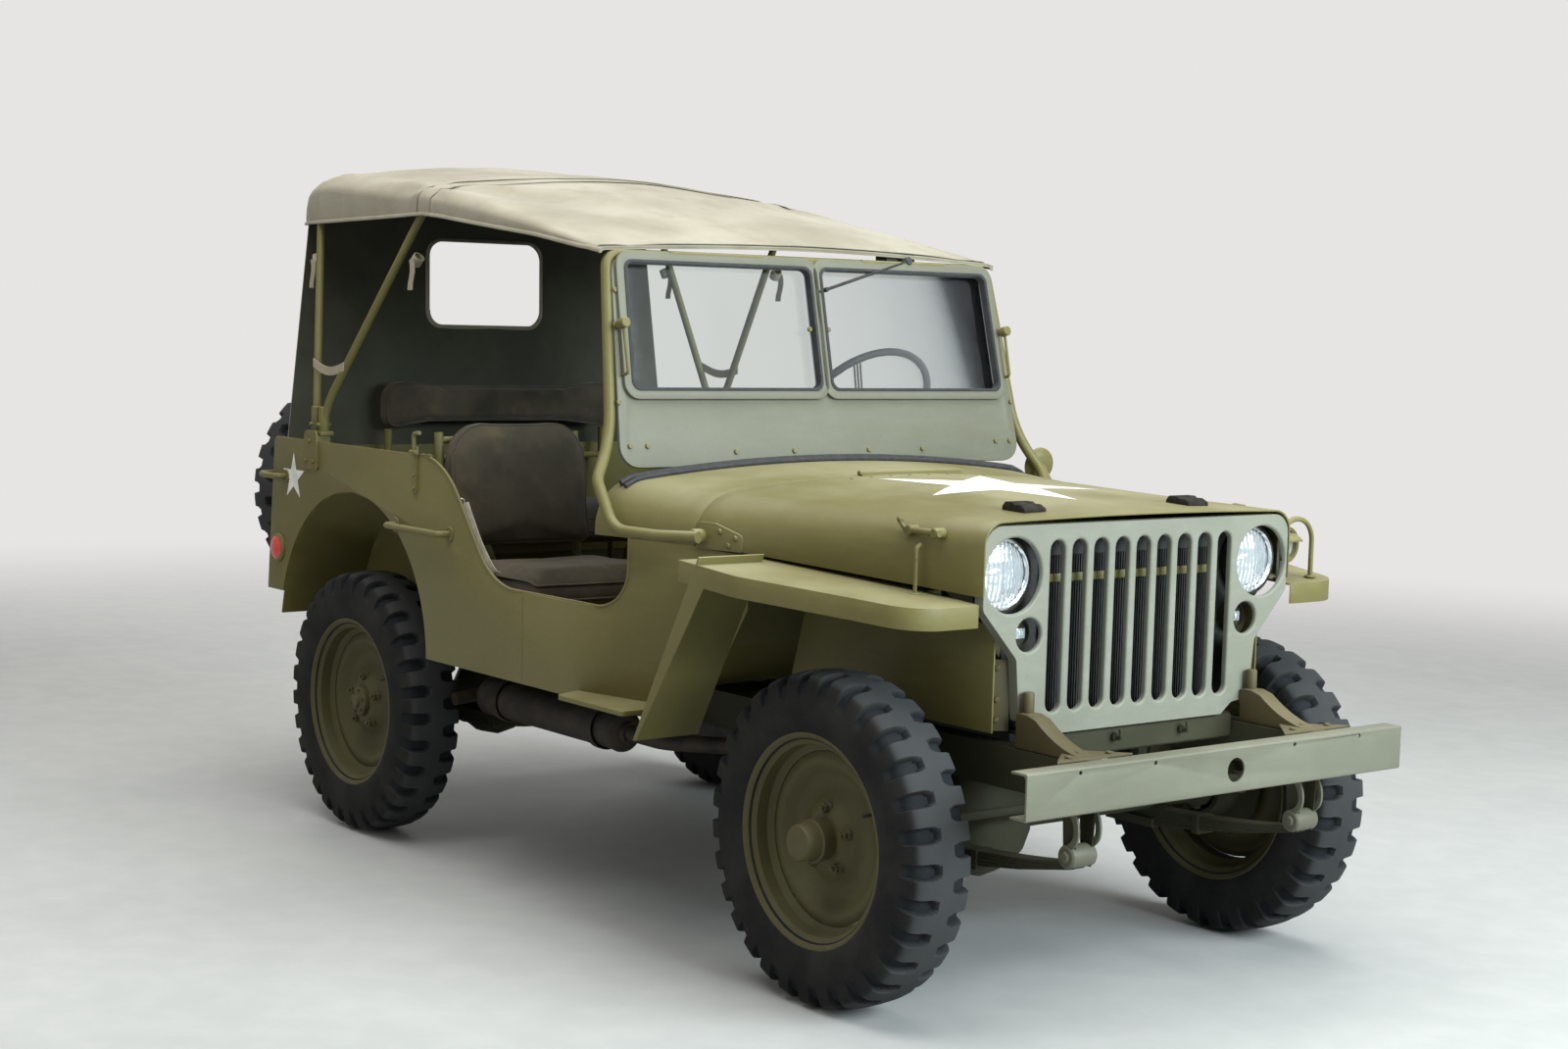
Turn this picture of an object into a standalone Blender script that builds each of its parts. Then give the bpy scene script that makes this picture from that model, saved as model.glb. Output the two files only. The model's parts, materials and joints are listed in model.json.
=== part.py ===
# Light open-bodied army car with four driven wheels, as a set of separate sub-parts.
# Metres. X runs forward, Y to the car's left, Z up; X = 0 lies midway between the axles
# while the pieces are drawn, and one empty then centres the whole car on its outline.
import math

import bmesh
import bpy
from mathutils import Matrix, Vector

for old in list(bpy.data.objects):
    bpy.data.objects.remove(old, do_unlink=True)

# Layout of the whole car
WHEELBASE = 2.032
TRACK = 1.235
TYRE_RADIUS = 0.3575
TYRE_WIDTH = 0.160
BUMPER_FACE = 1.545
SPARE_X = -1.665
SPARE_Y = -0.290
SPARE_Z = 0.895
GAP = 0.0003
SHEET = 0.004

FRONT_AXLE = WHEELBASE / 2
REAR_AXLE = -WHEELBASE / 2
HALF_TRACK = TRACK / 2
CENTRE_SHIFT = -(BUMPER_FACE + SPARE_X - TYRE_WIDTH / 2) / 2

# Tub
BODY_HALF = 0.710
TUB_TOP = 1.065
SILL = 0.536
TAPER_START = 0.150
TAPER_END = 0.700
TAPER_HALF = 0.5826
REAR_X_TOP = -1.452
REAR_X_LOW = -1.485
REAR_SILL = 0.625
ARCH_X = -0.985
ARCH_Z = 0.520
ARCH_RADIUS = 0.418
HOUSE_INNER = 0.450
DOOR_BACK_TOP = -0.497
DOOR_BACK_LOW = -0.2455
DOOR_FRONT = 0.300
DOOR_SILL = 0.762
SIDE_SHOULDER = 0.930
FLOOR = 0.560
HEEL = -0.600
REAR_FLOOR = 0.630
TOE_FOOT = 0.220
FIREWALL = 0.460
TOE_HEAD = 0.720
STEP_TOP = 0.556
STEP_FRONT = 0.450
STEP_REAR = 0.150
LEG_HEAD_X = 0.718
LEG_TIP_X = 0.497
LEG_TIP_Z = 0.499
FENDER_HALF = 0.787
FENDER_REAR = 0.655
APRON_Y = 0.404

# Cowl and hood
COWL_REAR = 0.195
COWL_TOP = 1.096
HOOD_REAR = 0.4985
HOOD_FRONT = 1.288
HOOD_TOP_REAR = 1.082
HOOD_TOP_FRONT = 1.052
HOOD_HALF_FRONT = 0.4725
HOOD_LOW_REAR = 0.934
HOOD_LOW_FRONT = 0.890
HINGE_RADIUS = 0.006
HINGE_HALF = 0.150
HINGE_MID = 0.050
HINGE_LEAF = 0.034
HINGE_GAP = 0.0015

# Grille
GRILLE_FACE = 1.285
GRILLE_DEPTH = 0.026
GRILLE_FOOT = 0.591
GRILLE_TOP = 1.036
GRILLE_HALF = 0.468
SLOTS = 9
SLOT_PITCH = 0.0645
SLOT_WIDTH = 0.037
SLOT_LOW = 0.636
SLOT_HIGH = 1.002
LAMP_Y = 0.384
LAMP_Z = 0.931
LAMP_RADIUS = 0.077
MARKER_Y = 0.335
MARKER_Z = 0.805
MARKER_RADIUS = 0.036

# Frame and bumper
RAIL_OUTER = 0.3715
RAIL_INNER = 0.3180
RAIL_DEPTH = 0.088
RAIL_FRONT_TOP = 0.570
RAIL_MID_TOP = 0.545
RAIL_REAR_TOP = 0.600
RAIL_REAR = -1.478
BUMPER_HALF = 0.576
BUMPER_LOW = 0.482
BUMPER_HIGH = 0.578
BUMPER_DEPTH = 0.055
CROSS_TOP = 0.5907
CROSS_WALL = 0.005

# Springs, axles and steering
SPRING_Y = 0.3448
SPRING_WIDTH = 0.044
SPRING_EYE_Z = 0.375
EYE_RADIUS = 0.020
FRONT_SPRING_HALF = 0.445
REAR_SPRING_X = REAR_AXLE + 0.060
REAR_SPRING_HALF = 0.480
AXLE_RADIUS = 0.036
DIFF_Y = -0.220
KINGPIN_Y = 0.500
BALL_RADIUS = 0.051
PIN_RADIUS = 0.012
PIN_REACH = 0.0541
DRUM_RADIUS = 0.126
DRUM_FACE = 0.034
ARM_LENGTH = 0.130
ARM_Z = 0.400
ROD_RADIUS = 0.013
WHEEL_X = -0.120
WHEEL_Y = 0.360
WHEEL_Z = 1.190
WHEEL_RING = 0.210
COLUMN_ANGLE = math.radians(35)
COLUMN_RADIUS = 0.019

# Wheels and tyres
FLANGE_RADIUS = 0.2205
LUGS = 30
WHEEL_STEPS = 16

# Windscreen, in its own leaning plane
SCREEN_X = 0.205
SCREEN_Z = 1.090
SCREEN_LEAN = 0.2245
SCREEN_HEIGHT = 0.522
SCREEN_HALF_TOP = 0.622
SCREEN_HALF_LOW = 0.655
GLASS_LOW = 0.178
GLASS_HIGH = 0.492
GLASS_OUTER = 0.580
GLASS_INNER = 0.014

# Canvas and bows
BOW_PIVOT_X = -1.220
BOW_RADIUS = 0.011
WINDOW_HALF = 0.195
WINDOW_LOW = 1.390
WINDOW_HIGH = 1.640
CURTAIN_LOW = 1.000

# Seats
SEAT_Y = 0.425
SEAT_WIDTH = 0.470
SEAT_REAR = -0.555
SEAT_FRONT = -0.130
SEAT_PAD = 0.055
SEAT_TOP = 0.800


# Materials
def paint(name, colour, roughness, metallic=0.0):
    made = bpy.data.materials.new(name)
    made.use_nodes = True
    shader = made.node_tree.nodes["Principled BSDF"]
    shader.inputs["Base Color"].default_value = (*colour, 1.0)
    shader.inputs["Roughness"].default_value = roughness
    shader.inputs["Metallic"].default_value = metallic
    return made


OLIVE = paint("olive_drab", (0.115, 0.110, 0.055), 0.72)
OLIVE_DARK = paint("olive_drab_chassis", (0.060, 0.060, 0.035), 0.75)
RUBBER = paint("tyre_rubber", (0.022, 0.022, 0.025), 0.85)
CANVAS = paint("khaki_canvas", (0.40, 0.36, 0.25), 0.95)
SEAT_CLOTH = paint("seat_canvas", (0.060, 0.058, 0.048), 0.95)
GLASS = paint("window_glass", (0.80, 0.85, 0.83), 0.05)
LAMP = paint("lamp_glass_and_reflector", (0.75, 0.78, 0.80), 0.15)
SOOT = paint("exhaust_steel", (0.030, 0.024, 0.020), 0.70, 0.6)
IRON = paint("cast_iron", (0.045, 0.045, 0.040), 0.65, 0.3)


# Basic shapes, each one closed body in the car's own coordinates
def loft(rings):
    form = bmesh.new()
    loops = [[form.verts.new(point) for point in ring] for ring in rings]
    count = len(rings[0])
    for one, two in zip(loops, loops[1:]):
        for i in range(count):
            j = (i + 1) % count
            form.faces.new((one[i], one[j], two[j], two[i]))
    form.faces.new(loops[0])
    form.faces.new(loops[-1])
    bmesh.ops.recalc_face_normals(form, faces=form.faces)
    return form


def prism(outline, axis, start, end):
    order = {"x": (2, 0, 1), "y": (0, 2, 1), "z": (0, 1, 2)}[axis]
    rings = []
    for distance in (start, end):
        ring = []
        for a, b in outline:
            values = (a, b, distance)
            ring.append(tuple(values[k] for k in order))
        rings.append(ring)
    return loft(rings)


def box(x, y, z):
    outline = [(x[0], y[0]), (x[1], y[0]), (x[1], y[1]), (x[0], y[1])]
    return prism(outline, "z", z[0], z[1])


def turned(profile, centre, axis, steps):
    form = bmesh.new()
    rings = []
    for radius, along in profile:
        count = steps if radius > 0 else 1
        ring = []
        for k in range(count):
            angle = 2 * math.pi * k / steps
            ring.append(form.verts.new((radius * math.cos(angle), radius * math.sin(angle), along)))
        rings.append(ring)
    pairs = list(zip(rings, rings[1:]))
    if profile[0][0] > 0:
        pairs.append((rings[-1], rings[0]))
    for one, two in pairs:
        for k in range(steps):
            n = (k + 1) % steps
            corners = (one[k % len(one)], one[n % len(one)], two[n % len(two)], two[k % len(two)])
            form.faces.new(list(dict.fromkeys(corners)))
    turn = Vector((0, 0, 1)).rotation_difference(Vector(axis)).to_matrix().to_4x4()
    bmesh.ops.transform(form, matrix=Matrix.Translation(centre) @ turn, verts=form.verts)
    bmesh.ops.recalc_face_normals(form, faces=form.faces)
    return form


def rod(start, end, radius, steps=10):
    start = Vector(start)
    run = Vector(end) - start
    profile = [(0, 0), (radius, 0), (radius, run.length), (0, run.length)]
    return turned(profile, start, run, steps)


def filleted(corners, steps=3, closed=True):
    # Each corner is a point and the radius that rounds it; 2-D outlines and 3-D paths alike
    flat = len(corners[0][0]) == 2
    points = [Vector((*p, 0)) if flat else Vector(p) for p, _ in corners]
    result = []
    for i, (_, radius) in enumerate(corners):
        point = points[i]
        end = not closed and i in (0, len(points) - 1)
        if end or radius == 0:
            result.append(point)
            continue
        back = (points[i - 1] - point).normalized()
        ahead = (points[(i + 1) % len(points)] - point).normalized()
        half = back.angle(ahead) / 2
        centre = point + (back + ahead).normalized() * radius / math.sin(half)
        first = point + back * radius / math.tan(half) - centre
        last = point + ahead * radius / math.tan(half) - centre
        for k in range(steps + 1):
            result.append(centre + first.normalized().slerp(last.normalized(), k / steps) * radius)
    return [tuple(p[:2]) if flat else tuple(p) for p in result]


def tube(path, radius, steps=8):
    points = [Vector(p) for p in path]
    ways = [(b - a).normalized() for a, b in zip(points, points[1:])]
    side = ways[0].orthogonal().normalized()
    rings = []
    for i, point in enumerate(points):
        way = (ways[max(i - 1, 0)] + ways[min(i, len(ways) - 1)]).normalized()
        side = (side - way * side.dot(way)).normalized()
        other = way.cross(side)
        ring = []
        for k in range(steps):
            angle = 2 * math.pi * k / steps
            ring.append(tuple(point + (side * math.cos(angle) + other * math.sin(angle)) * radius))
        rings.append(ring)
    return loft(rings)


def thick_line(path, thickness):
    # Outline of a bent sheet: the path and its copy, moved to the left of the way it runs
    points = [Vector(p) for p in path]
    ways = [(b - a).normalized() for a, b in zip(points, points[1:])]
    inner = []
    for i, point in enumerate(points):
        one = ways[max(i - 1, 0)]
        two = ways[min(i, len(ways) - 1)]
        normal = Vector((-one.y - two.y, one.x + two.x)).normalized()
        reach = thickness / max(normal.dot(Vector((-one.y, one.x))), 0.5)
        inner.append(tuple(point + normal * reach))
    return [tuple(p) for p in points] + inner[::-1]


def arc(centre, radius, start, end, steps):
    outline = []
    for k in range(steps + 1):
        angle = math.radians(start + (end - start) * k / steps)
        outline.append((centre[0] + radius * math.cos(angle), centre[1] + radius * math.sin(angle)))
    return outline


def slot_outline(centre, width, low, high, steps=4):
    half = width / 2
    top = arc((centre, high - half), half, 0, 180, steps)
    foot = arc((centre, low + half), half, 180, 360, steps)
    return top + foot


def sided(form, side):
    # Shapes are drawn on the car's left; side -1 gives the one on its right
    bmesh.ops.scale(form, vec=(1, side, 1), verts=form.verts)
    bmesh.ops.recalc_face_normals(form, faces=form.faces)
    return form


def fuse(forms, cuts=()):
    parts = []
    for form in [*forms, *cuts]:
        mesh = bpy.data.meshes.new("form")
        form.to_mesh(mesh)
        form.free()
        part = bpy.data.objects.new("form", mesh)
        bpy.context.collection.objects.link(part)
        parts.append(part)
    base = parts[0]
    for i, part in enumerate(parts[1:], 1):
        joint = base.modifiers.new("join", "BOOLEAN")
        joint.solver = "EXACT"
        joint.operation = "UNION" if i < len(forms) else "DIFFERENCE"
        joint.object = part
    result = bmesh.new()
    seen = base.evaluated_get(bpy.context.evaluated_depsgraph_get())
    result.from_mesh(seen.to_mesh())
    seen.to_mesh_clear()
    for part in parts:
        bpy.data.objects.remove(part, do_unlink=True)
    bmesh.ops.remove_doubles(result, verts=result.verts, dist=0.000001)
    return result


def intersect(one, two):
    parts = []
    for form in (one, two):
        mesh = bpy.data.meshes.new("form")
        form.to_mesh(mesh)
        form.free()
        part = bpy.data.objects.new("form", mesh)
        bpy.context.collection.objects.link(part)
        parts.append(part)
    joint = parts[0].modifiers.new("common", "BOOLEAN")
    joint.solver = "EXACT"
    joint.operation = "INTERSECT"
    joint.object = parts[1]
    result = bmesh.new()
    seen = parts[0].evaluated_get(bpy.context.evaluated_depsgraph_get())
    result.from_mesh(seen.to_mesh())
    seen.to_mesh_clear()
    for part in parts:
        bpy.data.objects.remove(part, do_unlink=True)
    return result


# Nodes and the empties that carry them
CAR = bpy.data.objects.new("car", None)
bpy.context.collection.objects.link(CAR)
CAR.location = (CENTRE_SHIFT, 0, 0)
PLACES = {CAR: Vector((0, 0, 0))}


def carrier(name, place, parent=CAR):
    made = bpy.data.objects.new(name, None)
    bpy.context.collection.objects.link(made)
    made.parent = parent
    made.location = Vector(place) - PLACES[parent]
    PLACES[made] = Vector(place)
    return made


def node(name, form, material, parent=CAR):
    bmesh.ops.translate(form, vec=-PLACES[parent], verts=form.verts)
    mesh = bpy.data.meshes.new(name)
    form.to_mesh(mesh)
    form.free()
    mesh.materials.append(material)
    mesh.shade_smooth()
    mesh.set_sharp_from_angle(angle=math.radians(35))
    made = bpy.data.objects.new(name, mesh)
    bpy.context.collection.objects.link(made)
    made.parent = parent
    return made


SIDES = {"right": -1, "left": 1}


# Frame: two box rails that rise over the axles, crossmembers and spring brackets
def rail_top(x):
    stations = [(-2.0, RAIL_REAR_TOP), (-0.80, RAIL_REAR_TOP), (-0.58, RAIL_MID_TOP),
                (0.50, RAIL_MID_TOP), (0.72, RAIL_FRONT_TOP), (2.0, RAIL_FRONT_TOP)]
    for (x0, z0), (x1, z1) in zip(stations, stations[1:]):
        if x0 <= x <= x1:
            return z0 + (z1 - z0) * (x - x0) / (x1 - x0)
    return RAIL_FRONT_TOP


def rail_outline():
    stations = [RAIL_REAR, -0.80, -0.58, 0.50, 0.72, BUMPER_FACE - BUMPER_DEPTH - GAP]
    top = [(x, rail_top(x)) for x in stations]
    foot = [(x, rail_top(x) - RAIL_DEPTH) for x in reversed(stations)]
    return top + foot


def hanger(x, side, floor_z):
    # Two cheeks that hold a spring eye between them
    cheeks = []
    half = SPRING_WIDTH / 2 + GAP
    outline = [(x - 0.024, floor_z + 0.02), (x + 0.024, floor_z + 0.02),
               (x + 0.014, SPRING_EYE_Z - 0.024), (x - 0.014, SPRING_EYE_Z - 0.024)]
    for y0, y1 in ((SPRING_Y - half - 0.004, SPRING_Y - half), (SPRING_Y + half, SPRING_Y + half + 0.004)):
        cheeks.append(sided(prism(outline, "y", y0, y1), side))
    return cheeks


def crossmember(name, x, low, high):
    # Pressed channel, open below, that reaches from rail to rail
    wall = CROSS_WALL
    channel = [(x[0], low), (x[0], high), (x[1], high), (x[1], low), (x[1] - wall, low),
               (x[1] - wall, high - wall), (x[0] + wall, high - wall), (x[0] + wall, low)]
    inside = RAIL_INNER - GAP
    node(name, prism(channel, "y", -inside, inside), OLIVE_DARK)


def frame():
    ends = [FRONT_AXLE + FRONT_SPRING_HALF, FRONT_AXLE - FRONT_SPRING_HALF,
            REAR_SPRING_X + REAR_SPRING_HALF, REAR_SPRING_X - REAR_SPRING_HALF]
    for name, side in SIDES.items():
        forms = [sided(prism(rail_outline(), "y", RAIL_INNER, RAIL_OUTER), side)]
        for x in ends:
            forms += hanger(x, side, rail_top(x) - RAIL_DEPTH)
        node("frame_rail_" + name, fuse(forms), OLIVE_DARK)
    crossmember("front_crossmember", (1.175, 1.272), CROSS_TOP - 0.085, CROSS_TOP)
    crossmember("transmission_crossmember", (0.080, 0.200), RAIL_MID_TOP - 0.075, RAIL_MID_TOP - 0.020)
    crossmember("middle_crossmember", (-0.545, -0.465), RAIL_MID_TOP - 0.080, RAIL_MID_TOP - 0.010)
    rear = (RAIL_REAR - 0.002, RAIL_REAR + 0.050)
    crossmember("rear_crossmember", rear, RAIL_REAR_TOP - 0.080, RAIL_REAR_TOP - 0.004)


# Front bumper: a channel with its open side to the rear and two curved gussets
def front_bumper():
    back = BUMPER_FACE - BUMPER_DEPTH
    channel = [(BUMPER_FACE, BUMPER_LOW), (BUMPER_FACE, BUMPER_HIGH), (back, BUMPER_HIGH),
               (back, BUMPER_HIGH - 0.005), (BUMPER_FACE - 0.005, BUMPER_HIGH - 0.005),
               (BUMPER_FACE - 0.005, BUMPER_LOW + 0.005), (back, BUMPER_LOW + 0.005), (back, BUMPER_LOW)]
    forms = [prism(channel, "y", -BUMPER_HALF, BUMPER_HALF)]
    heel = 1.315
    curve = [(heel, 0.642), (heel + 0.014, 0.642)]
    curve += [(1.345 + 0.14 * t, 0.634 - 0.047 * t * (2 - t)) for t in (0.0, 0.25, 0.5, 0.75, 1.0)]
    gusset = [(heel, RAIL_FRONT_TOP + GAP)] + curve
    gusset += [(BUMPER_FACE - 0.012, BUMPER_HIGH + 0.004), (BUMPER_FACE - 0.012, BUMPER_HIGH - 0.002),
               (back, RAIL_FRONT_TOP + GAP)]
    for side in SIDES.values():
        forms.append(sided(prism(gusset, "y", RAIL_INNER + 0.006, RAIL_OUTER - 0.006), side))
        web = (BUMPER_LOW + 0.002, BUMPER_HIGH - 0.002)
        forms.append(sided(box((back - 0.0002, BUMPER_FACE - 0.002), (RAIL_INNER, RAIL_OUTER), web), side))
    node("front_bumper", fuse(forms), OLIVE)


# Engine, gearbox and transfer case: plain blocks at their real place
def engine():
    forms = [
        box((0.520, 1.080), (-0.170, 0.150), (0.560, 0.900)),
        box((0.600, 1.000), (-0.110, 0.110), (0.430, 0.570)),
        box((0.245, 0.530), (-0.110, 0.110), (0.420, 0.640)),
        box((-0.060, 0.255), (-0.245, 0.100), (0.385, 0.4695)),
        rod((0.250, DIFF_Y, 0.428), (0.290, DIFF_Y, 0.428), 0.034),
        rod((-0.100, DIFF_Y, 0.428), (-0.050, DIFF_Y, 0.428), 0.034),
    ]
    node("engine_and_gearbox", fuse(forms), IRON)


def radiator():
    core = box((1.190, 1.240), (-0.262, 0.262), (CROSS_TOP + GAP, 1.012))
    node("radiator", core, IRON)


# Leaf springs: a stack that bows down to the axle, with rolled eyes at both ends
def leaf_spring(centre_x, half, side, seat_z):
    def height(x):
        share = (x - centre_x) / half
        return seat_z + (SPRING_EYE_Z - EYE_RADIUS - seat_z) * share * share

    steps = 6
    xs = [centre_x - half + 2 * half * k / steps for k in range(steps + 1)]
    top = [(x, height(x) + 0.006) for x in xs]
    foot = [(x, height(x) - 0.008 - 0.030 * (1 - abs(x - centre_x) / half)) for x in reversed(xs)]
    y0 = SPRING_Y - SPRING_WIDTH / 2
    y1 = SPRING_Y + SPRING_WIDTH / 2
    forms = [prism(top + foot, "y", y0 + 0.001, y1 - 0.001)]
    for end in (-1, 1):
        x = centre_x + end * half
        forms.append(rod((x, y0, SPRING_EYE_Z), (x, y1, SPRING_EYE_Z), EYE_RADIUS, 10))
    return [sided(form, side) for form in forms]


def axle(x, half, nose, flange):
    # nose is +1 when the drive flange looks forward and the round cover looks back
    centre_z = TYRE_RADIUS
    profile = [(AXLE_RADIUS, half - 0.008), (AXLE_RADIUS, 0.008 - half)]
    if flange:
        profile = [(DRUM_RADIUS, half), (DRUM_RADIUS, half - 0.008)] + profile
        profile += [(DRUM_RADIUS, 0.008 - half), (DRUM_RADIUS, -half)]
    profile = [(0, half)] + profile + [(0, -half)]
    forms = [turned(profile, (x, 0, centre_z), (0, 1, 0), 14)]
    cover = [(0, -0.105), (0.060, -0.100), (0.105, -0.070), (0.128, -0.020), (0.128, 0.010),
             (0.095, 0.060), (0.055, 0.100), (0.036, 0.130), (0, 0.130)]
    forms.append(turned(cover, (x, DIFF_Y, centre_z), (nose, 0, 0), 14))
    return forms


def front_axle():
    # The differential's nose points back, its round cover forward
    forms = axle(FRONT_AXLE, KINGPIN_Y, -1, False)
    ball = [(BALL_RADIUS * math.sin(math.radians(a)), BALL_RADIUS * math.cos(math.radians(a)))
            for a in range(0, 181, 36)]
    ball[0] = (0, BALL_RADIUS)
    ball[-1] = (0, -BALL_RADIUS)
    for side in SIDES.values():
        ball_centre = Vector((FRONT_AXLE, side * KINGPIN_Y, TYRE_RADIUS))
        pin = Vector((0, 0, PIN_REACH))
        forms.append(turned(ball, ball_centre, (0, side, 0), 12))
        forms.append(rod(ball_centre - pin, ball_centre + pin, PIN_RADIUS, 10))
        forms += leaf_spring(FRONT_AXLE, FRONT_SPRING_HALF, side, TYRE_RADIUS - AXLE_RADIUS)
        forms += shock(FRONT_AXLE - 0.10, side, RAIL_FRONT_TOP)
    node("front_axle", fuse(forms), OLIVE_DARK)


def rear_axle():
    reach = HALF_TRACK - DRUM_FACE - GAP
    forms = axle(REAR_AXLE, reach, 1, True)
    for side in SIDES.values():
        forms += leaf_spring(REAR_SPRING_X, REAR_SPRING_HALF, side, TYRE_RADIUS - AXLE_RADIUS)
        forms += shock(REAR_AXLE - 0.12, side, RAIL_REAR_TOP)
    node("rear_axle", fuse(forms), OLIVE_DARK)


def shock(x, side, top):
    # Upright damper beside the rail, on a foot that reaches it from the spring seat
    y = RAIL_OUTER + 0.026
    body = [rod((x, y, 0.300), (x, y, top - 0.05), 0.019, 8),
            rod((x, y, top - 0.06), (x, y, top + 0.015), 0.024, 8),
            box((x - 0.02, x + 0.13), (SPRING_Y - 0.03, y + 0.01), (0.281, 0.302)),
            rod((x, RAIL_OUTER + GAP, top - 0.04), (x, y, top - 0.04), 0.010, 8)]
    return [sided(form, side) for form in body]


def propshaft(name, start, end):
    run = Vector(end) - Vector(start)
    length = run.length
    half = [(0, 0), (0.012, 0), (0.012, 0.006), (0.034, 0.006), (0.034, 0.055), (0.024, 0.070)]
    profile = half + [(radius, length - along) for radius, along in reversed(half)]
    node(name, turned(profile, start, run, 10), OLIVE_DARK)


def propshafts():
    case = 0.428
    propshaft("front_propshaft", (0.2918, DIFF_Y, case), (FRONT_AXLE - 0.1318, DIFF_Y, TYRE_RADIUS))
    propshaft("rear_propshaft", (-0.1018, DIFF_Y, case), (REAR_AXLE + 0.1318, DIFF_Y, TYRE_RADIUS))


# Exhaust: pipe from the engine, drum-shaped silencer under the right sill, short tail pipe
def exhaust():
    y = -0.490
    z = 0.420
    can = [(0, 0), (0.040, 0), (0.050, 0.012), (0.050, 0.628), (0.040, 0.640), (0, 0.640)]
    path = filleted([((0.02, y, z), 0), ((0.20, y, z), 0.05), ((0.44, -0.270, 0.42), 0.05),
                     ((0.62, -0.230, 0.50), 0)], 3, False)
    tail_end = (-0.640, y - 0.090, z - 0.01)
    tail = filleted([((-0.56, y, z), 0), ((-0.640, y, z), 0.02), (tail_end, 0)], 3, False)
    forms = [turned(can, (-0.600, y, z), (1, 0, 0), 14), tube(path, 0.020), tube(tail, 0.017)]
    for x in (-0.50, -0.05):
        top = rail_top(x)
        strap = [(y - 0.056, z - 0.01), (y - 0.056, z + 0.052), (-RAIL_OUTER - GAP, top - 0.020),
                 (-RAIL_OUTER - GAP, top - 0.060), (y + 0.045, z - 0.01)]
        forms.append(prism(strap, "x", x - 0.012, x + 0.012))
    node("exhaust", fuse(forms), SOOT)


# Tub
def side_half(x):
    if x <= TAPER_START:
        return BODY_HALF
    return BODY_HALF + (TAPER_HALF - BODY_HALF) * (x - TAPER_START) / (TAPER_END - TAPER_START)


def side_strip(start, end, thickness):
    path = [(start, side_half(start)), (TAPER_START, side_half(TAPER_START)), (end, side_half(end))]
    return thick_line(path[::-1], thickness)


def side_panel(name, side):
    front_angle = math.degrees(math.asin((SILL - ARCH_Z) / ARCH_RADIUS))
    rear_angle = 180 - math.degrees(math.asin((REAR_SILL - ARCH_Z) / ARCH_RADIUS))
    corners = [((REAR_X_LOW, REAR_SILL), 0), ((REAR_X_TOP, TUB_TOP), 0.02), ((DOOR_BACK_TOP, TUB_TOP), 0.26),
               ((DOOR_BACK_LOW, DOOR_SILL), 0.22), ((DOOR_FRONT, DOOR_SILL), 0.095),
               ((DOOR_FRONT, SIDE_SHOULDER), 0), ((HOOD_REAR - 0.002, SIDE_SHOULDER), 0),
               ((HOOD_REAR, SIDE_SHOULDER - 0.003), 0), ((FENDER_REAR - 0.002, 0.918), 0),
               ((FENDER_REAR - 0.002, 0.797), 0), ((leg_x(SILL) - 0.0006, SILL), 0)]
    outline = filleted(corners, 5) + arc((ARCH_X, ARCH_Z), ARCH_RADIUS, front_angle, rear_angle, 14)
    slab = prism(outline, "y", 0.5, 0.8)
    strip = prism(side_strip(REAR_X_LOW - 0.05, TAPER_END + 0.02, SHEET), "z", 0.4, 1.2)
    wall = intersect(slab, strip)
    forms = [wall]
    step = [(STEP_REAR, BODY_HALF - 0.003), (STEP_FRONT, side_half(STEP_FRONT) - 0.003),
            (STEP_FRONT, FENDER_HALF), (STEP_REAR + 0.03, FENDER_HALF)]
    forms.append(prism(step, "z", STEP_TOP - 0.012, STEP_TOP))
    out = BODY_HALF + 0.034
    ends = (-0.735, -0.455)
    path = filleted([((ends[0], BODY_HALF - 0.002, 0.872), 0), ((ends[0], out, 0.872), 0.012),
                     ((ends[1], out, 0.872), 0.012), ((ends[1], BODY_HALF - 0.002, 0.872), 0)], 2, False)
    forms.append(tube(path, 0.008, 6))
    socket_x = (BOW_PIVOT_X - 0.040, BOW_PIVOT_X + 0.040)
    forms.append(box(socket_x, (BODY_HALF - 0.040, BODY_HALF + 0.010), (1.000, 1.080)))
    form = fuse([sided(each, side) for each in forms])
    node(name, form, OLIVE)


def floor_pan():
    # One bent sheet: toe board, front floor, heel riser and raised rear floor
    path = [(FIREWALL - 0.006, TOE_HEAD), (TOE_FOOT, FLOOR), (HEEL, FLOOR), (HEEL, REAR_FLOOR),
            (REAR_X_LOW + 0.008, REAR_FLOOR)]
    half = BODY_HALF - SHEET - GAP
    sheet = prism(thick_line(path, SHEET)[::-1], "y", -half, half)
    cuts = [box((0.236, 0.540), (-0.1103, 0.1103), (0.40, 0.6403))]
    for side in SIDES.values():
        house = arc((ARCH_X, ARCH_Z), ARCH_RADIUS + SHEET + 0.003, 0, 180, 12)
        house = [(house[0][0], 0.4)] + house + [(house[-1][0], 0.4)]
        cuts.append(sided(prism(house, "y", HOUSE_INNER - GAP, 0.8), side))
        wedge = [(TAPER_START, half), (TAPER_END, side_half(TAPER_END) - SHEET - GAP), (TAPER_END, 0.8),
                 (TAPER_START, 0.8)]
        cuts.append(sided(prism(wedge, "z", 0.3, 1.0), side))
    tunnel = [box((0.232, 0.456), (-0.118, -0.1106), (0.555, 0.655)),
              box((0.232, 0.456), (0.1106, 0.118), (0.555, 0.655)),
              box((0.228, 0.456), (-0.118, 0.118), (0.6409, 0.655))]
    node("floor_pan", fuse([sheet] + tunnel, cuts), OLIVE)


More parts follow.
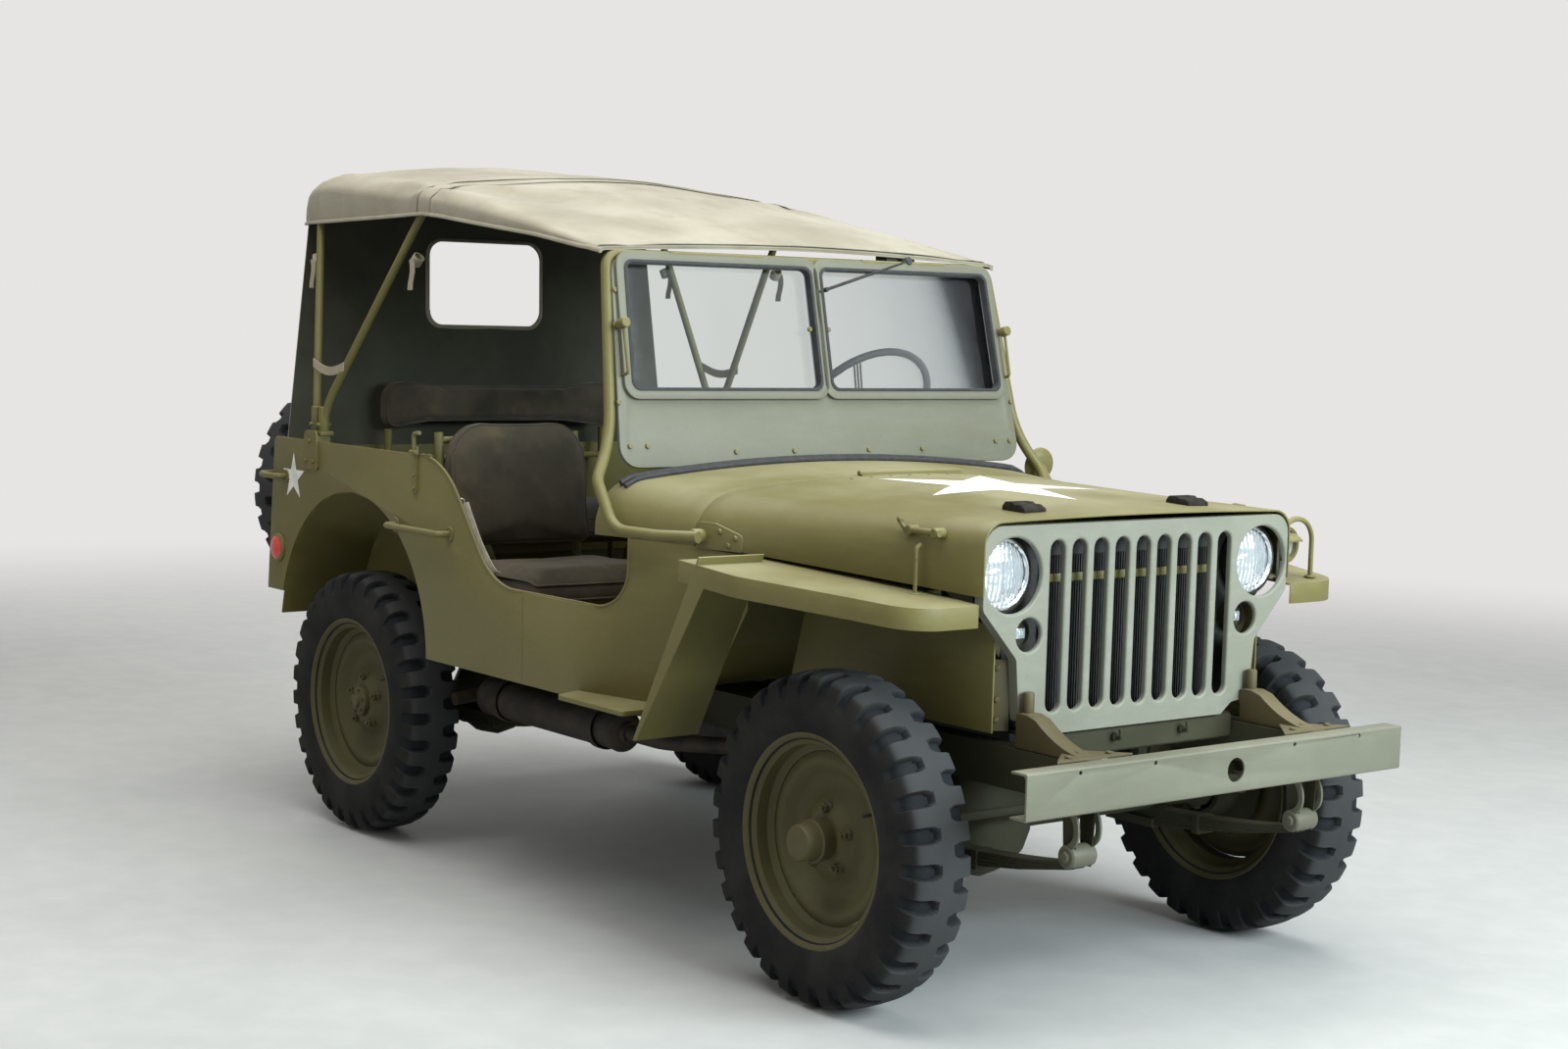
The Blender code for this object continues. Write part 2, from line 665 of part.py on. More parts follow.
def wheel_house(name, side):
    # Sheet over the rear wheel, closed on the inboard side
    foot = math.degrees(math.asin((FLOOR - ARCH_Z) / ARCH_RADIUS))
    bow = arc((ARCH_X, ARCH_Z), ARCH_RADIUS, foot, 180 - foot, 12)
    outer = BODY_HALF - SHEET - GAP
    skin = prism(thick_line(bow[::-1], SHEET), "y", HOUSE_INNER, outer)
    wall = prism(arc((ARCH_X, ARCH_Z), ARCH_RADIUS + SHEET * 0.5, foot, 180 - foot, 12), "y",
                 HOUSE_INNER, HOUSE_INNER + SHEET)
    node(name, fuse([sided(skin, side), sided(wall, side)]), OLIVE)


def rear_x(z):
    # Outer face of the slightly leaning rear panel
    return REAR_X_LOW + (REAR_X_TOP - REAR_X_LOW) * (z - REAR_SILL) / (TUB_TOP - REAR_SILL)


def rear_panel():
    half = BODY_HALF - SHEET - GAP
    top = TUB_TOP - 0.030
    profile = [(rear_x(REAR_SILL), REAR_SILL), (rear_x(top), top), (rear_x(top) + SHEET, top),
               (rear_x(REAR_SILL) + SHEET, REAR_SILL)]
    forms = [prism(profile, "y", -half, half)]
    face = rear_x(SPARE_Z)
    end = SPARE_X - 0.028 + GAP
    forms.append(rod((face + 0.002, SPARE_Y, SPARE_Z), (end + 0.004, SPARE_Y, SPARE_Z), 0.030, 10))
    forms.append(rod((end + 0.008, SPARE_Y, SPARE_Z), (end, SPARE_Y, SPARE_Z), 0.078, 14))
    plate_y = (SPARE_Y - 0.110, SPARE_Y + 0.110)
    forms.append(box((face - 0.030, face + 0.002), plate_y, (SPARE_Z - 0.13, SPARE_Z + 0.07)))
    for y in (-0.56, 0.56):
        forms.append(rod((rear_x(0.72) + 0.002, y, 0.72), (rear_x(0.72) - 0.045, y, 0.72), 0.036, 10))
    node("rear_panel", fuse(forms), OLIVE)


# Cowl and hood share one kind of cross-section: upright sides, rounded shoulders, crowned top
def arch_section(x, half, low, top, shoulder, crown):
    right = []
    right.append((half, low))
    start = (half - shoulder, top - crown - shoulder)
    for angle in (0, 22, 45, 68):
        a = math.radians(angle)
        right.append((start[0] + shoulder * math.cos(a), start[1] + shoulder * math.sin(a)))
    y = half - shoulder
    for share in (1.0, 0.5):
        right.append((y * share, top - crown * share * share))
    left = [(-a, b) for a, b in reversed(right)]
    return [(x, -a, b) for a, b in right] + [(x, 0, top)] + [(x, -a, b) for a, b in left]


def arch_shell(stations, thickness):
    rings = []
    for x, half, low, top, shoulder, crown in stations:
        outer = arch_section(x, half, low, top, shoulder, crown)
        inner = arch_section(x, half - thickness, low, top - thickness, shoulder - thickness * 0.5, crown)
        rings.append(outer + inner[::-1])
    return loft(rings)


def column_rod(radius, start, end):
    hub = Vector((WHEEL_X, WHEEL_Y, WHEEL_Z))
    way = Vector((math.cos(COLUMN_ANGLE), 0, -math.sin(COLUMN_ANGLE)))
    return rod(hub + way * start, hub + way * end, radius, 10)


def hinge_leaf(low, high, way):
    # Flat leaf on the sheet and its share of the round barrel; way is +1 on the hood's side
    axis_z = HOOD_TOP_REAR + HINGE_RADIUS
    near = HOOD_REAR + way * HINGE_GAP
    leaf_x = sorted((near, HOOD_REAR + way * HINGE_LEAF))
    leaf = box(leaf_x, (low, high), (HOOD_TOP_REAR - SHEET, HOOD_TOP_REAR + 0.0025))
    barrel = rod((HOOD_REAR, low, axis_z), (HOOD_REAR, high, axis_z), HINGE_RADIUS - GAP, 10)
    return [leaf, barrel]


def cowl():
    front = HOOD_REAR - HINGE_GAP
    stations = [(COWL_REAR, side_half(COWL_REAR), SIDE_SHOULDER + GAP, COWL_TOP, 0.115, 0.034),
                (0.35, side_half(0.35), SIDE_SHOULDER + GAP, COWL_TOP - 0.008, 0.115, 0.033),
                (front, side_half(front), SIDE_SHOULDER + GAP, HOOD_TOP_REAR, 0.115, 0.032)]
    shell = arch_shell(stations, SHEET)
    inner = side_half(FIREWALL) - 0.002
    wall_outline = [(-inner, 0.935), (inner, 0.935), (inner, 1.0), (0.40, 1.05), (-0.40, 1.05),
                    (-inner, 1.0)]
    upper = prism(wall_outline, "x", FIREWALL, FIREWALL + SHEET)
    lower_half = side_half(FIREWALL) - SHEET - 0.004
    lower = box((FIREWALL, FIREWALL + SHEET), (-lower_half, lower_half), (TOE_HEAD - 0.03, 0.94))
    dash_outline = [(-0.66, 0.960), (0.66, 0.960), (0.66, 1.02), (0.60, 1.062), (0.0, 1.094),
                    (-0.60, 1.062), (-0.66, 1.02)]
    dash = prism(dash_outline, "x", COWL_REAR + 0.004, COWL_REAR + 0.012)
    forms = [shell, upper, lower, dash]
    for side in SIDES.values():
        knuckle = hinge_leaf(HINGE_MID + GAP, HINGE_HALF, -1)
        forms += [sided(form, side) for form in knuckle]
    cuts = [column_rod(COLUMN_RADIUS + 0.004, -0.1, 1.2)]
    node("cowl", fuse(forms, cuts), OLIVE)


def hood():
    stations = [(HOOD_REAR, side_half(HOOD_REAR), HOOD_LOW_REAR, HOOD_TOP_REAR, 0.112, 0.032),
                (0.90, 0.550, 0.912, 1.072, 0.095, 0.024),
                (HOOD_FRONT, HOOD_HALF_FRONT, HOOD_LOW_FRONT, HOOD_TOP_FRONT, 0.050, 0.006)]
    forms = [arch_shell(stations, SHEET)]
    for side in SIDES.values():
        forms.append(sided(box((1.135, 1.205), (0.222, 0.284), (1.040, 1.072)), side))
    forms += hinge_leaf(-HINGE_MID, HINGE_MID, 1)
    place = (HOOD_REAR, 0, HOOD_TOP_REAR + HINGE_RADIUS)
    node("hood", fuse(forms), OLIVE, carrier("hood_hinge", place))


# Grille: a flanged plate with upright slots and round lamp openings
def grille_outline(inset):
    foot = GRILLE_FOOT + inset
    top = GRILLE_TOP - inset
    half = [((0.267, foot), 0), ((0.300, foot + 0.025), 0), ((0.356, 0.623 + inset), 0.01),
            ((0.369, 0.756), 0), ((GRILLE_HALF, 0.862), 0.01), ((GRILLE_HALF, top), 0.046)]
    left = [((y - inset, z), radius) for (y, z), radius in half]
    right = [((-y, z), radius) for (y, z), radius in reversed(left)]
    return filleted(left + right, 4)


def grille():
    back = GRILLE_FACE - GRILLE_DEPTH
    plate = prism(grille_outline(0.0), "x", back, GRILLE_FACE)
    cuts = [prism(grille_outline(SHEET), "x", back - 0.01, GRILLE_FACE - SHEET)]
    for k in range(SLOTS):
        y = (k - (SLOTS - 1) / 2) * SLOT_PITCH
        outline = slot_outline(y, SLOT_WIDTH, SLOT_LOW, SLOT_HIGH)
        cuts.append(prism(outline, "x", GRILLE_FACE - 0.02, GRILLE_FACE + 0.01))
    for side in SIDES.values():
        lamps = [(LAMP_Y, LAMP_Z, LAMP_RADIUS, 20), (MARKER_Y, MARKER_Z, MARKER_RADIUS, 12)]
        for y, z, radius, steps in lamps:
            front = (GRILLE_FACE + 0.01, side * y, z)
            cuts.append(rod((GRILLE_FACE - 0.02, side * y, z), front, radius, steps))
    node("grille", fuse([plate], cuts), OLIVE)


def headlamp(name, side):
    # A bucket with its lens set back behind the grille opening
    rim = LAMP_RADIUS + 0.0015
    bowl = [(0, -0.150), (0.045, -0.148), (rim, -0.085), (rim, 0), (LAMP_RADIUS - 0.001, 0),
            (LAMP_RADIUS - 0.003, -0.048), (0.045, -0.038), (0, -0.034)]
    place = (GRILLE_FACE - SHEET - GAP, side * LAMP_Y, LAMP_Z)
    node(name, turned(bowl, place, (1, 0, 0), 18), LAMP)


# Fenders: top sheet with a turned-down edge, slanting rear leg and inner apron
def fender_top(x):
    return 0.920 - 0.070 * (x - 0.65)


def leg_x(z):
    # Rear face of the slanting leg
    share = (z - LEG_TIP_Z) / (fender_top(LEG_HEAD_X) - LEG_TIP_Z)
    return LEG_TIP_X + (LEG_HEAD_X - LEG_TIP_X) * share


def fender(name, side):
    inner = APRON_Y
    plan = [((FENDER_REAR, inner), 0), ((1.095, inner), 0), ((1.120, 0.478), 0), ((1.290, 0.478), 0),
            ((1.290, 0.655), 0.10), ((1.13, 0.700), 0.06), ((0.86, FENDER_HALF), 0.12),
            ((FENDER_REAR, FENDER_HALF), 0)]
    outline = filleted(plan, 3)
    inset = [((0.640, inner - 0.01), 0), ((1.290 - SHEET, inner - 0.01), 0),
             ((1.290 - SHEET, 0.655 - SHEET), 0.096), ((1.13, 0.700 - SHEET), 0.06),
             ((0.86, FENDER_HALF - SHEET), 0.12), ((0.640, FENDER_HALF - SHEET), 0)]
    top = prism(outline, "z", -0.046, 0)
    pocket = prism(filleted(inset, 3), "z", -0.08, -SHEET)
    cap = fuse([top], [pocket])
    for vert in cap.verts:
        vert.co.z += fender_top(vert.co.x)
    tip = Vector((LEG_TIP_X, LEG_TIP_Z))
    head = Vector((LEG_HEAD_X, fender_top(LEG_HEAD_X)))
    way = (tip - head).normalized()
    leg_line = [tuple(head - way * 0.02), tuple(tip)]
    leg_inner = side_half(0.60) + 0.004
    leg = prism(thick_line(leg_line, SHEET), "y", leg_inner, FENDER_HALF)
    lip = [tuple(head), tuple(tip), tuple(tip + Vector((0.012, 0))), tuple(head + Vector((0.05, -0.02)))]
    lip_wall = prism(lip, "y", FENDER_HALF - SHEET, FENDER_HALF)
    front = GRILLE_FACE - GRILLE_DEPTH - GAP
    apron = [(0.575, 0.600), (front, 0.600), (front, 0.828), (1.090, 0.828),
             (1.085, fender_top(1.085) - 0.002), (0.665, fender_top(0.665) - 0.002)]
    apron_wall = prism(apron, "y", APRON_Y + 0.0005, APRON_Y + 0.0005 + SHEET)
    forms = [sided(form, side) for form in (cap, leg, lip_wall, apron_wall)]
    if side > 0:
        forms += guarded_lamp()
    node(name, fuse(forms), OLIVE)


def guarded_lamp():
    # Small blackout drive lamp with its hoop, on the left fender only
    x = 1.200
    top = fender_top(x) - 0.003
    ahead = x + 0.045
    hoop = filleted([((ahead, 0.490, top), 0), ((ahead, 0.490, 1.018), 0.05),
                     ((ahead, 0.600, 1.018), 0.05), ((ahead, 0.600, top), 0)], 3, False)
    shell = [(0, -0.062), (0.030, -0.052), (0.041, -0.020), (0.041, 0.012), (0, 0.012)]
    return [tube(hoop, 0.007, 6), rod((x, 0.545, top), (x, 0.545, top + 0.06), 0.010, 8),
            turned(shell, (x, 0.545, 0.955), (1, 0, 0), 12)]


# Windscreen: drawn flat in its own plane, then leaned back
def lean(form):
    length = math.hypot(SCREEN_LEAN, 1)
    up = Vector((-SCREEN_LEAN / length, 0, 1 / length))
    out = Vector((1 / length, 0, SCREEN_LEAN / length))
    turn = Matrix(((out.x, 0, up.x, SCREEN_X), (0, 1, 0, 0), (out.z, 0, up.z, SCREEN_Z), (0, 0, 0, 1)))
    bmesh.ops.transform(form, matrix=turn, verts=form.verts)
    return form


def lean_point(out, y, up):
    length = math.hypot(SCREEN_LEAN, 1)
    return (SCREEN_X + (out - SCREEN_LEAN * up) / length, y, SCREEN_Z + (up + SCREEN_LEAN * out) / length)


def pane_outline(gap):
    foot = GLASS_OUTER + 0.012
    return [(GLASS_INNER + gap, GLASS_LOW + gap), (foot - gap, GLASS_LOW + gap),
            (GLASS_OUTER - gap, GLASS_HIGH - gap), (GLASS_INNER + gap, GLASS_HIGH - gap)]


def windscreen():
    top = SCREEN_HEIGHT - 0.014
    length = math.hypot(SCREEN_LEAN, 1)
    section = arch_section(0, side_half(COWL_REAR), SIDE_SHOULDER, COWL_TOP, 0.115, 0.034)
    foot = [(y, (z + 0.0062 - SCREEN_Z) * length) for _, y, z in section if abs(y) < SCREEN_HALF_LOW][::-1]
    outline = [(SCREEN_HALF_TOP - 0.014, top)] + foot + [(-SCREEN_HALF_TOP + 0.014, top)]
    plate = prism(outline, "x", -0.024, 0.0)
    cuts = []
    for side in SIDES.values():
        cuts.append(sided(prism(pane_outline(0), "x", -0.05, 0.02), side))
    forms = [lean(fuse([plate], cuts))]
    path = [((0.545, 0.655, 0.9535), 0), ((0.430, 0.686, 0.948), 0.10), ((0.290, 0.712, 0.950), 0.075),
            ((0.218, 0.712, 1.060), 0.05), (lean_point(-0.012, SCREEN_HALF_LOW - 0.004, 0.07), 0.05),
            (lean_point(-0.012, SCREEN_HALF_TOP - 0.012, SCREEN_HEIGHT - 0.011), 0.03),
            (lean_point(-0.012, 0.0, SCREEN_HEIGHT - 0.011), 0)]
    left = filleted(path, 3, False)
    right = [(x, -y, z) for x, y, z in reversed(left[:-1])]
    forms.append(tube(left + right, 0.014, 6))
    forms.append(rod((0.190, 0.690, 1.065), (0.192, 0.752, 1.065), 0.006, 8))
    forms.append(rod((0.186, 0.730, 1.075), (0.202, 0.730, 1.075), 0.047, 14))
    node("windscreen_frame", fuse(forms), OLIVE)
    for name, side in SIDES.items():
        node("glass_" + name, lean(sided(prism(pane_outline(GAP), "x", -0.015, -0.010), side)), GLASS)


# Steering
def steering():
    column = column_rod(COLUMN_RADIUS, 0.0293, 1.03)
    gearbox = box((0.700, 0.830), (0.325, 0.395), (RAIL_FRONT_TOP + GAP, 0.670))
    node("steering_column", fuse([column, gearbox]), OLIVE)
    way = Vector((-math.cos(COLUMN_ANGLE), 0, math.sin(COLUMN_ANGLE)))
    hub = Vector((WHEEL_X, WHEEL_Y, WHEEL_Z))
    section = [(WHEEL_RING + 0.0105 * math.cos(math.radians(a)), 0.0105 * math.sin(math.radians(a)))
               for a in range(0, 360, 72)]
    forms = [turned(section, hub, way, 20)]
    boss = [(0, -0.029), (0.024, -0.029), (0.030, 0.0), (0.018, 0.012), (0, 0.014)]
    forms.append(turned(boss, hub, way, 10))
    turn = Vector((0, 0, 1)).rotation_difference(way)
    for k in range(3):
        angle = 2 * math.pi * k / 3 + math.pi / 2
        out = turn @ Vector((math.cos(angle), math.sin(angle), 0))
        forms.append(rod(hub + out * 0.012, hub + out * (WHEEL_RING - 0.001), 0.006, 6))
    node("steering_wheel", fuse(forms), IRON, carrier("steering_wheel_axis", hub))


def knuckles():
    pivots = {}
    for name, side in SIDES.items():
        place = (FRONT_AXLE, side * KINGPIN_Y, TYRE_RADIUS)
        pivots[name] = carrier("kingpin_" + name, place)
        reach = HALF_TRACK - DRUM_FACE - GAP - KINGPIN_Y
        inner = BALL_RADIUS + 0.008
        cup = [(0, inner), (inner * 0.5, inner * 0.866), (inner * 0.866, inner * 0.5), (inner, 0.0),
               (0.070, 0.0), (0.074, 0.030), (0.074, reach - 0.008), (DRUM_RADIUS, reach - 0.008),
               (DRUM_RADIUS, reach), (0, reach)]
        forms = [turned(cup, place, (0, side, 0), 14)]
        top = Vector(place) + Vector((0, side * 0.012, 0))
        for way in (-1, 1):
            inside = top + Vector((0, 0, way * 0.060))
            forms.append(rod(inside, top + Vector((0, 0, way * 0.088)), 0.024, 10))
        tip_x = FRONT_AXLE + ARM_LENGTH
        heel_x = FRONT_AXLE + 0.050
        arm_line = [(heel_x, -0.012), (tip_x, -0.014), (tip_x, 0.014), (heel_x, 0.028)]
        arm = [(x, KINGPIN_Y + y) for x, y in arm_line]
        forms.append(sided(prism(arm, "z", ARM_Z - 0.030, ARM_Z - 0.014), side))
        boss = (tip_x, side * KINGPIN_Y)
        forms.append(rod((*boss, ARM_Z - 0.034), (*boss, ARM_Z - ROD_RADIUS - GAP), 0.016, 10))
        node("knuckle_" + name, fuse(forms), OLIVE_DARK, pivots[name])
    return pivots


def tie_rod(parent):
    x = FRONT_AXLE + ARM_LENGTH
    forms = [rod((x, -KINGPIN_Y, ARM_Z), (x, KINGPIN_Y, ARM_Z), 0.011, 8)]
    for side in SIDES.values():
        y = side * KINGPIN_Y
        forms.append(rod((x, y, ARM_Z - ROD_RADIUS), (x, y, ARM_Z + ROD_RADIUS), 0.016, 10))
    node("tie_rod", fuse(forms), OLIVE_DARK, carrier("tie_rod_pin", (x, -KINGPIN_Y, ARM_Z), parent))


# Wheels: pressed steel disc in a drop-centre rim, with the brake drum behind it
RIM_OUTER = [(0.178, 0.004), (0.181, 0.030), (0.204, 0.050), (FLANGE_RADIUS, 0.062),
             (FLANGE_RADIUS + 0.003, 0.058), (0.207, 0.050), (0.185, 0.027)]
RIM_INNER = [(0.185, -0.027), (0.207, -0.050), (FLANGE_RADIUS + 0.003, -0.058), (FLANGE_RADIUS, -0.062),
             (0.178, -0.030)]
DISC_FACE = [(0.088, 0.034), (0.126, 0.052), (0.150, 0.044), (0.168, 0.018)]


def wheel_profile(nose, with_drum):
    if with_drum:
        centre = [(0, nose), (0.018, nose), (0.018, nose - 0.026), (0.030, nose - 0.030), (0.058, 0.046),
                  (0.060, 0.036)]
        back = [(0.166, 0.008), (0.128, 0.046), (0.092, 0.026), (DRUM_RADIUS, 0.020),
                (DRUM_RADIUS, -DRUM_FACE), (0, -DRUM_FACE)]
        return centre + DISC_FACE + RIM_OUTER + RIM_INNER + back
    back = [(0.166, 0.008), (0.128, 0.046), (0.088, 0.028), (0.045, 0.028)]
    return [(0.045, 0.034)] + DISC_FACE + RIM_OUTER + RIM_INNER + back


def wheel(name, place, out, nose, with_drum, parent=CAR):
    node(name, turned(wheel_profile(nose, with_drum), place, out, WHEEL_STEPS), OLIVE, parent)


# Tyres: smooth walls, then alternate lugs and grooves round both shoulders
def tyre(name, place, out, parent=CAR):
    form = bmesh.new()
    half = TYRE_WIDTH / 2

    def ring(radius, along, stations):
        made = []
        for k in range(LUGS):
            for share, drop in stations:
                angle = 2 * math.pi * (k + share + 0.5) / LUGS
                r = radius - drop
                made.append(form.verts.new((r * math.cos(angle), r * math.sin(angle), along)))
        return made

    def join(one, two):
        # Equal rings give quads; a ring three times as fine gives fans
        if len(one) == len(two):
            for k in range(len(one)):
                n = (k + 1) % len(one)
                form.faces.new((one[k], one[n], two[n], two[k]))
            return
        for k in range(LUGS):
            n = (k + 1) % LUGS
            fine = [two[(3 * k + i) % len(two)] for i in range(4)]
            form.faces.new((one[k], fine[1], fine[0]))
            form.faces.new((one[k], fine[2], fine[1]))
            form.faces.new((one[k], one[n], fine[3], fine[2]))

    plain = [(0.0, 0.0)]
    lugged = [(-0.22, 0.0), (0.22, 0.0), (0.50, 0.016)]
    middles = []
    beads = []
    for side in (-1, 1):
        bead = ring(0.2078, side * 0.0488, plain)
        flange = ring(FLANGE_RADIUS + 0.0042, side * 0.0560, plain)
        wall = ring(0.272, side * half, plain)
        shoulder = ring(0.326, side * (half - 0.002), plain)
        edge = ring(TYRE_RADIUS - 0.007, side * (half - 0.014), lugged)
        middle = ring(TYRE_RADIUS, side * 0.026, plain)
        join(bead, flange)
        join(flange, wall)
        join(wall, shoulder)
        join(shoulder, edge)
        join(middle, edge)
        middles.append(middle)
        beads.append(bead)
    join(*middles)
    join(*beads)
    bmesh.ops.recalc_face_normals(form, faces=form.faces)
    turn = Vector((0, 0, 1)).rotation_difference(Vector(out)).to_matrix().to_4x4()
    bmesh.ops.transform(form, matrix=Matrix.Translation(place) @ turn, verts=form.verts)
    node(name, form, RUBBER, parent)


def road_wheels(pivots):
    for name, side in SIDES.items():
        for end, x, nose in (("front", FRONT_AXLE, 0.1075), ("rear", REAR_AXLE, 0.062)):
            place = (x, side * HALF_TRACK, TYRE_RADIUS)
            parent = pivots[name] if end == "front" else CAR
            hub = carrier("hub_" + end + "_" + name, place, parent)
            wheel("wheel_" + end + "_" + name, place, (0, side, 0), nose, True, hub)
            tyre("tyre_" + end + "_" + name, place, (0, side, 0), hub)


def spare():
    place = (SPARE_X, SPARE_Y, SPARE_Z)
    wheel("spare_wheel", place, (-1, 0, 0), 0.05, False)
    tyre("spare_tyre", place, (-1, 0, 0))


# Seats
def front_seat(name, side):
    y0 = SEAT_Y - SEAT_WIDTH / 2
    y1 = SEAT_Y + SEAT_WIDTH / 2
    low = 0.700
    pad = [((SEAT_REAR, low), 0.015), ((SEAT_FRONT, low), 0.02), ((SEAT_FRONT, SEAT_TOP), 0.035),
           ((SEAT_REAR, SEAT_TOP - 0.015), 0.02)]
    node("seat_cushion_" + name, sided(prism(filleted(pad, 2), "y", y0, y1), side), SEAT_CLOTH)
    rest = [((y0, 0.800), 0.02), ((y1, 0.800), 0.02), ((y1, 1.165), 0.10), ((y0, 1.165), 0.10)]
    back = prism(filleted(rest, 4), "x", -SEAT_PAD, 0.0)
    for vert in back.verts:
        vert.co.x += SEAT_REAR + 0.005 - 0.10 * (vert.co.z - 0.80)
    node("seat_back_" + name, sided(back, side), SEAT_CLOTH)
    rail = 0.012
    rail_z = low - rail - GAP
    behind = SEAT_REAR + 0.005 - SEAT_PAD - rail - 2 * GAP
    forms = []
    for y in (y0 + 0.025, y1 - 0.025):
        path = filleted([((SEAT_FRONT - 0.03, y, FLOOR + GAP), 0), ((SEAT_FRONT - 0.03, y, rail_z), 0.03),
                         ((SEAT_REAR - 0.004, y, rail_z), 0.03), ((behind, y, 0.772), 0.04),
                         ((behind - 0.032, y, 1.120), 0)], 2, False)
        forms.append(tube(path, rail, 6))
        forms.append(rod((SEAT_REAR + 0.08, y, FLOOR + GAP), (SEAT_REAR + 0.08, y, rail_z), 0.010, 6))
    for x, z in ((SEAT_FRONT - 0.10, rail_z), (SEAT_REAR + 0.02, rail_z), (behind - 0.030, 1.100)):
        forms.append(rod((x, y0 + 0.025, z), (x, y1 - 0.025, z), 0.009, 6))
    node("seat_frame_" + name, fuse([sided(form, side) for form in forms]), OLIVE)


def rear_seat():
    half = 0.395
    pad = [((-1.360, 0.780), 0.02), ((-0.960, 0.780), 0.02), ((-0.960, 0.875), 0.03),
           ((-1.360, 0.865), 0.02)]
    node("rear_seat_cushion", prism(filleted(pad, 2), "y", -half, half), SEAT_CLOTH)
    rest = [((-half, 1.085), 0.02), ((half, 1.085), 0.02), ((half, 1.235), 0.05), ((-half, 1.235), 0.05)]
    node("rear_seat_back", prism(filleted(rest, 3), "x", -1.425, -1.365), SEAT_CLOTH)
    forms = []
    for y in (-half + 0.02, half - 0.02):
        path = filleted([((-1.00, y, REAR_FLOOR + GAP), 0), ((-1.00, y, 0.7677), 0.03),
                         ((-1.395, y, 0.7677), 0.04), ((-1.395, y, 1.0847), 0)], 3, False)
        forms.append(tube(path, 0.012, 6))
        forms.append(rod((-1.33, y, REAR_FLOOR + GAP), (-1.33, y, 0.765), 0.010, 6))
    forms.append(rod((-1.10, -half + 0.02, 0.7677), (-1.10, half - 0.02, 0.7677), 0.009, 6))
    forms.append(rod((-1.395, -half + 0.02, 1.00), (-1.395, half - 0.02, 1.00), 0.009, 6))
    node("rear_seat_frame", fuse(forms), OLIVE)


# Canvas top and its two hoops
ROOF = [
    # x, half width, hem height, corner height, top height
    (0.088, 0.634, 1.586, 1.604, 1.622),
    (-0.20, 0.634, 1.628, 1.668, 1.700),
    (-0.76, 0.632, 1.686, 1.772, 1.816),
    (-1.35, 0.612, 1.672, 1.820, 1.866),
    (-1.470, 0.604, 1.670, 1.806, 1.846),
    (-1.500, 0.598, 1.668, 1.772, 1.812),
]


def roof_section(x, half, hem, corner, top, inset):
    side = [(half - inset, hem), (half - inset - 0.003, hem + 0.7 * (corner - hem)),
            (half - 0.040, corner + 0.004 - inset), (half * 0.55, (corner + 2 * top) / 3 - inset)]
    return [(x, -y, z) for y, z in side] + [(x, 0, top - inset)] + [(x, y, z) for y, z in reversed(side)]


def canvas():
    thickness = 0.005
    rings = []
    for x, half, hem, corner, top in ROOF:
        outer = roof_section(x, half, hem, corner, top, 0)
        inner = roof_section(x, half, hem, corner, top, thickness)
        rings.append(outer + inner[::-1])
    roof = loft(rings)
    rear, half, hem, corner, top = ROOF[-1]
    head_outline = [(y, z) for _, y, z in roof_section(rear, half, hem, corner, top, thickness * 0.4)]
    head = prism(head_outline, "x", rear + 0.0004, rear + 0.0004 + thickness)
    window = [((-WINDOW_HALF, WINDOW_LOW), 0.05), ((WINDOW_HALF, WINDOW_LOW), 0.05),
              ((WINDOW_HALF, WINDOW_HIGH), 0.05), ((-WINDOW_HALF, WINDOW_HIGH), 0.05)]
    outline = [(-half + 0.012, CURTAIN_LOW), (half - 0.012, CURTAIN_LOW), (half - 0.003, hem + 0.02),
               (-half + 0.003, hem + 0.02)]
    curtain = fuse([prism(outline, "x", -thickness, 0)], [prism(filleted(window, 3), "x", -0.02, 0.03)])
    foot = rear_x(CURTAIN_LOW) - GAP
    slope = (rear + thickness - foot) / (hem - CURTAIN_LOW)
    for vert in curtain.verts:
        vert.co.x += foot + slope * (vert.co.z - CURTAIN_LOW)
    roof = fuse([roof, head])
    node("canvas_top", fuse([roof, curtain]), CANVAS)


def bow(name, foot_x, top_x, corner_z, top_z, half_top):
    y_foot = BODY_HALF - 0.025
    path = [((foot_x, y_foot, 1.0803), 0), ((foot_x, y_foot, 1.105), 0.03),
            ((top_x, half_top, corner_z), 0.06), ((top_x, 0, top_z), 0)]
    left = filleted(path, 4, False)
    right = [(x, -y, z) for x, y, z in reversed(left[:-1])]
    node(name, tube(left + right, BOW_RADIUS, 6), OLIVE)


frame()
front_bumper()
engine()
radiator()
front_axle()
rear_axle()
propshafts()
exhaust()
for name, side in SIDES.items():
    side_panel("side_panel_" + name, side)
    wheel_house("wheel_house_" + name, side)
    fender("fender_" + name, side)
    headlamp("headlamp_" + name, side)
    front_seat(name, side)
floor_pan()
rear_panel()
cowl()
hood()
grille()
windscreen()
steering()
KINGPINS = knuckles()
tie_rod(KINGPINS["right"])
road_wheels(KINGPINS)
spare()
rear_seat()
canvas()
bow("front_bow", BOW_PIVOT_X + 0.022, -0.775, 1.746, 1.797, 0.585)
bow("rear_bow", BOW_PIVOT_X - 0.022, -1.440, 1.772, 1.832, 0.568)
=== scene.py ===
# %% [markdown]
# # A light army car with four driven wheels and a canvas top
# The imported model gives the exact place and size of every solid. This notebook dresses those
# solids: smooth pressed panels, cloth that wrinkles, tyres with cut treads, and paint that looks
# used. It is written as a lesson, one piece or finish at a time.

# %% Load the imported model
import json
import math

import bmesh
import bpy
from mathutils import Matrix, Vector, noise
from mathutils.bvhtree import BVHTree


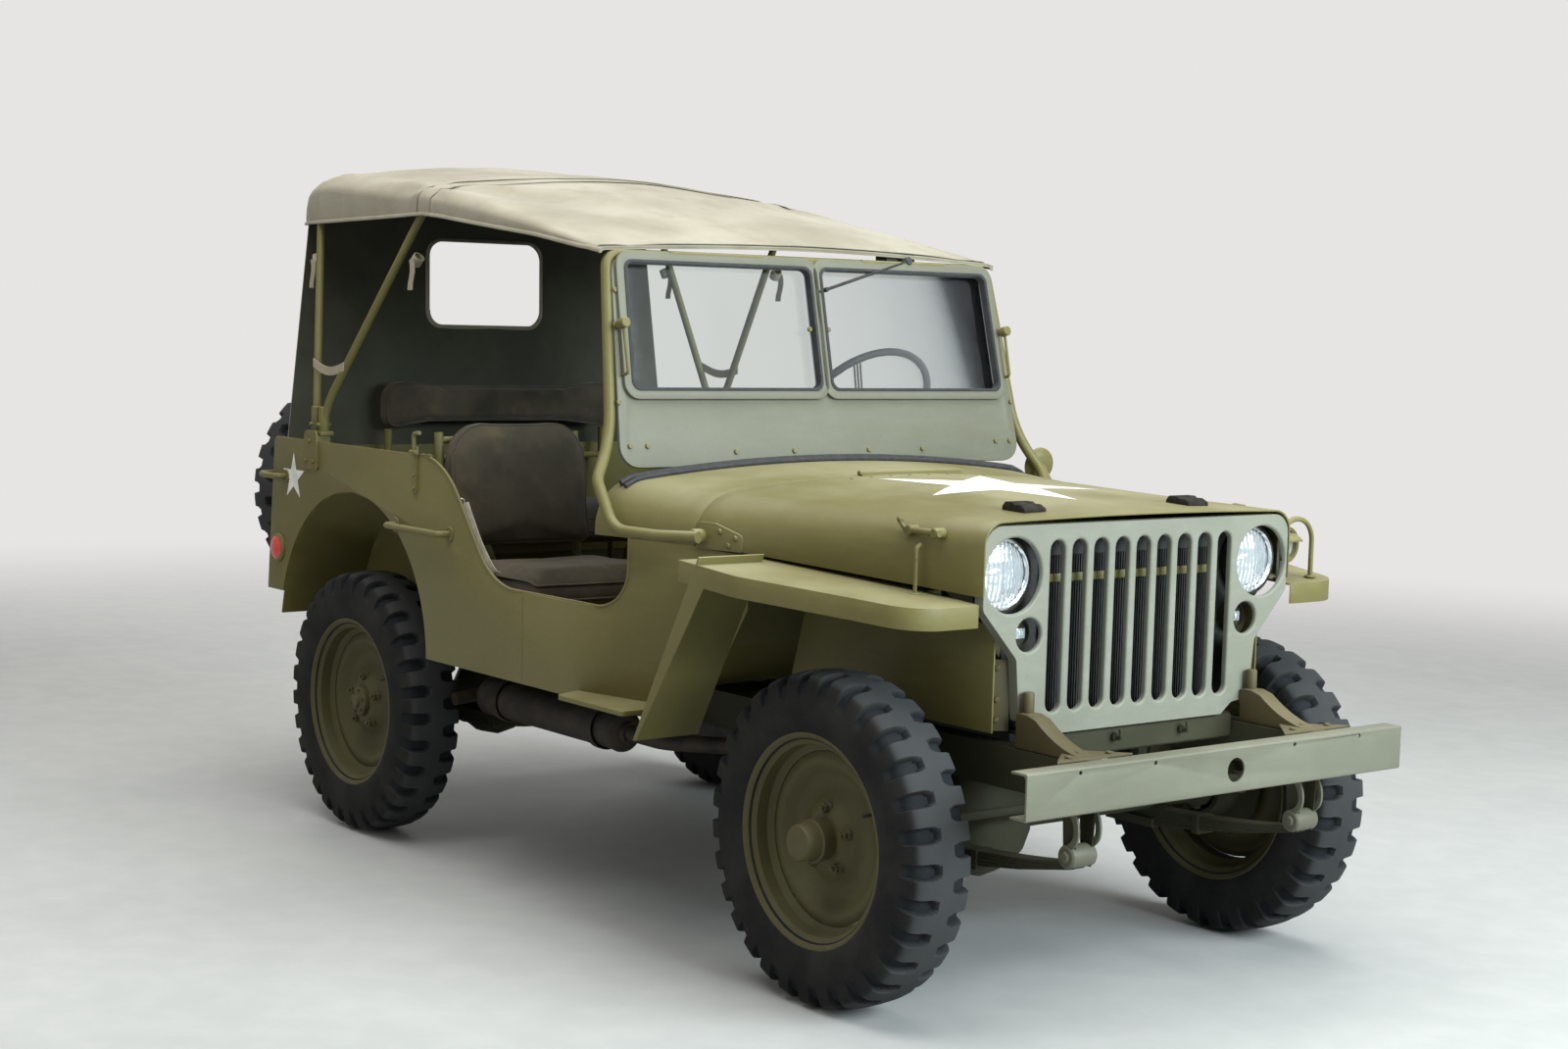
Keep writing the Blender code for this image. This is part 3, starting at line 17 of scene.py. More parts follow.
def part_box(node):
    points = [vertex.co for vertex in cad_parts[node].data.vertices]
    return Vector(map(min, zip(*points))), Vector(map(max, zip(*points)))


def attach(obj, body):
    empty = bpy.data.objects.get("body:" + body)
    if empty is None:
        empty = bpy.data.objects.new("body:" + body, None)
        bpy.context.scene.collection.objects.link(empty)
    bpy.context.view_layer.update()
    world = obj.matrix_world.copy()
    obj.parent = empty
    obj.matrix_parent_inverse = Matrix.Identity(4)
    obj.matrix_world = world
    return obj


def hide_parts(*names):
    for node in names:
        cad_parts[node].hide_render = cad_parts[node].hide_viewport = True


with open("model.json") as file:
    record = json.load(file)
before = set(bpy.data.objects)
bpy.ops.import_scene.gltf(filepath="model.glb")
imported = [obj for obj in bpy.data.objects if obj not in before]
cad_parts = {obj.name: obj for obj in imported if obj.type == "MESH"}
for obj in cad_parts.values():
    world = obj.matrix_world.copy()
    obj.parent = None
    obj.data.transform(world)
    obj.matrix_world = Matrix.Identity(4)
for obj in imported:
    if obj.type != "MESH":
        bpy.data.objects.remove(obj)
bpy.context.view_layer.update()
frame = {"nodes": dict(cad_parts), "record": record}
NODES = frame["nodes"]

# %% [markdown]
# ## Where things are
# All sizes below count from the point midway between the axles, because a car is drawn that way.
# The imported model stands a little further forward, so every finished piece is moved by MIDDLE_X.

# %% Sizes read from the solids
def centre_of(name):
    low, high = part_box(name)
    return (low + high) / 2


def corner(name, high=True):
    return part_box(name)[1 if high else 0]


MIDDLE_X = round((centre_of("tyre_front_left").x + centre_of("tyre_rear_left").x) / 2, 4)
AXLE_X = centre_of("tyre_front_left").x - MIDDLE_X
WHEEL_Z = round(centre_of("wheel_front_left").z, 4)
TRACK_HALF = round((corner("tyre_front_left").y + corner("tyre_front_left", False).y) / 2, 4)
SIDES = {"right": -1, "left": 1}
SHEET = 0.004
print("middle", MIDDLE_X, "axle", round(AXLE_X, 4), "wheel height", WHEEL_Z, "half track", TRACK_HALF)

# %% [markdown]
# ## The camera
# It stands where the photographer stood, a little above bonnet height in front of the car's right
# corner. Its place and lens were worked out from the outlines of the wheels.

# %% Camera
CAMERA_PLACE = Vector((4.913 + MIDDLE_X, -3.835, 1.468))
YAW, PITCH, ROLL = (math.radians(angle) for angle in (141.92, -5.08, 1.64))
LENS = 55.67


def camera_matrix():
    forward = Vector((math.cos(PITCH) * math.cos(YAW), math.cos(PITCH) * math.sin(YAW), math.sin(PITCH)))
    level = Vector((math.sin(YAW), -math.cos(YAW), 0))
    up = level.cross(forward)
    right = level * math.cos(ROLL) + up * math.sin(ROLL)
    top = up * math.cos(ROLL) - level * math.sin(ROLL)
    turn = Matrix((right, top, -forward)).transposed().to_4x4()
    return Matrix.Translation(CAMERA_PLACE) @ turn


lens = bpy.data.cameras.new("camera")
lens.lens = LENS
lens.sensor_width = 36
camera = bpy.data.objects.new("camera", lens)
camera.matrix_world = camera_matrix()
bpy.context.scene.collection.objects.link(camera)
bpy.context.scene.camera = camera
bpy.context.scene.view_settings.view_transform = "Standard"
print("camera at", [round(v, 2) for v in CAMERA_PLACE])

# %% [markdown]
# ## Writing shaders as sums
# A node tree for used paint has dozens of Math nodes. Wrapping a socket in a small class lets
# Python's own operators add them, so a mask reads as one line of arithmetic.

# %% Shader helpers
class Wire:
    """An output socket; + - and * on wires add Math nodes."""

    def __init__(self, tree, socket):
        self.tree = tree
        self.socket = socket

    def math(self, operation, *values, clamp=False):
        return node(self.tree, "Math", {"operation": operation, "use_clamp": clamp}, *values)

    def __add__(self, other):
        return self.math("ADD", self, other)

    def __sub__(self, other):
        return self.math("SUBTRACT", self, other)

    def __rsub__(self, other):
        return self.math("SUBTRACT", other, self)

    def __mul__(self, other):
        return self.math("MULTIPLY", self, other)

    __radd__ = __add__
    __rmul__ = __mul__

    def clamped(self):
        return self.math("MULTIPLY", self, 1.0, clamp=True)

    def between(self, low, high):
        # 0 below low, 1 above high, smooth in between
        settings = {"interpolation_type": "SMOOTHSTEP"}
        return node(self.tree, "MapRange", settings, self, low, high, 0.0, 1.0)


def put(tree, socket, value):
    if isinstance(value, Wire):
        tree.links.new(value.socket, socket)
    elif value is not None:
        socket.default_value = value


def node(tree, kind, settings, *values, output=0, **named):
    made = tree.nodes.new("ShaderNode" + kind)
    for key, value in settings.items():
        if key == "stops":
            ramp = made.color_ramp.elements
            ramp[0].position, ramp[0].color = value[0]
            ramp[1].position, ramp[1].color = value[-1]
            for place, colour in value[1:-1]:
                ramp.new(place).color = colour
        else:
            setattr(made, key, value)
    for socket, value in zip(made.inputs, values):
        put(tree, socket, value)
    for name, value in named.items():
        put(tree, made.inputs[name.replace("_", " ")], value)
    return Wire(tree, made.outputs[output])


def mixed(factor, one, two):
    # Two colours by a mask; a plain colour is a tuple of three
    tree = factor.tree
    made = tree.nodes.new("ShaderNodeMix")
    made.data_type = "RGBA"
    put(tree, made.inputs[0], factor)
    for index, colour in ((6, one), (7, two)):
        put(tree, made.inputs[index], (*colour, 1.0) if isinstance(colour, tuple) else colour)
    return Wire(tree, made.outputs[2])


class Finish:
    """A material with its Principled shader and the noises that most finishes share."""

    def __init__(self, name, roughness=0.6, metallic=0.0, **constants):
        self.material = bpy.data.materials.new(name)
        self.material.use_nodes = True
        self.tree = self.material.node_tree
        self.shader = self.tree.nodes["Principled BSDF"]
        self.set(Roughness=roughness, Metallic=metallic, **constants)
        self.place = node(self.tree, "TexCoord", {}, output=3)

    def set(self, **values):
        for name, value in values.items():
            name = name.replace("_", " ")
            value = (*value, 1.0) if name.endswith("Color") and isinstance(value, tuple) else value
            put(self.tree, self.shader.inputs[name], value)

    def noise(self, scale, detail=4.0, rough=0.55, stretch=None):
        place = self.place
        if stretch:
            place = node(self.tree, "Mapping", {"vector_type": "POINT"}, place, Scale=stretch)
        settings = {"noise_dimensions": "3D"}
        return node(self.tree, "TexNoise", settings, Vector=place, Scale=scale, Detail=detail, Roughness=rough)

    def along(self, axis):
        index = "XYZ".index(axis)
        return node(self.tree, "SeparateXYZ", {}, self.place, output=index)

    def facing(self, axis):
        geometry = node(self.tree, "NewGeometry", {}, output=1)
        return node(self.tree, "SeparateXYZ", {}, geometry, output="XYZ".index(axis))

    def bump(self, height, strength, distance):
        normal = node(self.tree, "Bump", {}, Strength=strength, Distance=distance, Height=height)
        self.set(Normal=normal)


print("shader helpers ready")

# %% [markdown]
# ## Olive paint
# Army paint is matt and never even: it was brushed and sprayed again and again. Three noises of
# different size give broad fading, fine speckle and short streaks, and the paint darkens in streaks
# towards the bottom. Surfaces that look up get a breath of pale dust that is partly painted light:
# it makes the tops lighter, as the light from above would. The same recipe serves the body and,
# darker, the parts underneath.

# %% Olive paint
def olive(name, base, light, dust_and_top_light, roughness=0.50, dust_and_top_light_share=0.35, shine=0.4):
    paint = Finish(name, roughness, Specular_IOR_Level=shine)
    broad = paint.noise(2.3, 5.0)
    speck = paint.noise(160.0, 2.0)
    streak = paint.noise(14.0, 6.0, 0.6, (1.0, 1.0, 4.0))
    shade = (broad.between(0.32, 0.72) * 0.65 + streak.between(0.45, 0.75) * 0.35).clamped()
    colour = mixed(shade, base, light)
    # Darker in streaks towards the bottom
    low_streak_darkening = ((0.55 - paint.along("Z")).between(0.0, 0.55) * streak.between(0.35, 0.65)).clamped()
    colour = mixed(low_streak_darkening * 0.45, colour, tuple(0.62 * c for c in base))
    # Up-facing surfaces get pale dust, partly painted light that makes the tops lighter as light from above would
    dust_and_top_light_mask = paint.facing("Z").between(0.45, 0.95) * broad.between(0.30, 0.70)
    colour = mixed(dust_and_top_light_mask * dust_and_top_light_share, colour, dust_and_top_light)
    colour = mixed(speck.between(0.58, 0.74) * 0.22, colour, tuple(0.55 * c for c in base))
    paint.set(Base_Color=colour, Roughness=streak * 0.20 + (roughness - 0.08) + dust_and_top_light_mask * 0.08)
    paint.bump(speck * 0.35 + paint.noise(38.0, 3.0) * 0.65, 0.10, 0.0012)
    return paint.material


BODY_PAINT = olive("olive_body", (0.120, 0.104, 0.028), (0.160, 0.143, 0.048), (0.350, 0.335, 0.225))
DARK_PAINT = olive("olive_chassis", (0.034, 0.034, 0.019), (0.052, 0.050, 0.029), (0.085, 0.078, 0.052), 0.66, 0.35,
                   0.15)
HUB_PAINT = olive("olive_hub", (0.062, 0.052, 0.020), (0.090, 0.078, 0.034), (0.100, 0.088, 0.052), 0.48, 0.35, 0.25)
# A lighter, greyer copy of the body's paint for the bumper and windscreen frame, which face the front: painted light
# and sheen from the cool front light
FRONT_LIT_PAINT = olive("olive_front_painted_light", (0.124, 0.124, 0.086), (0.160, 0.160, 0.116), (0.300, 0.292, 0.222))
# Lighter still for the grille's face: painted light and sheen from the cool front light
GRILLE_LIT_PAINT = olive("olive_grille_painted_light", (0.180, 0.186, 0.142), (0.235, 0.242, 0.190), (0.330, 0.325, 0.260))
HORN_PAINT = olive("olive_rail_end", (0.070, 0.056, 0.022), (0.100, 0.082, 0.036), (0.180, 0.150, 0.085), 0.58)
SHACKLE_PAINT = olive("olive_shackle", (0.085, 0.083, 0.055), (0.120, 0.117, 0.080), (0.160, 0.155, 0.110), 0.5)
# The body's paint made darker for the wheel discs, which are recessed and face down: painted shade
WHEEL_SHADED_PAINT = olive("olive_wheel", (0.066, 0.059, 0.024), (0.092, 0.083, 0.037), (0.130, 0.118, 0.070), 0.55, 0.35,
                    0.2)
print("paints", BODY_PAINT.name, DARK_PAINT.name, HUB_PAINT.name, WHEEL_SHADED_PAINT.name)

# %% [markdown]
# ## Rubber, canvas and other finishes
# Each finish has what tells it from the others at arm's length: the tread's grey dust, the
# canvas's plain weave, the worn brown patches on the seats, rust on the silencer. Weaves are two
# crossed wave textures, one for each thread direction.

# %% Rubber
def rubber():
    tyre = Finish("tyre_rubber", 0.78, Specular_IOR_Level=0.10)
    cloud = tyre.noise(9.0, 5.0)
    fine = tyre.noise(140.0, 3.0)
    colour = mixed(cloud.between(0.3, 0.7), (0.012, 0.012, 0.012), (0.024, 0.023, 0.022))
    worn = node(tyre.tree, "VertexColor", {"layer_name": "tread"}, output=0)
    colour = mixed((worn * (cloud * 0.5 + 0.55)).clamped(), colour, (0.044, 0.046, 0.046))
    groove = node(tyre.tree, "VertexColor", {"layer_name": "groove"}, output=0)
    colour = mixed(groove * 0.75, colour, (0.013, 0.016, 0.019))
    colour = mixed(fine.between(0.55, 0.7) * 0.25, colour, (0.042, 0.040, 0.038))
    tyre.set(Base_Color=colour, Roughness=fine * 0.18 + 0.68)
    tyre.bump(fine, 0.12, 0.001)
    return tyre.material


RUBBER = rubber()


# %% Canvas, seat cloth and webbing
def weave(cloth, scale, axes="XY"):
    # Two sets of threads over the piece's own coordinates
    waves = []
    for axis in axes:
        settings = {"wave_type": "BANDS", "bands_direction": axis, "wave_profile": "SIN"}
        waves.append(node(cloth.tree, "TexWave", settings, Vector=cloth.place, Scale=scale, output=1))
    return waves[0] * 0.5 + waves[1] * 0.5


def canvas(name, base, light, stain, scale=210.0, axes="XY"):
    cloth = Finish(name, 0.92, Sheen_Weight=0.15, Sheen_Roughness=0.5, Specular_IOR_Level=0.2)
    broad = cloth.noise(3.1, 6.0, 0.6)
    blotch = cloth.noise(11.0, 5.0, 0.6)
    slub = cloth.noise(60.0, 3.0, 0.5, (0.25, 2.5, 2.5))
    threads = weave(cloth, scale, axes)
    colour = mixed(broad.between(0.35, 0.68), base, light)
    colour = mixed(blotch.between(0.50, 0.78) * 0.40, colour, stain)
    colour = mixed(slub.between(0.55, 0.8) * 0.22, colour, tuple(0.70 * c for c in base))
    cloth.set(Base_Color=colour)
    cloth.bump(threads * 0.6 + slub * 0.4, 0.30, 0.0012)
    return cloth.material


CANVAS_OUT = canvas("canvas_outside", (0.225, 0.202, 0.139), (0.312, 0.286, 0.214), (0.155, 0.134, 0.085))
# The same canvas made far darker for the faces that look into the cab: painted shade under the top
CANVAS_INSIDE_SHADED = canvas("canvas_inside_painted_shade", (0.042, 0.042, 0.028), (0.062, 0.061, 0.042), (0.032, 0.031, 0.021))
SEAT_CLOTH = canvas("seat_cloth", (0.040, 0.034, 0.024), (0.088, 0.070, 0.046), (0.155, 0.110, 0.058), 260.0, "YZ")
CUSHION_CLOTH = canvas("cushion_cloth", (0.072, 0.060, 0.040), (0.135, 0.108, 0.070), (0.205, 0.145, 0.078), 260.0)
WEBBING = canvas("webbing", (0.30, 0.26, 0.17), (0.42, 0.37, 0.26), (0.22, 0.18, 0.11), 320.0)
print("cloths ready")


# %% Metals, glass and small finishes
def plain(name, base, light, roughness, metallic=0.0, scale=30.0, depth=0.15, **constants):
    finish = Finish(name, roughness, metallic, **constants)
    cloud = finish.noise(scale, 5.0)
    finish.set(Base_Color=mixed(cloud.between(0.35, 0.7), base, light))
    finish.set(Roughness=cloud * 0.25 + (roughness - 0.12))
    finish.bump(finish.noise(scale * 5, 3.0), depth, 0.0008)
    return finish.material


SOOT = plain("silencer_steel", (0.014, 0.011, 0.008), (0.040, 0.030, 0.018), 0.66, 0.30, 18.0, 0.4)
IRON = plain("dark_iron", (0.020, 0.020, 0.019), (0.045, 0.043, 0.038), 0.60, 0.3)
STEEL = plain("bare_steel", (0.30, 0.29, 0.26), (0.45, 0.44, 0.41), 0.38, 0.9, 60.0)
BRIGHT = plain("bright_metal", (0.75, 0.76, 0.77), (0.86, 0.87, 0.88), 0.16, 1.0, 40.0, 0.03)
GASKET = plain("black_rubber_seal", (0.012, 0.012, 0.013), (0.028, 0.028, 0.028), 0.70, 0.0, 50.0)
WOOD = plain("dark_wood_block", (0.012, 0.010, 0.008), (0.030, 0.026, 0.020), 0.70, 0.0, 45.0, 0.5,
             Specular_IOR_Level=0.12)
WHITE = plain("white_paint", (0.62, 0.61, 0.56), (0.76, 0.75, 0.71), 0.55, 0.0, 22.0)
CORE = plain("radiator_core", (0.008, 0.008, 0.008), (0.022, 0.021, 0.019), 0.55, 0.2, 90.0)
RED_LENS = plain("red_reflector", (0.50, 0.015, 0.008), (0.75, 0.035, 0.015), 0.22, 0.0, 20.0, 0.1, Coat_Weight=0.6)
STRAP = plain("strap_white", (0.50, 0.46, 0.36), (0.66, 0.62, 0.52), 0.85, 0.0, 60.0, 0.4)


def clear_glass(name, tint, gloss):
    # A pane is mostly see-through, with a reflection that grows towards a glancing angle
    made = bpy.data.materials.new(name)
    made.use_nodes = True
    tree = made.node_tree
    tree.nodes.remove(tree.nodes["Principled BSDF"])
    fresnel = node(tree, "Fresnel", {}, 1.45)
    geometry = node(tree, "TexCoord", {}, output=3)
    smear = node(tree, "TexNoise", {}, Vector=geometry, Scale=5.0, Detail=5.0)
    through = node(tree, "BsdfTransparent", {}, (*tint, 1.0))
    shine = node(tree, "BsdfGlossy", {}, (0.95, 0.97, 0.98, 1.0), 0.03)
    share = (fresnel * gloss + smear.between(0.45, 0.8) * 0.05).clamped()
    both = tree.nodes.new("ShaderNodeMixShader")
    put(tree, both.inputs[0], share)
    put(tree, both.inputs[1], through)
    put(tree, both.inputs[2], shine)
    tree.links.new(both.outputs[0], tree.nodes["Material Output"].inputs[0])
    return made


PANE = clear_glass("window_pane", (0.93, 0.96, 0.95), 1.6)
print("small finishes ready")

# %% [markdown]
# ## Shapes from sections
# Pressed sheet metal, tubes and turned parts all come from a few moves: join rings of points,
# push an outline along an axis, spin a profile, or run a circle along a path. Each helper returns
# a bmesh, and `piece` turns it into a finished object on one of the car's bodies.

# %% Shape helpers
def outward(form):
    bmesh.ops.recalc_face_normals(form, faces=form.faces)
    return form


def points_in(form, rings):
    return [[form.verts.new(point) for point in ring] for ring in rings]


def bridge(form, loops):
    # Four-sided faces between each ring and the next
    count = len(loops[0])
    for one, two in zip(loops, loops[1:]):
        for i in range(count):
            j = (i + 1) % count
            form.faces.new((one[i], one[j], two[j], two[i]))


def loft(rings, closed_ends=True):
    form = bmesh.new()
    loops = points_in(form, rings)
    bridge(form, loops)
    if closed_ends:
        form.faces.new(loops[0])
        form.faces.new(loops[-1])
    return outward(form)


def prism(outline, axis, start, end):
    order = {"x": (2, 0, 1), "y": (0, 2, 1), "z": (0, 1, 2)}[axis]
    rings = []
    for distance in (start, end):
        rings.append([tuple((a, b, distance)[k] for k in order) for a, b in outline])
    return loft(rings)


def box(x, y, z):
    return prism([(x[0], y[0]), (x[1], y[0]), (x[1], y[1]), (x[0], y[1])], "z", z[0], z[1])


def aim(axis):
    return Vector((0, 0, 1)).rotation_difference(Vector(axis)).to_matrix().to_4x4()


def turned(profile, centre, axis, steps):
    form = bmesh.new()
    rings = []
    for radius, along in profile:
        count = steps if radius > 0 else 1
        ring = []
        for k in range(count):
            angle = 2 * math.pi * (k + 0.5) / steps
            ring.append(form.verts.new((radius * math.cos(angle), radius * math.sin(angle), along)))
        rings.append(ring)
    pairs = list(zip(rings, rings[1:]))
    if profile[0][0] > 0:
        pairs.append((rings[-1], rings[0]))
    for one, two in pairs:
        for k in range(steps):
            n = (k + 1) % steps
            corners = (one[k % len(one)], one[n % len(one)], two[n % len(two)], two[k % len(two)])
            form.faces.new(list(dict.fromkeys(corners)))
    bmesh.ops.transform(form, matrix=Matrix.Translation(centre) @ aim(axis), verts=form.verts)
    return outward(form)


def rod(start, end, radius, steps=16):
    start = Vector(start)
    run = Vector(end) - start
    lip = min(radius * 0.18, run.length * 0.3)
    profile = [(0, 0), (radius - lip, 0), (radius, lip), (radius, run.length - lip), (radius - lip, run.length),
               (0, run.length)]
    return turned(profile, start, run, steps)


def filleted(corners, steps=6, closed=True):
    # Each corner is a point and the radius that rounds it
    flat = len(corners[0][0]) == 2
    points = [Vector((*p, 0)) if flat else Vector(p) for p, _ in corners]
    result = []
    for i, (_, radius) in enumerate(corners):
        point = points[i]
        end = not closed and i in (0, len(points) - 1)
        if end or radius == 0:
            result.append(point)
            continue
        back = (points[i - 1] - point).normalized()
        ahead = (points[(i + 1) % len(points)] - point).normalized()
        half = back.angle(ahead) / 2
        centre = point + (back + ahead).normalized() * radius / math.sin(half)
        first = (point + back * radius / math.tan(half) - centre).normalized()
        last = (point + ahead * radius / math.tan(half) - centre).normalized()
        for k in range(steps + 1):
            result.append(centre + first.slerp(last, k / steps) * radius)
    return [tuple(p[:2]) if flat else tuple(p) for p in result]


def tube(path, radius, steps=14, flatten=1.0):
    points = [Vector(p) for p in path]
    ways = [(b - a).normalized() for a, b in zip(points, points[1:])]
    side = ways[0].orthogonal().normalized()
    rings = []
    for i, point in enumerate(points):
        way = (ways[max(i - 1, 0)] + ways[min(i, len(ways) - 1)]).normalized()
        side = (side - way * side.dot(way)).normalized()
        other = way.cross(side) * flatten
        ring = []
        for k in range(steps):
            angle = 2 * math.pi * k / steps
            ring.append(tuple(point + (side * math.cos(angle) + other * math.sin(angle)) * radius))
        rings.append(ring)
    return loft(rings)


def bent(corners, fillet_steps, radius, steps, flatten=1.0):
    # A tube along straight lines whose corners are rounded
    return tube(filleted(corners, fillet_steps, False), radius, steps, flatten)


def thick_line(path, thickness):
    points = [Vector(p) for p in path]
    ways = [(b - a).normalized() for a, b in zip(points, points[1:])]
    inner = []
    for i, point in enumerate(points):
        one = ways[max(i - 1, 0)]
        two = ways[min(i, len(ways) - 1)]
        normal = Vector((-one.y - two.y, one.x + two.x)).normalized()
        reach = thickness / max(normal.dot(Vector((-one.y, one.x))), 0.5)
        inner.append(tuple(point + normal * reach))
    return [tuple(p) for p in points] + inner[::-1]


def arc(centre, radius, start, end, steps):
    outline = []
    for k in range(steps + 1):
        angle = math.radians(start + (end - start) * k / steps)
        outline.append((centre[0] + radius * math.cos(angle), centre[1] + radius * math.sin(angle)))
    return outline


def slot_outline(centre, width, low, high, steps=8):
    half = width / 2
    return arc((centre, high - half), half, 0, 180, steps) + arc((centre, low + half), half, 180, 360, steps)


def sided(form, side):
    # Drawn on the car's left; side -1 turns it into its mirror image
    bmesh.ops.scale(form, vec=(1, side, 1), verts=form.verts)
    return outward(form)


def joined(forms):
    # Several closed shapes in one mesh, laid together and not cut
    whole = bmesh.new()
    for form in forms:
        mesh = bpy.data.meshes.new("form")
        form.to_mesh(mesh)
        form.free()
        whole.from_mesh(mesh)
        bpy.data.meshes.remove(mesh)
    return whole


def boolean(forms, cuts=(), common=()):
    parts = []
    for form in [*forms, *cuts, *common]:
        parts.append(object_of(form, "form"))
    base = parts[0]
    kinds = ["UNION"] * (len(forms) - 1) + ["DIFFERENCE"] * len(cuts) + ["INTERSECT"] * len(common)
    for part, kind in zip(parts[1:], kinds):
        step = base.modifiers.new("step", "BOOLEAN")
        step.solver = "EXACT"
        step.operation = kind
        step.object = part
    result = bmesh.new()
    seen = base.evaluated_get(bpy.context.evaluated_depsgraph_get())
    result.from_mesh(seen.to_mesh())
    seen.to_mesh_clear()
    for part in parts:
        bpy.data.objects.remove(part, do_unlink=True)
    bmesh.ops.remove_doubles(result, verts=result.verts, dist=0.000002)
    return result


SLOTS = {part["node"]: part["material_slot"] for part in frame["record"]["subparts"]}
COUNTS = {}


def object_of(form, name):
    mesh = bpy.data.meshes.new(name)
    form.to_mesh(mesh)
    form.free()
    made = bpy.data.objects.new(name, mesh)
    bpy.context.scene.collection.objects.link(made)
    return made


def piece(name, form, material=BODY_PAINT, slot="olive_drab", body="chassis", bevel=0.0, sharp=35, stands_for=(),
          extra=()):
    # The form is drawn about the point between the axles; here it moves to its place
    bmesh.ops.remove_doubles(form, verts=form.verts, dist=0.000005)
    bmesh.ops.translate(form, vec=(MIDDLE_X, 0, 0), verts=form.verts)
    made = object_of(form, name)
    if bevel:
        edge = made.modifiers.new("edge", "BEVEL")
        edge.width = bevel
        edge.segments = 2
        edge.limit_method = "ANGLE"
        edge.angle_limit = math.radians(40)
        made = plain_copy(made)
    made.data.materials.clear()
    for each in (material, *extra):
        made.data.materials.append(each)
    made.data.shade_smooth()
    made.data.set_sharp_from_angle(angle=math.radians(sharp))
    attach(made, body)
    if stands_for:
        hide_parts(*stands_for)
    COUNTS[name] = sum(len(face.vertices) - 2 for face in made.data.polygons)
    return made


def pair(stem, make, *finish, stands_for="", **settings):
    # The same piece on both sides; make gets -1 for the right side and 1 for the left
    for name, side in SIDES.items():
        whom = (f"{stands_for}_{name}",) if stands_for else ()
        piece(f"{stem}_{name}", make(side), *finish, stands_for=whom, **settings)


def plain_copy(made):
    # What the modifiers make, as a plain mesh under the same name
    name = made.name
    seen = made.evaluated_get(bpy.context.evaluated_depsgraph_get())
    mesh = bpy.data.meshes.new_from_object(seen)
    bpy.data.objects.remove(made, do_unlink=True)
    mesh.name = name
    fresh = bpy.data.objects.new(name, mesh)
    bpy.context.scene.collection.objects.link(fresh)
    return fresh


def smooth_curve(points, steps=6):
    # A rounded line through a few points, for profiles and paths
    points = [Vector(p) for p in points]
    result = []
    for i in range(len(points) - 1):
        before = points[max(i - 1, 0)]
        one, two = points[i], points[i + 1]
        after = points[min(i + 2, len(points) - 1)]
        for k in range(steps):
            t = k / steps
            value = (2 * one + (two - before) * t + (2 * before - 5 * one + 4 * two - after) * t * t
                     + (3 * one - before - 3 * two + after) * t ** 3) * 0.5
            result.append(tuple(value))
    result.append(tuple(points[-1]))
    return result


print("shape helpers ready")

# %% [markdown]
# ## The tub's sides
# The tub is folded from flat sheet. Its side has a scooped door opening, a round wheel arch and a
# seam where the front quarter is spot-welded on. An outline with rounded corners is cut out of a
# strip that bends inwards towards the cowl, and a narrow bevel catches light along every edge.

# %% Side panels
BODY_HALF, TUB_TOP, SILL = 0.710, 1.065, 0.536
TAPER_START, TAPER_END, TAPER_HALF = 0.150, 0.700, 0.5826
REAR_TOP_X, REAR_LOW_X, REAR_SILL = -1.452, -1.485, 0.625
ARCH_X, ARCH_Z, ARCH_RADIUS = -0.985, 0.520, 0.418
SHOULDER = 0.930
HOOD_REAR, HOOD_FRONT = 0.4985, 1.288
SHEET_BEVEL, THIN_BEVEL = 0.0012, 0.0008


def side_half(x):
    if x <= TAPER_START:
        return BODY_HALF
    return BODY_HALF + (TAPER_HALF - BODY_HALF) * (x - TAPER_START) / (TAPER_END - TAPER_START)


def fender_top(x):
    return 0.920 - 0.070 * (x - 0.65)


def leg_x(z):
    return 0.497 + 0.221 * (z - 0.499) / (fender_top(0.718) - 0.499)


DOOR_EDGE = [((-0.497, TUB_TOP), 0.26), ((-0.2455, 0.762), 0.22), ((0.300, 0.762), 0.095), ((0.300, SHOULDER), 0)]


def side_panel(side):
    front_angle = math.degrees(math.asin((SILL - ARCH_Z) / ARCH_RADIUS))
    rear_angle = 180 - math.degrees(math.asin((REAR_SILL - ARCH_Z) / ARCH_RADIUS))
    corners = [((REAR_LOW_X, REAR_SILL), 0), ((REAR_TOP_X, TUB_TOP), 0.02), *DOOR_EDGE,
               ((HOOD_REAR - 0.002, SHOULDER), 0), ((HOOD_REAR, SHOULDER - 0.003), 0), ((0.653, 0.918), 0),
               ((0.653, 0.797), 0), ((leg_x(SILL) - 0.0006, SILL), 0)]
    outline = filleted(corners, 14) + arc((ARCH_X, ARCH_Z), ARCH_RADIUS, front_angle, rear_angle, 48)
    bend = [(REAR_LOW_X - 0.05, BODY_HALF), (0.10, BODY_HALF)]
    bend += [(x, side_half(x) - 0.0012 * max(0, 1 - abs(x - 0.15) / 0.04)) for x in (0.13, 0.15, 0.17, 0.20, 0.72)]
    strip = prism(thick_line(bend[::-1], SHEET), "z", 0.4, 1.2)
    wall = boolean([prism(outline, "y", 0.5, 0.8)], common=[strip])
    step = filleted([((0.150, BODY_HALF - 0.003), 0), ((0.450, side_half(0.450) - 0.003), 0), ((0.450, 0.787), 0.012),
                     ((0.180, 0.787), 0.020)], 5)
    return joined([sided(wall, side), sided(prism(step, "z", 0.5445, 0.556), side)])


pair("side_panel", side_panel, bevel=SHEET_BEVEL, stands_for="side_panel")
print("tub sides", COUNTS["side_panel_left"], "triangles each")

# %% [markdown]
# ## Handles, bow sockets and reinforced edges
# Bent rods, thin straps and rivets show that the tub is a working vehicle. They are swept along
# short paths and lie on the panel with a small foot plate at each end.

# %% Handles and edge trim
HANDLE_OUT, HANDLE_ROD, HANDLE_BEND = 0.034, 0.0085, 0.014


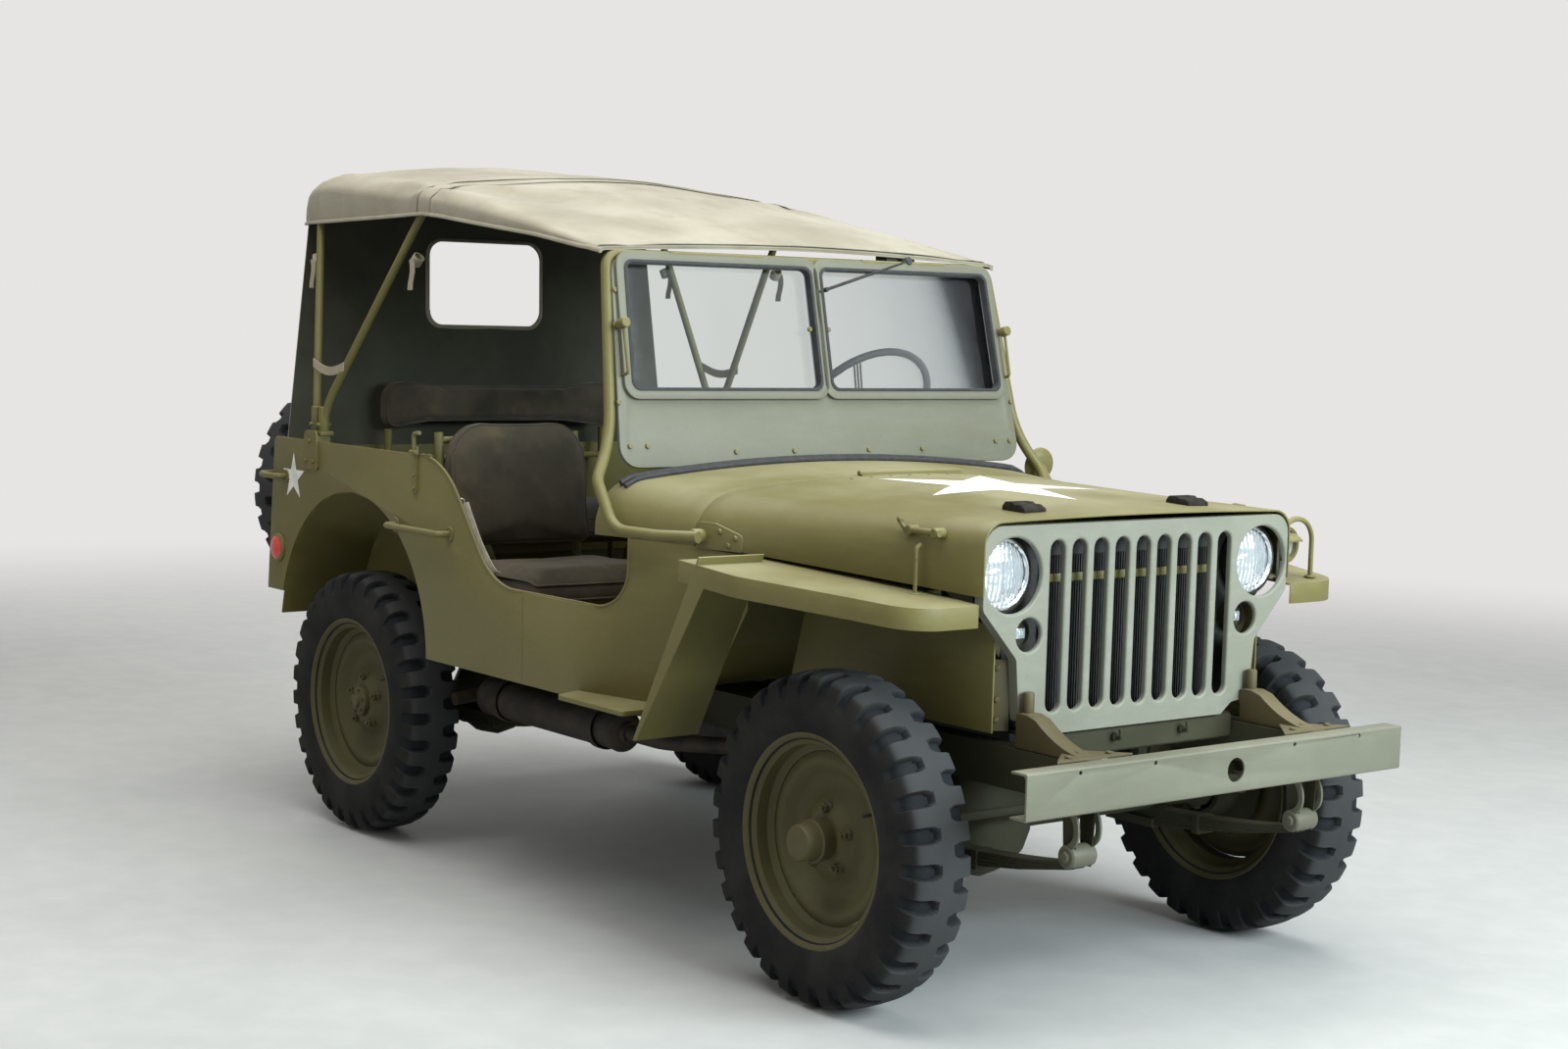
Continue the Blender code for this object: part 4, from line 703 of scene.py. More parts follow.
def peg(x, z, sunk, out, radius, steps):
    # A short rod that stands on the tub's side
    return rod((x, BODY_HALF - sunk, z), (x, BODY_HALF + out, z), radius, steps)


def handle(x0, x1, z):
    root, out = BODY_HALF - 0.001, BODY_HALF + HANDLE_OUT
    corners = [((x0, root, z), 0), ((x0, out, z), HANDLE_BEND), ((x1, out, z), HANDLE_BEND), ((x1, root, z), 0)]
    forms = [bent(corners, 6, HANDLE_ROD, 14)]
    for x in (x0, x1):
        forms.append(peg(x, z, 0.001, 0.004, 0.020, 20))
        for shift in (0.011, -0.011):
            forms.append(peg(x - shift, z + shift, 0, 0.006, 0.003, 8))
    return joined(forms)


def door_bead():
    # A half-round bead that stiffens the cut edge of the entry
    edge = filleted([((-0.56, TUB_TOP), 0), *DOOR_EDGE], 14, False)
    path = [(x, side_half(x) - 0.002, z) for x, z in edge]
    return tube(path, 0.0042, 8)


def bow_socket():
    x = -1.220
    plate = filleted([((x - 0.046, 0.985), 0.01), ((x + 0.046, 0.985), 0.01), ((x + 0.034, 1.092), 0.012),
                      ((x - 0.034, 1.092), 0.012)], 4)
    forms = [prism(plate, "y", BODY_HALF, BODY_HALF + 0.0065)]
    forms.append(box((x - 0.036, x + 0.036), (BODY_HALF - 0.038, BODY_HALF), (1.000, 1.0795)))
    for dx, z in ((-0.022, 1.008), (0.022, 1.008), (0.0, 1.064)):
        forms.append(peg(x + dx, z, 0, 0.013, 0.0065, 6))
    return joined(forms)


def upright_clamp():
    x = -0.632
    out = BODY_HALF + 0.010
    finger = [((x, BODY_HALF + 0.004, 1.04), 0), ((x, out, 1.118), 0.01), ((x + 0.032, out, 1.122), 0)]
    forms = [box((x - 0.011, x + 0.011), (BODY_HALF, BODY_HALF + 0.007), (0.965, 1.085))]
    forms.append(bent(finger, 4, 0.0055, 10))
    forms.append(rod((x - 0.016, out - 0.001, 1.070), (x + 0.018, out - 0.001, 1.070), 0.006, 10))
    for z in (0.975, 1.010):
        forms.append(peg(x, z, 0, 0.011, 0.0045, 8))
    return joined(forms)


def seam_rivets():
    forms = [box((-0.104, -0.098), (BODY_HALF - 0.0005, BODY_HALF + 0.0007), (0.545, 0.752))]
    for k in range(7):
        forms.append(peg(-0.116, 0.560 + 0.030 * k, 0.001, 0.001, 0.003, 8))
    return joined(forms)


TRIM = {"side_handle": handle(-0.735, -0.455, 0.872), "door_edge_bead": door_bead(), "bow_socket": bow_socket(),
        "top_clamp": upright_clamp(), "seam": seam_rivets()}
for kind, form in TRIM.items():
    pair(kind, lambda side: sided(form.copy(), side))


def corner_handle(side):
    # Wraps the rear corner: one foot on the side, one on the tail
    x, back, y, z, out = -1.375, -1.500, 0.62, 0.955, BODY_HALF + HANDLE_OUT
    corners = [((x, BODY_HALF - 0.001, z), 0), ((x, out, z), HANDLE_BEND), ((back, out, z), 0.05),
               ((back, y, z), HANDLE_BEND), ((-1.461, y, z), 0)]
    forms = [bent(corners, 6, HANDLE_ROD, 14), peg(x, z, 0, 0.004, 0.018, 18)]
    forms.append(rod((-1.4615, y, z), (-1.467, y, z), 0.018, 18))
    return sided(joined(forms), side)


REFLECTOR_RIM = [(0, 0), (0.041, 0), (0.041, 0.006), (0.036, 0.010), (0, 0.010)]
REFLECTOR_DOME = [(0, 0.0165), (0.015, 0.0155), (0.028, 0.0125), (0.0335, 0.0095), (0, 0.0095)]


def on_side(profile):
    return lambda side: turned(profile, (-1.418, side * BODY_HALF, 0.747), (0, side, 0), 32)


pair("corner_handle", corner_handle)
pair("reflector_rim", on_side(REFLECTOR_RIM))
pair("reflector", on_side(REFLECTOR_DOME), RED_LENS)
print("trim pieces", len(COUNTS))

# %% [markdown]
# ## Cowl and hood
# Both are one sheet bent over a crowned arch that narrows towards the grille. A handful of sections
# is enough, and no Solidify is needed, because each section has an inner and an outer line.

# %% Cowl and hood sheets
def arch_section(x, half, low, top, shoulder, crown, round_steps=10, top_steps=10):
    right = [(half, low)]
    start = (half - shoulder, top - crown - shoulder)
    sweep = 90 - math.degrees(math.atan(2 * crown / (half - shoulder)))
    for k in range(round_steps + 1):
        a = math.radians(sweep * k / round_steps)
        right.append((start[0] + shoulder * math.cos(a), start[1] + shoulder * math.sin(a)))
    y_end, z_end = right[-1]
    for k in range(1, top_steps):
        share = 1 - k / top_steps
        right.append((y_end * share, top - (top - z_end) * share * share))
    return [(x, -y, z) for y, z in right] + [(x, 0, top)] + [(x, y, z) for y, z in reversed(right)]


def arch_shell(stations, thickness):
    rings = []
    for x, half, low, top, shoulder, crown in stations:
        outer = arch_section(x, half, low, top, shoulder, crown)
        inner = arch_section(x, half - thickness, low, top - thickness, shoulder - thickness * 0.5, crown)
        rings.append(outer + inner[::-1])
    return loft(rings)


def between(stations, steps):
    result = []
    for one, two in zip(stations, stations[1:]):
        for k in range(steps):
            t = k / steps
            result.append(tuple(a + (b - a) * t for a, b in zip(one, two)))
    result.append(stations[-1])
    return result


# Stations: x, half width, foot, top, shoulder's radius, crown
COWL_FRONT = HOOD_REAR - 0.0015
COWL = [(x, side_half(x), SHOULDER + 0.0003, top, 0.115, crown)
        for x, top, crown in ((0.195, 1.096, 0.034), (0.350, 1.088, 0.033), (COWL_FRONT, 1.082, 0.032))]
HOOD = [(HOOD_REAR, side_half(HOOD_REAR), 0.934, 1.082, 0.112, 0.032),
        (0.900, 0.550, 0.912, 1.072, 0.095, 0.024),
        (HOOD_FRONT, 0.4725, 0.890, 1.052, 0.050, 0.006)]


def firewall():
    # Its upper half follows the middle of the cowl's sheet
    rear, front = 0.460, 0.464
    half = side_half(rear)
    upper = [(y, z) for _, y, z in arch_section(rear, half - SHEET / 2, 0.930, 1.0795, 0.113, 0.032)]
    return [prism(upper, "x", rear, front), box((rear, front), (0.008 - half, half - 0.008), (0.690, 0.940))]


PANEL_X = 0.199


def dash():
    half = [(0.66, 0.960), (0.66, 1.02), (0.60, 1.060), (0.30, 1.083)]
    outline = [(-0.66, 0.960)] + half + [(0.0, 1.091)] + [(-y, z) for y, z in half[:0:-1]]
    return [prism(outline, "x", PANEL_X, PANEL_X + 0.008)]


WHEEL_HUB = Vector((-0.120, 0.360, 1.190))
COLUMN_WAY = Vector((math.cos(math.radians(35)), 0, -math.sin(math.radians(35))))
hole = rod(WHEEL_HUB + COLUMN_WAY * -0.1, WHEEL_HUB + COLUMN_WAY * 1.2, 0.023)
cowl_form = boolean([arch_shell(between(COWL, 4), SHEET)] + firewall() + dash(), [hole])
piece("cowl_sheet", cowl_form, bevel=THIN_BEVEL, stands_for=("cowl",))
hood = piece("hood_sheet", arch_shell(between(HOOD, 8), SHEET), body="hood", bevel=SHEET_BEVEL, stands_for=("hood",))
print("hood", COUNTS["hood_sheet"], "triangles")

# %% [markdown]
# ## Things on the hood
# A surface that is already made tells where its fittings lie: a ray dropped onto the sheet gives
# the height and the slope, so blocks, latches and the painted star follow the crown exactly.

# %% Finding the sheet's surface
def surface(made):
    form = bmesh.new()
    form.from_mesh(made.data)
    tree = BVHTree.FromBMesh(form)
    form.free()
    return tree


HOOD_TREE = surface(hood)


def on_sheet(tree, x, y, z=2.0, way=(0, 0, -1)):
    hit, normal, _, _ = tree.ray_cast(Vector((x + MIDDLE_X, y, z)), Vector(way))
    return hit - Vector((MIDDLE_X, 0, 0)), normal


def star_outline(place, size, turn=0):
    outline = []
    for k in range(10):
        radius = size * (1, 0.382)[k % 2]
        angle = math.radians(turn + 36 * k)
        outline.append((place[0] + radius * math.cos(angle), place[1] + radius * math.sin(angle)))
    return outline


def star_form(tree, place, size, lift):
    # Five points from one corner list, cut small so that it can follow the crown
    form = bmesh.new()
    corners = [form.verts.new((x, y, 0)) for x, y in star_outline((0, 0), size)]
    centre = form.verts.new((0, 0, 0))
    for k in range(10):
        form.faces.new((centre, corners[k], corners[(k + 1) % 10]))
    bmesh.ops.subdivide_edges(form, edges=form.edges, cuts=7, use_grid_fill=True)
    bmesh.ops.triangulate(form, faces=form.faces)
    for vert in form.verts:
        hit, normal = on_sheet(tree, place[0] + vert.co.x, place[1] + vert.co.y)
        vert.co = hit + normal * lift
    outward(form)
    if sum(face.normal.z for face in form.faces) < 0:
        bmesh.ops.reverse_faces(form, faces=form.faces)
    return form


piece("hood_star", star_form(HOOD_TREE, (0.800, 0.0), 0.276, 0.0006), WHITE, body="hood")


def side_star(side):
    # A flat sheet of paint on the tub's side
    outline = star_outline((-1.330, 0.955), 0.068, 90)
    return sided(prism(outline, "y", BODY_HALF - 0.0005, BODY_HALF + 0.0006), side)


def hood_block(side):
    y, top = side * 0.253, 1.0728
    foot = on_sheet(HOOD_TREE, 1.170, y)[0].z - 0.004
    body = [(1.134, foot), (1.134, top - 0.010), (1.142, top), (1.166, top), (1.172, top - 0.004),
            (1.190, top - 0.004), (1.206, top - 0.012), (1.206, foot)]
    return prism(body, "y", y - 0.032, y + 0.032)


LATCH_X = 1.137


def hood_latch(side):
    # A spring catch with a wire handle on the hood's shoulder and a hooked post on the fender
    hit, _ = on_sheet(HOOD_TREE, LATCH_X, side * 0.62, 1.005, (0, -side, 0))

    def at(x, out, up=0.010):
        return hit + Vector((x, side * (out + 0.001), up))

    forms = [tube([at(-0.052, 0.010), at(0.052, 0.010)], 0.0075, 12)]
    for x in (-0.040, 0.040):
        forms.append(rod(at(x, -0.012), at(x, 0.018), 0.011, 14))
    grip = [(at(-0.062, 0.006), 0), (at(-0.072, 0.020, 0.034), 0.01), (at(-0.040, 0.034, 0.030), 0)]
    forms.append(bent(grip, 5, 0.0045, 10))
    return joined(forms)


def latch_post(side):
    y = side * 0.5255
    foot = fender_top(LATCH_X) - 0.002

    def at(up, inwards=0.0):
        return (LATCH_X, y - side * inwards, foot + up)

    hook = [(at(0.070), 0), (at(0.098), 0.01), (at(0.104, 0.012), 0)]
    return joined([rod(at(0), at(0.004), 0.014, 16), tube([at(0), at(0.075)], 0.0045, 10), bent(hook, 4, 0.0045, 10)])


def hinge_strip():
    # Narrow leaf with the barrel that is the hinge line, and a row of rivets on the sheet
    x, z, half = HOOD_REAR + 0.006, 1.082, 0.16
    forms = [box((x, x + 0.014), (-half, half), (z - 0.004, z + 0.0008))]
    forms.append(tube([(x, -half, z + 0.003), (x, half, z + 0.003)], 0.006, 14))
    up = Vector((0, 0, 0.002))
    for k in range(8):
        hit, _ = on_sheet(HOOD_TREE, HOOD_REAR + 0.042, -0.210 + 0.060 * k)
        forms.append(rod(hit - up, hit + up, 0.0045, 12))
    return joined(forms)


pair("side_star", side_star, WHITE)
pair("hood_block", hood_block, WOOD, body="hood", bevel=0.003)
pair("hood_latch", hood_latch, body="hood")
pair("latch_post", latch_post)
piece("hood_hinge_leaf", hinge_strip(), body="hood")
print("hood fittings done; star rests on the crown")

# %% [markdown]
# ## The pressed grille
# Nine upright slots are punched through one plate and their edges are turned inwards. A Boolean
# cuts each opening wide, and a ring of quarter rounds fills the cut with the soft roll that real
# pressings have. The headlamps sit behind round openings.

# %% Grille
GRILLE_FACE, GRILLE_DEPTH = 1.285, 0.026
GRILLE_FOOT, GRILLE_TOP, GRILLE_HALF = 0.591, 1.036, 0.468
LAMP_Y, LAMP_Z, LAMP_RADIUS = 0.383, 0.931, 0.080
MARKER_Y, MARKER_Z, MARKER_RADIUS = 0.335, 0.805, 0.036
SLOTS_ACROSS, SLOT_PITCH, SLOT_WIDE, SLOT_LOW, SLOT_HIGH = 9, 0.0645, 0.043, 0.636, 1.002


def grille_outline(inset):
    foot, top = GRILLE_FOOT + inset, GRILLE_TOP - inset
    half = [((0.267, foot), 0), ((0.300, foot + 0.025), 0.01), ((0.356, 0.623 + inset), 0.012),
            ((0.369, 0.756), 0.02), ((GRILLE_HALF, 0.862), 0.02), ((GRILLE_HALF, top), 0.046)]
    left = [((y - inset, z), radius) for (y, z), radius in half]
    return filleted(left + [((-y, z), radius) for (y, z), radius in reversed(left)], 8)


def middle_of(outline):
    return Vector((sum(y for y, _ in outline) / len(outline), sum(z for _, z in outline) / len(outline)))


def rolled_edge(outline, depth, roll, wall=0.003):
    # The turned-in lip round an opening: a ring of quarter rounds that runs back from the plate
    centre = middle_of(outline)
    count = len(outline)
    normals = []
    for i in range(count):
        before, after = Vector(outline[i - 1]), Vector(outline[(i + 1) % count])
        way = (after - before).normalized()
        normal = Vector((way.y, -way.x))
        if normal.dot(Vector(outline[i]) - centre) < 0:
            normal = -normal
        normals.append(normal)
    profile = [(roll * (1 - math.sin(a)), -roll * (1 - math.cos(a))) for a in (0, 0.4, 0.8, 1.2, 1.5708)]
    profile += [(0.0, -depth), (wall, -depth), (wall, -roll - wall), (roll, -wall)]
    rings = []
    for out, back in profile:
        rings.append([(GRILLE_FACE + back, y + n.x * out, z + n.y * out) for (y, z), n in zip(outline, normals)])
    form = bmesh.new()
    loops = points_in(form, rings)
    bridge(form, loops + loops[:1])
    return outward(form)


def grille():
    back = GRILLE_FACE - GRILLE_DEPTH
    plate = prism(grille_outline(0.0), "x", back, GRILLE_FACE)
    cuts = [prism(grille_outline(SHEET), "x", back - 0.01, GRILLE_FACE - SHEET)]
    roll = 0.0055
    holes = []
    for k in range(SLOTS_ACROSS):
        holes.append(slot_outline((k - SLOTS_ACROSS // 2) * SLOT_PITCH, SLOT_WIDE, SLOT_LOW, SLOT_HIGH))
    for side in SIDES.values():
        holes.append(arc((side * LAMP_Y, LAMP_Z), LAMP_RADIUS, 0, 357, 56))
        holes.append(arc((side * MARKER_Y, MARKER_Z), MARKER_RADIUS, 0, 353, 36))
    lips = []
    for i, outline in enumerate(holes):
        centre = middle_of(outline)
        is_slot = i < SLOTS_ACROSS
        wide = []
        for point in outline:
            nearest = centre.copy()
            if is_slot:
                nearest.y = min(max(point[1], SLOT_LOW + SLOT_WIDE / 2), SLOT_HIGH - SLOT_WIDE / 2)
            away = Vector(point) - nearest
            wide.append(tuple(Vector(point) + away.normalized() * (roll - 0.0004)))
        cuts.append(prism(wide, "x", GRILLE_FACE - 0.02, GRILLE_FACE + 0.01))
        lips.append(rolled_edge(outline, 0.014 if is_slot else 0.010, roll))
    return joined([boolean([plate], cuts)] + lips)


piece("grille_pressing", grille(), GRILLE_LIT_PAINT, sharp=40, stands_for=("grille",))
print("grille", COUNTS["grille_pressing"], "triangles")

# %% Headlamps and marker lamps
LAMP_BACK = 0.040


def lamp_place(side, back):
    return Vector((GRILLE_FACE - SHEET - 0.0003 - back, side * LAMP_Y, LAMP_Z))


def fluted_lens(radius, place, bulge, flutes=15, rings=10, steps=72):
    # A shallow dome whose face carries upright flutes
    form = bmesh.new()
    rows = [[form.verts.new((bulge, 0, 0))]]
    for r in range(1, rings + 1):
        row = []
        share = r / rings
        for k in range(steps):
            angle = 2 * math.pi * k / steps
            y, z = radius * share * math.cos(angle), radius * share * math.sin(angle)
            wave = 0.001 * math.cos(flutes * math.pi * y / radius)
            wave += 0.0006 * math.cos(5 * math.pi * z / radius)
            row.append(form.verts.new((bulge * (1 - share * share) + wave * (1 - share ** 6), y, z)))
        rows.append(row)
    rows.append([form.verts.new((-0.004, v.co.y, v.co.z)) for v in rows[-1]])
    last = form.verts.new((-0.004, 0, 0))
    for k in range(steps):
        n = (k + 1) % steps
        form.faces.new((rows[0][0], rows[1][k], rows[1][n]))
        for one, two in zip(rows[1:], rows[2:]):
            form.faces.new((one[k], two[k], two[n], one[n]))
        form.faces.new((rows[-1][k], last, rows[-1][n]))
    bmesh.ops.translate(form, vec=place, verts=form.verts)
    return outward(form)


def lamp_glass():
    glass = Finish("lamp_lens", 0.10, 0.0, Coat_Weight=0.8)
    bands = {"wave_type": "BANDS", "bands_direction": "Y"}
    flutes = node(glass.tree, "TexWave", bands, Vector=glass.place, Scale=26.0, output=1)
    cells = glass.noise(75.0, 2.0)
    sparkle = (flutes * 0.5 + cells * 0.6).between(0.35, 0.75)
    glass.set(Base_Color=mixed(sparkle, (0.30, 0.34, 0.36), (0.92, 0.95, 0.96)), Metallic=sparkle * 0.75)
    glass.bump(flutes * 0.7 + cells * 0.5, 0.5, 0.002)
    return glass.material


LENS_GLASS = lamp_glass()


BUCKET = [(0, -0.150), (0.030, -0.149), (0.052, -0.140), (0.070, -0.118), (0.0768, -0.085), (0.0768, -0.016),
          (0.080, -0.012), (0.080, -0.002), (0.0755, -0.001), (0.072, -0.006), (0.070, -0.030), (0, -0.034)]
LAMP_RING = [(0.069, -0.020), (0.0745, -0.018), (0.0765, -0.013), (0.0745, -0.0085), (0.070, -0.0085),
             (0.069, -0.012)]
MARKER_X = GRILLE_FACE - 0.044
MARKER_CAN = [(0, -0.045), (0.026, -0.045), (0.033, -0.030), (0.033, 0.010), (0.029, 0.012), (0.029, 0.004),
              (0, 0.004)]


def lamp_turned(profile, back):
    return lambda side: turned(profile, lamp_place(side, back), (1, 0, 0), 64)


def marker_can(side):
    return turned(MARKER_CAN, (MARKER_X, side * MARKER_Y, MARKER_Z), (1, 0, 0), 40)


def marker_slits(side):
    # A cover plate with two raised slits
    forms = []
    for x, y0, y1, low, high in ((0.004, -0.022, 0.022, -0.012, 0.010), (0.007, -0.016, -0.002, -0.006, 0.004),
                                 (0.007, 0.002, 0.016, -0.006, 0.004)):
        y = side * MARKER_Y
        forms.append(box((MARKER_X + x, MARKER_X + x + 0.004), (y + y0, y + y1), (MARKER_Z + low, MARKER_Z + high)))
    return joined(forms)


pair("headlamp_bucket", lamp_turned(BUCKET, LAMP_BACK - 0.012), DARK_PAINT, stands_for="headlamp")
pair("headlamp_lens", lambda side: fluted_lens(0.070, lamp_place(side, LAMP_BACK), 0.013), LENS_GLASS, "lamp_glass")
pair("headlamp_ring", lamp_turned(LAMP_RING, LAMP_BACK - 0.022), BRIGHT, "lamp_glass")
pair("marker_can", marker_can, DARK_PAINT)
pair("marker_slits", marker_slits, LENS_GLASS, "lamp_glass", bevel=0.001)
print("lamps done")

# %% [markdown]
# ## Radiator core
# Behind the slots the fins of the core show as fine upright lines. Geometry Nodes repeat one thin
# bar along a line, because seventy equal bars are quicker to place than to model.

# %% Rows with Geometry Nodes
def row_tree(name):
    # Boxes of one size and material, set out along a line
    tree = bpy.data.node_groups.new(name, "GeometryNodeTree")
    face = tree.interface
    face.new_socket("Geometry", in_out="OUTPUT", socket_type="NodeSocketGeometry")
    sockets = {}
    for label, kind in (("Count", "Int"), ("Start", "Vector"), ("Offset", "Vector"), ("Size", "Vector"),
                        ("Material", "Material")):
        sockets[label] = face.new_socket(label, in_out="INPUT", socket_type="NodeSocket" + kind).identifier
    start = tree.nodes.new("NodeGroupInput")
    end = tree.nodes.new("NodeGroupOutput")
    kinds = ("MeshLine", "MeshCube", "InstanceOnPoints", "RealizeInstances", "SetMaterial")
    line, bar, place, real, finish = (tree.nodes.new("GeometryNode" + kind) for kind in kinds)
    for one, output, two, socket in ((start, "Count", line, "Count"), (start, "Start", line, "Start Location"),
                                     (start, "Offset", line, "Offset"), (start, "Size", bar, "Size"),
                                     (line, 0, place, "Points"), (bar, 0, place, "Instance"), (place, 0, real, 0),
                                     (real, 0, finish, "Geometry"), (start, "Material", finish, "Material"),
                                     (finish, 0, end, 0)):
        tree.links.new(one.outputs[output], two.inputs[socket])
    return tree, sockets


ROW, ROW_INPUTS = row_tree("row_of_bars")


def row(name, material, slot, count, start, offset, size):
    holder = bpy.data.objects.new(name, bpy.data.meshes.new(name))
    bpy.context.scene.collection.objects.link(holder)
    step = holder.modifiers.new("row", "NODES")
    step.node_group = ROW
    start = Vector(start) + Vector((MIDDLE_X, 0, 0))
    values = {"Count": count, "Start": start, "Offset": offset, "Size": size, "Material": material}
    for label, value in values.items():
        step[ROW_INPUTS[label]] = value
    made = plain_copy(holder)
    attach(made, "chassis")


def refinish(name, material):
    # A solid whose shape is right keeps it and gets a better material
    NODES[name].data.materials.clear()
    NODES[name].data.materials.append(material)


refinish("radiator", CORE)
row("radiator_fins", CORE, "cast_iron", 72, (1.2415, -0.2556, 0.785), (0, 0.0072, 0), (0.003, 0.003, 0.360))
piece("core_top_tank", box((1.2425, 1.2475), (-0.262, 0.262), (0.908, 0.926)), bevel=0.0015)


def shade_baffle(side):
    # Near-black plate beside the radiator, painted shade that closes the view past it; the lamp's bucket goes through
    outline = [(0.2625, 0.600), (0.300, 0.600), (0.350, 0.700), (0.372, 0.790), (0.450, 0.870), (0.450, 0.985),
               (0.430, 1.005), (0.2625, 1.005)]
    hole = rod((1.15, LAMP_Y, LAMP_Z), (1.25, LAMP_Y, LAMP_Z), 0.079, 40)
    return sided(boolean([prism(outline, "x", 1.230, 1.232)], [hole]), side)


pair("radiator_shade_baffle", shade_baffle, CORE, "cast_iron")
print("fins placed by nodes")

# %% [markdown]
# ## Fenders
# Each fender is a flat top with a rolled-down edge, a slanting rear leg, a lip outside the leg and
# an inner apron. The plan is one rounded outline, so the same line makes the cap and its inside.

# %% Fenders
APRON_Y, FENDER_HALF = 0.404, 0.787
LEG_TIP, LEG_HEAD = Vector((0.497, 0.499)), Vector((0.718, fender_top(0.718)))


def fender(side):
    edge, wall = FENDER_HALF - SHEET, APRON_Y + 0.0005
    plan = [((0.655, APRON_Y), 0), ((1.095, APRON_Y), 0), ((1.120, 0.478), 0.01), ((1.290, 0.478), 0.012),
            ((1.290, 0.655), 0.10), ((1.13, 0.700), 0.06), ((0.86, FENDER_HALF), 0.12), ((0.655, FENDER_HALF), 0)]
    inset = [((0.640, APRON_Y - 0.01), 0), ((1.286, APRON_Y - 0.01), 0), ((1.286, 0.651), 0.096),
             ((1.13, 0.696), 0.06), ((0.86, edge), 0.12), ((0.640, edge), 0)]
    cap = boolean([prism(filleted(plan, 14), "z", -0.046, 0)], [prism(filleted(inset, 14), "z", -0.08, -SHEET)])
    for vert in cap.verts:
        vert.co.z += fender_top(vert.co.x)
    tip, head = LEG_TIP, LEG_HEAD
    way = (tip - head).normalized()
    leg = prism(thick_line([tuple(head - way * 0.02), tuple(tip)], SHEET), "y", side_half(0.60) + 0.004, FENDER_HALF)
    lip = [tuple(head), tuple(tip), tuple(tip + Vector((0.012, 0))), tuple(head + Vector((0.05, -0.02)))]
    lip_wall = prism(lip, "y", edge, FENDER_HALF)
    front = GRILLE_FACE - GRILLE_DEPTH - 0.0003
    apron = [(0.575, 0.600), (front, 0.600), (front, 0.828), (1.090, 0.828)]
    apron += [(x, fender_top(x) - 0.002) for x in (1.085, 0.665)]
    apron_wall = prism(apron, "y", wall, wall + SHEET)
    return sided(boolean([cap, leg, lip_wall, apron_wall]), side)


GUARDED_LAMP = (1.200, 0.545, 0.955)
LAMP_SHELL = [(0, -0.062), (0.015, -0.060), (0.030, -0.052), (0.038, -0.036), (0.041, -0.015), (0.041, 0.010),
              (0.043, 0.012), (0.043, 0.018), (0.036, 0.018), (0.034, 0.006), (0, 0.006)]


def blackout_lamp():
    x, y, _ = GUARDED_LAMP
    top = fender_top(x) - 0.003
    ahead, high, bend = x + 0.045, 1.018, 0.052
    sides = (0.490, 0.600)
    hoop = [((ahead, sides[0], top), 0), ((ahead, sides[0], high), bend), ((ahead, sides[1], high), bend),
            ((ahead, sides[1], top), 0)]
    forms = [bent(hoop, 8, 0.007, 14, 0.8), rod((x, y, top), (x, y, top + 0.07), 0.010, 16),
             turned(LAMP_SHELL, GUARDED_LAMP, (1, 0, 0), 40)]
    for foot in sides:
        forms.append(rod((ahead, foot, top + 0.001), (ahead, foot, top + 0.007), 0.014, 16))
    visor = [(x + 0.012, 0.985), (x + 0.040, 0.968), (x + 0.040, 0.964), (x + 0.012, 0.980)]
    forms.append(prism(visor, "y", y - 0.030, y + 0.030))
    return joined(forms)


pair("fender_sheet", fender, bevel=SHEET_BEVEL, stands_for="fender")
piece("blackout_lamp", blackout_lamp())
lens = [(0, 0.0135), (0.020, 0.012), (0.034, 0.0075), (0, 0.007)]
piece("blackout_lens", turned(lens, GUARDED_LAMP, (1, 0, 0), 36), LENS_GLASS, "lamp_glass")
print("fenders", COUNTS["fender_sheet_left"], "triangles")

# %% [markdown]
# ## Front bumper and small things at the nose
# The bumper is one rolled channel with a hole for the crank. Curved gussets behind it climb to the
# rails, and their upper edge is a bent flange.

# %% Bumper
def front_bumper():
    face, foot, top, half = 1.545, 0.482, 0.578, 0.576
    lower = [(face - 0.046, foot + 0.005), (face - 0.046, foot), (face - 0.003, foot), (face, foot + 0.003)]
    upper = [(face, top - 0.003), (face - 0.003, top), (face - 0.046, top), (face - 0.046, top - 0.005)]
    hollow = [(face - 0.010, top - 0.005), (face - 0.005, top - 0.010), (face - 0.005, foot + 0.010),
              (face - 0.010, foot + 0.005)]
    bar = prism(lower[1:] + upper + hollow + lower[:1], "y", -half, half)
    holes = [turned([(0, -0.03), (0.026, -0.03), (0.026, 0.03), (0, 0.03)], (face, 0.030, 0.530), (1, 0, 0), 32)]
    for y, z in ((-0.430, 0.568), (-0.215, 0.568), (0.215, 0.568), (0.430, 0.568)):
        holes.append(turned([(0, -0.02), (0.0045, -0.02), (0.0045, 0.02), (0, 0.02)], (face, y, z), (1, 0, 0), 12))
    return boolean([bar], holes)


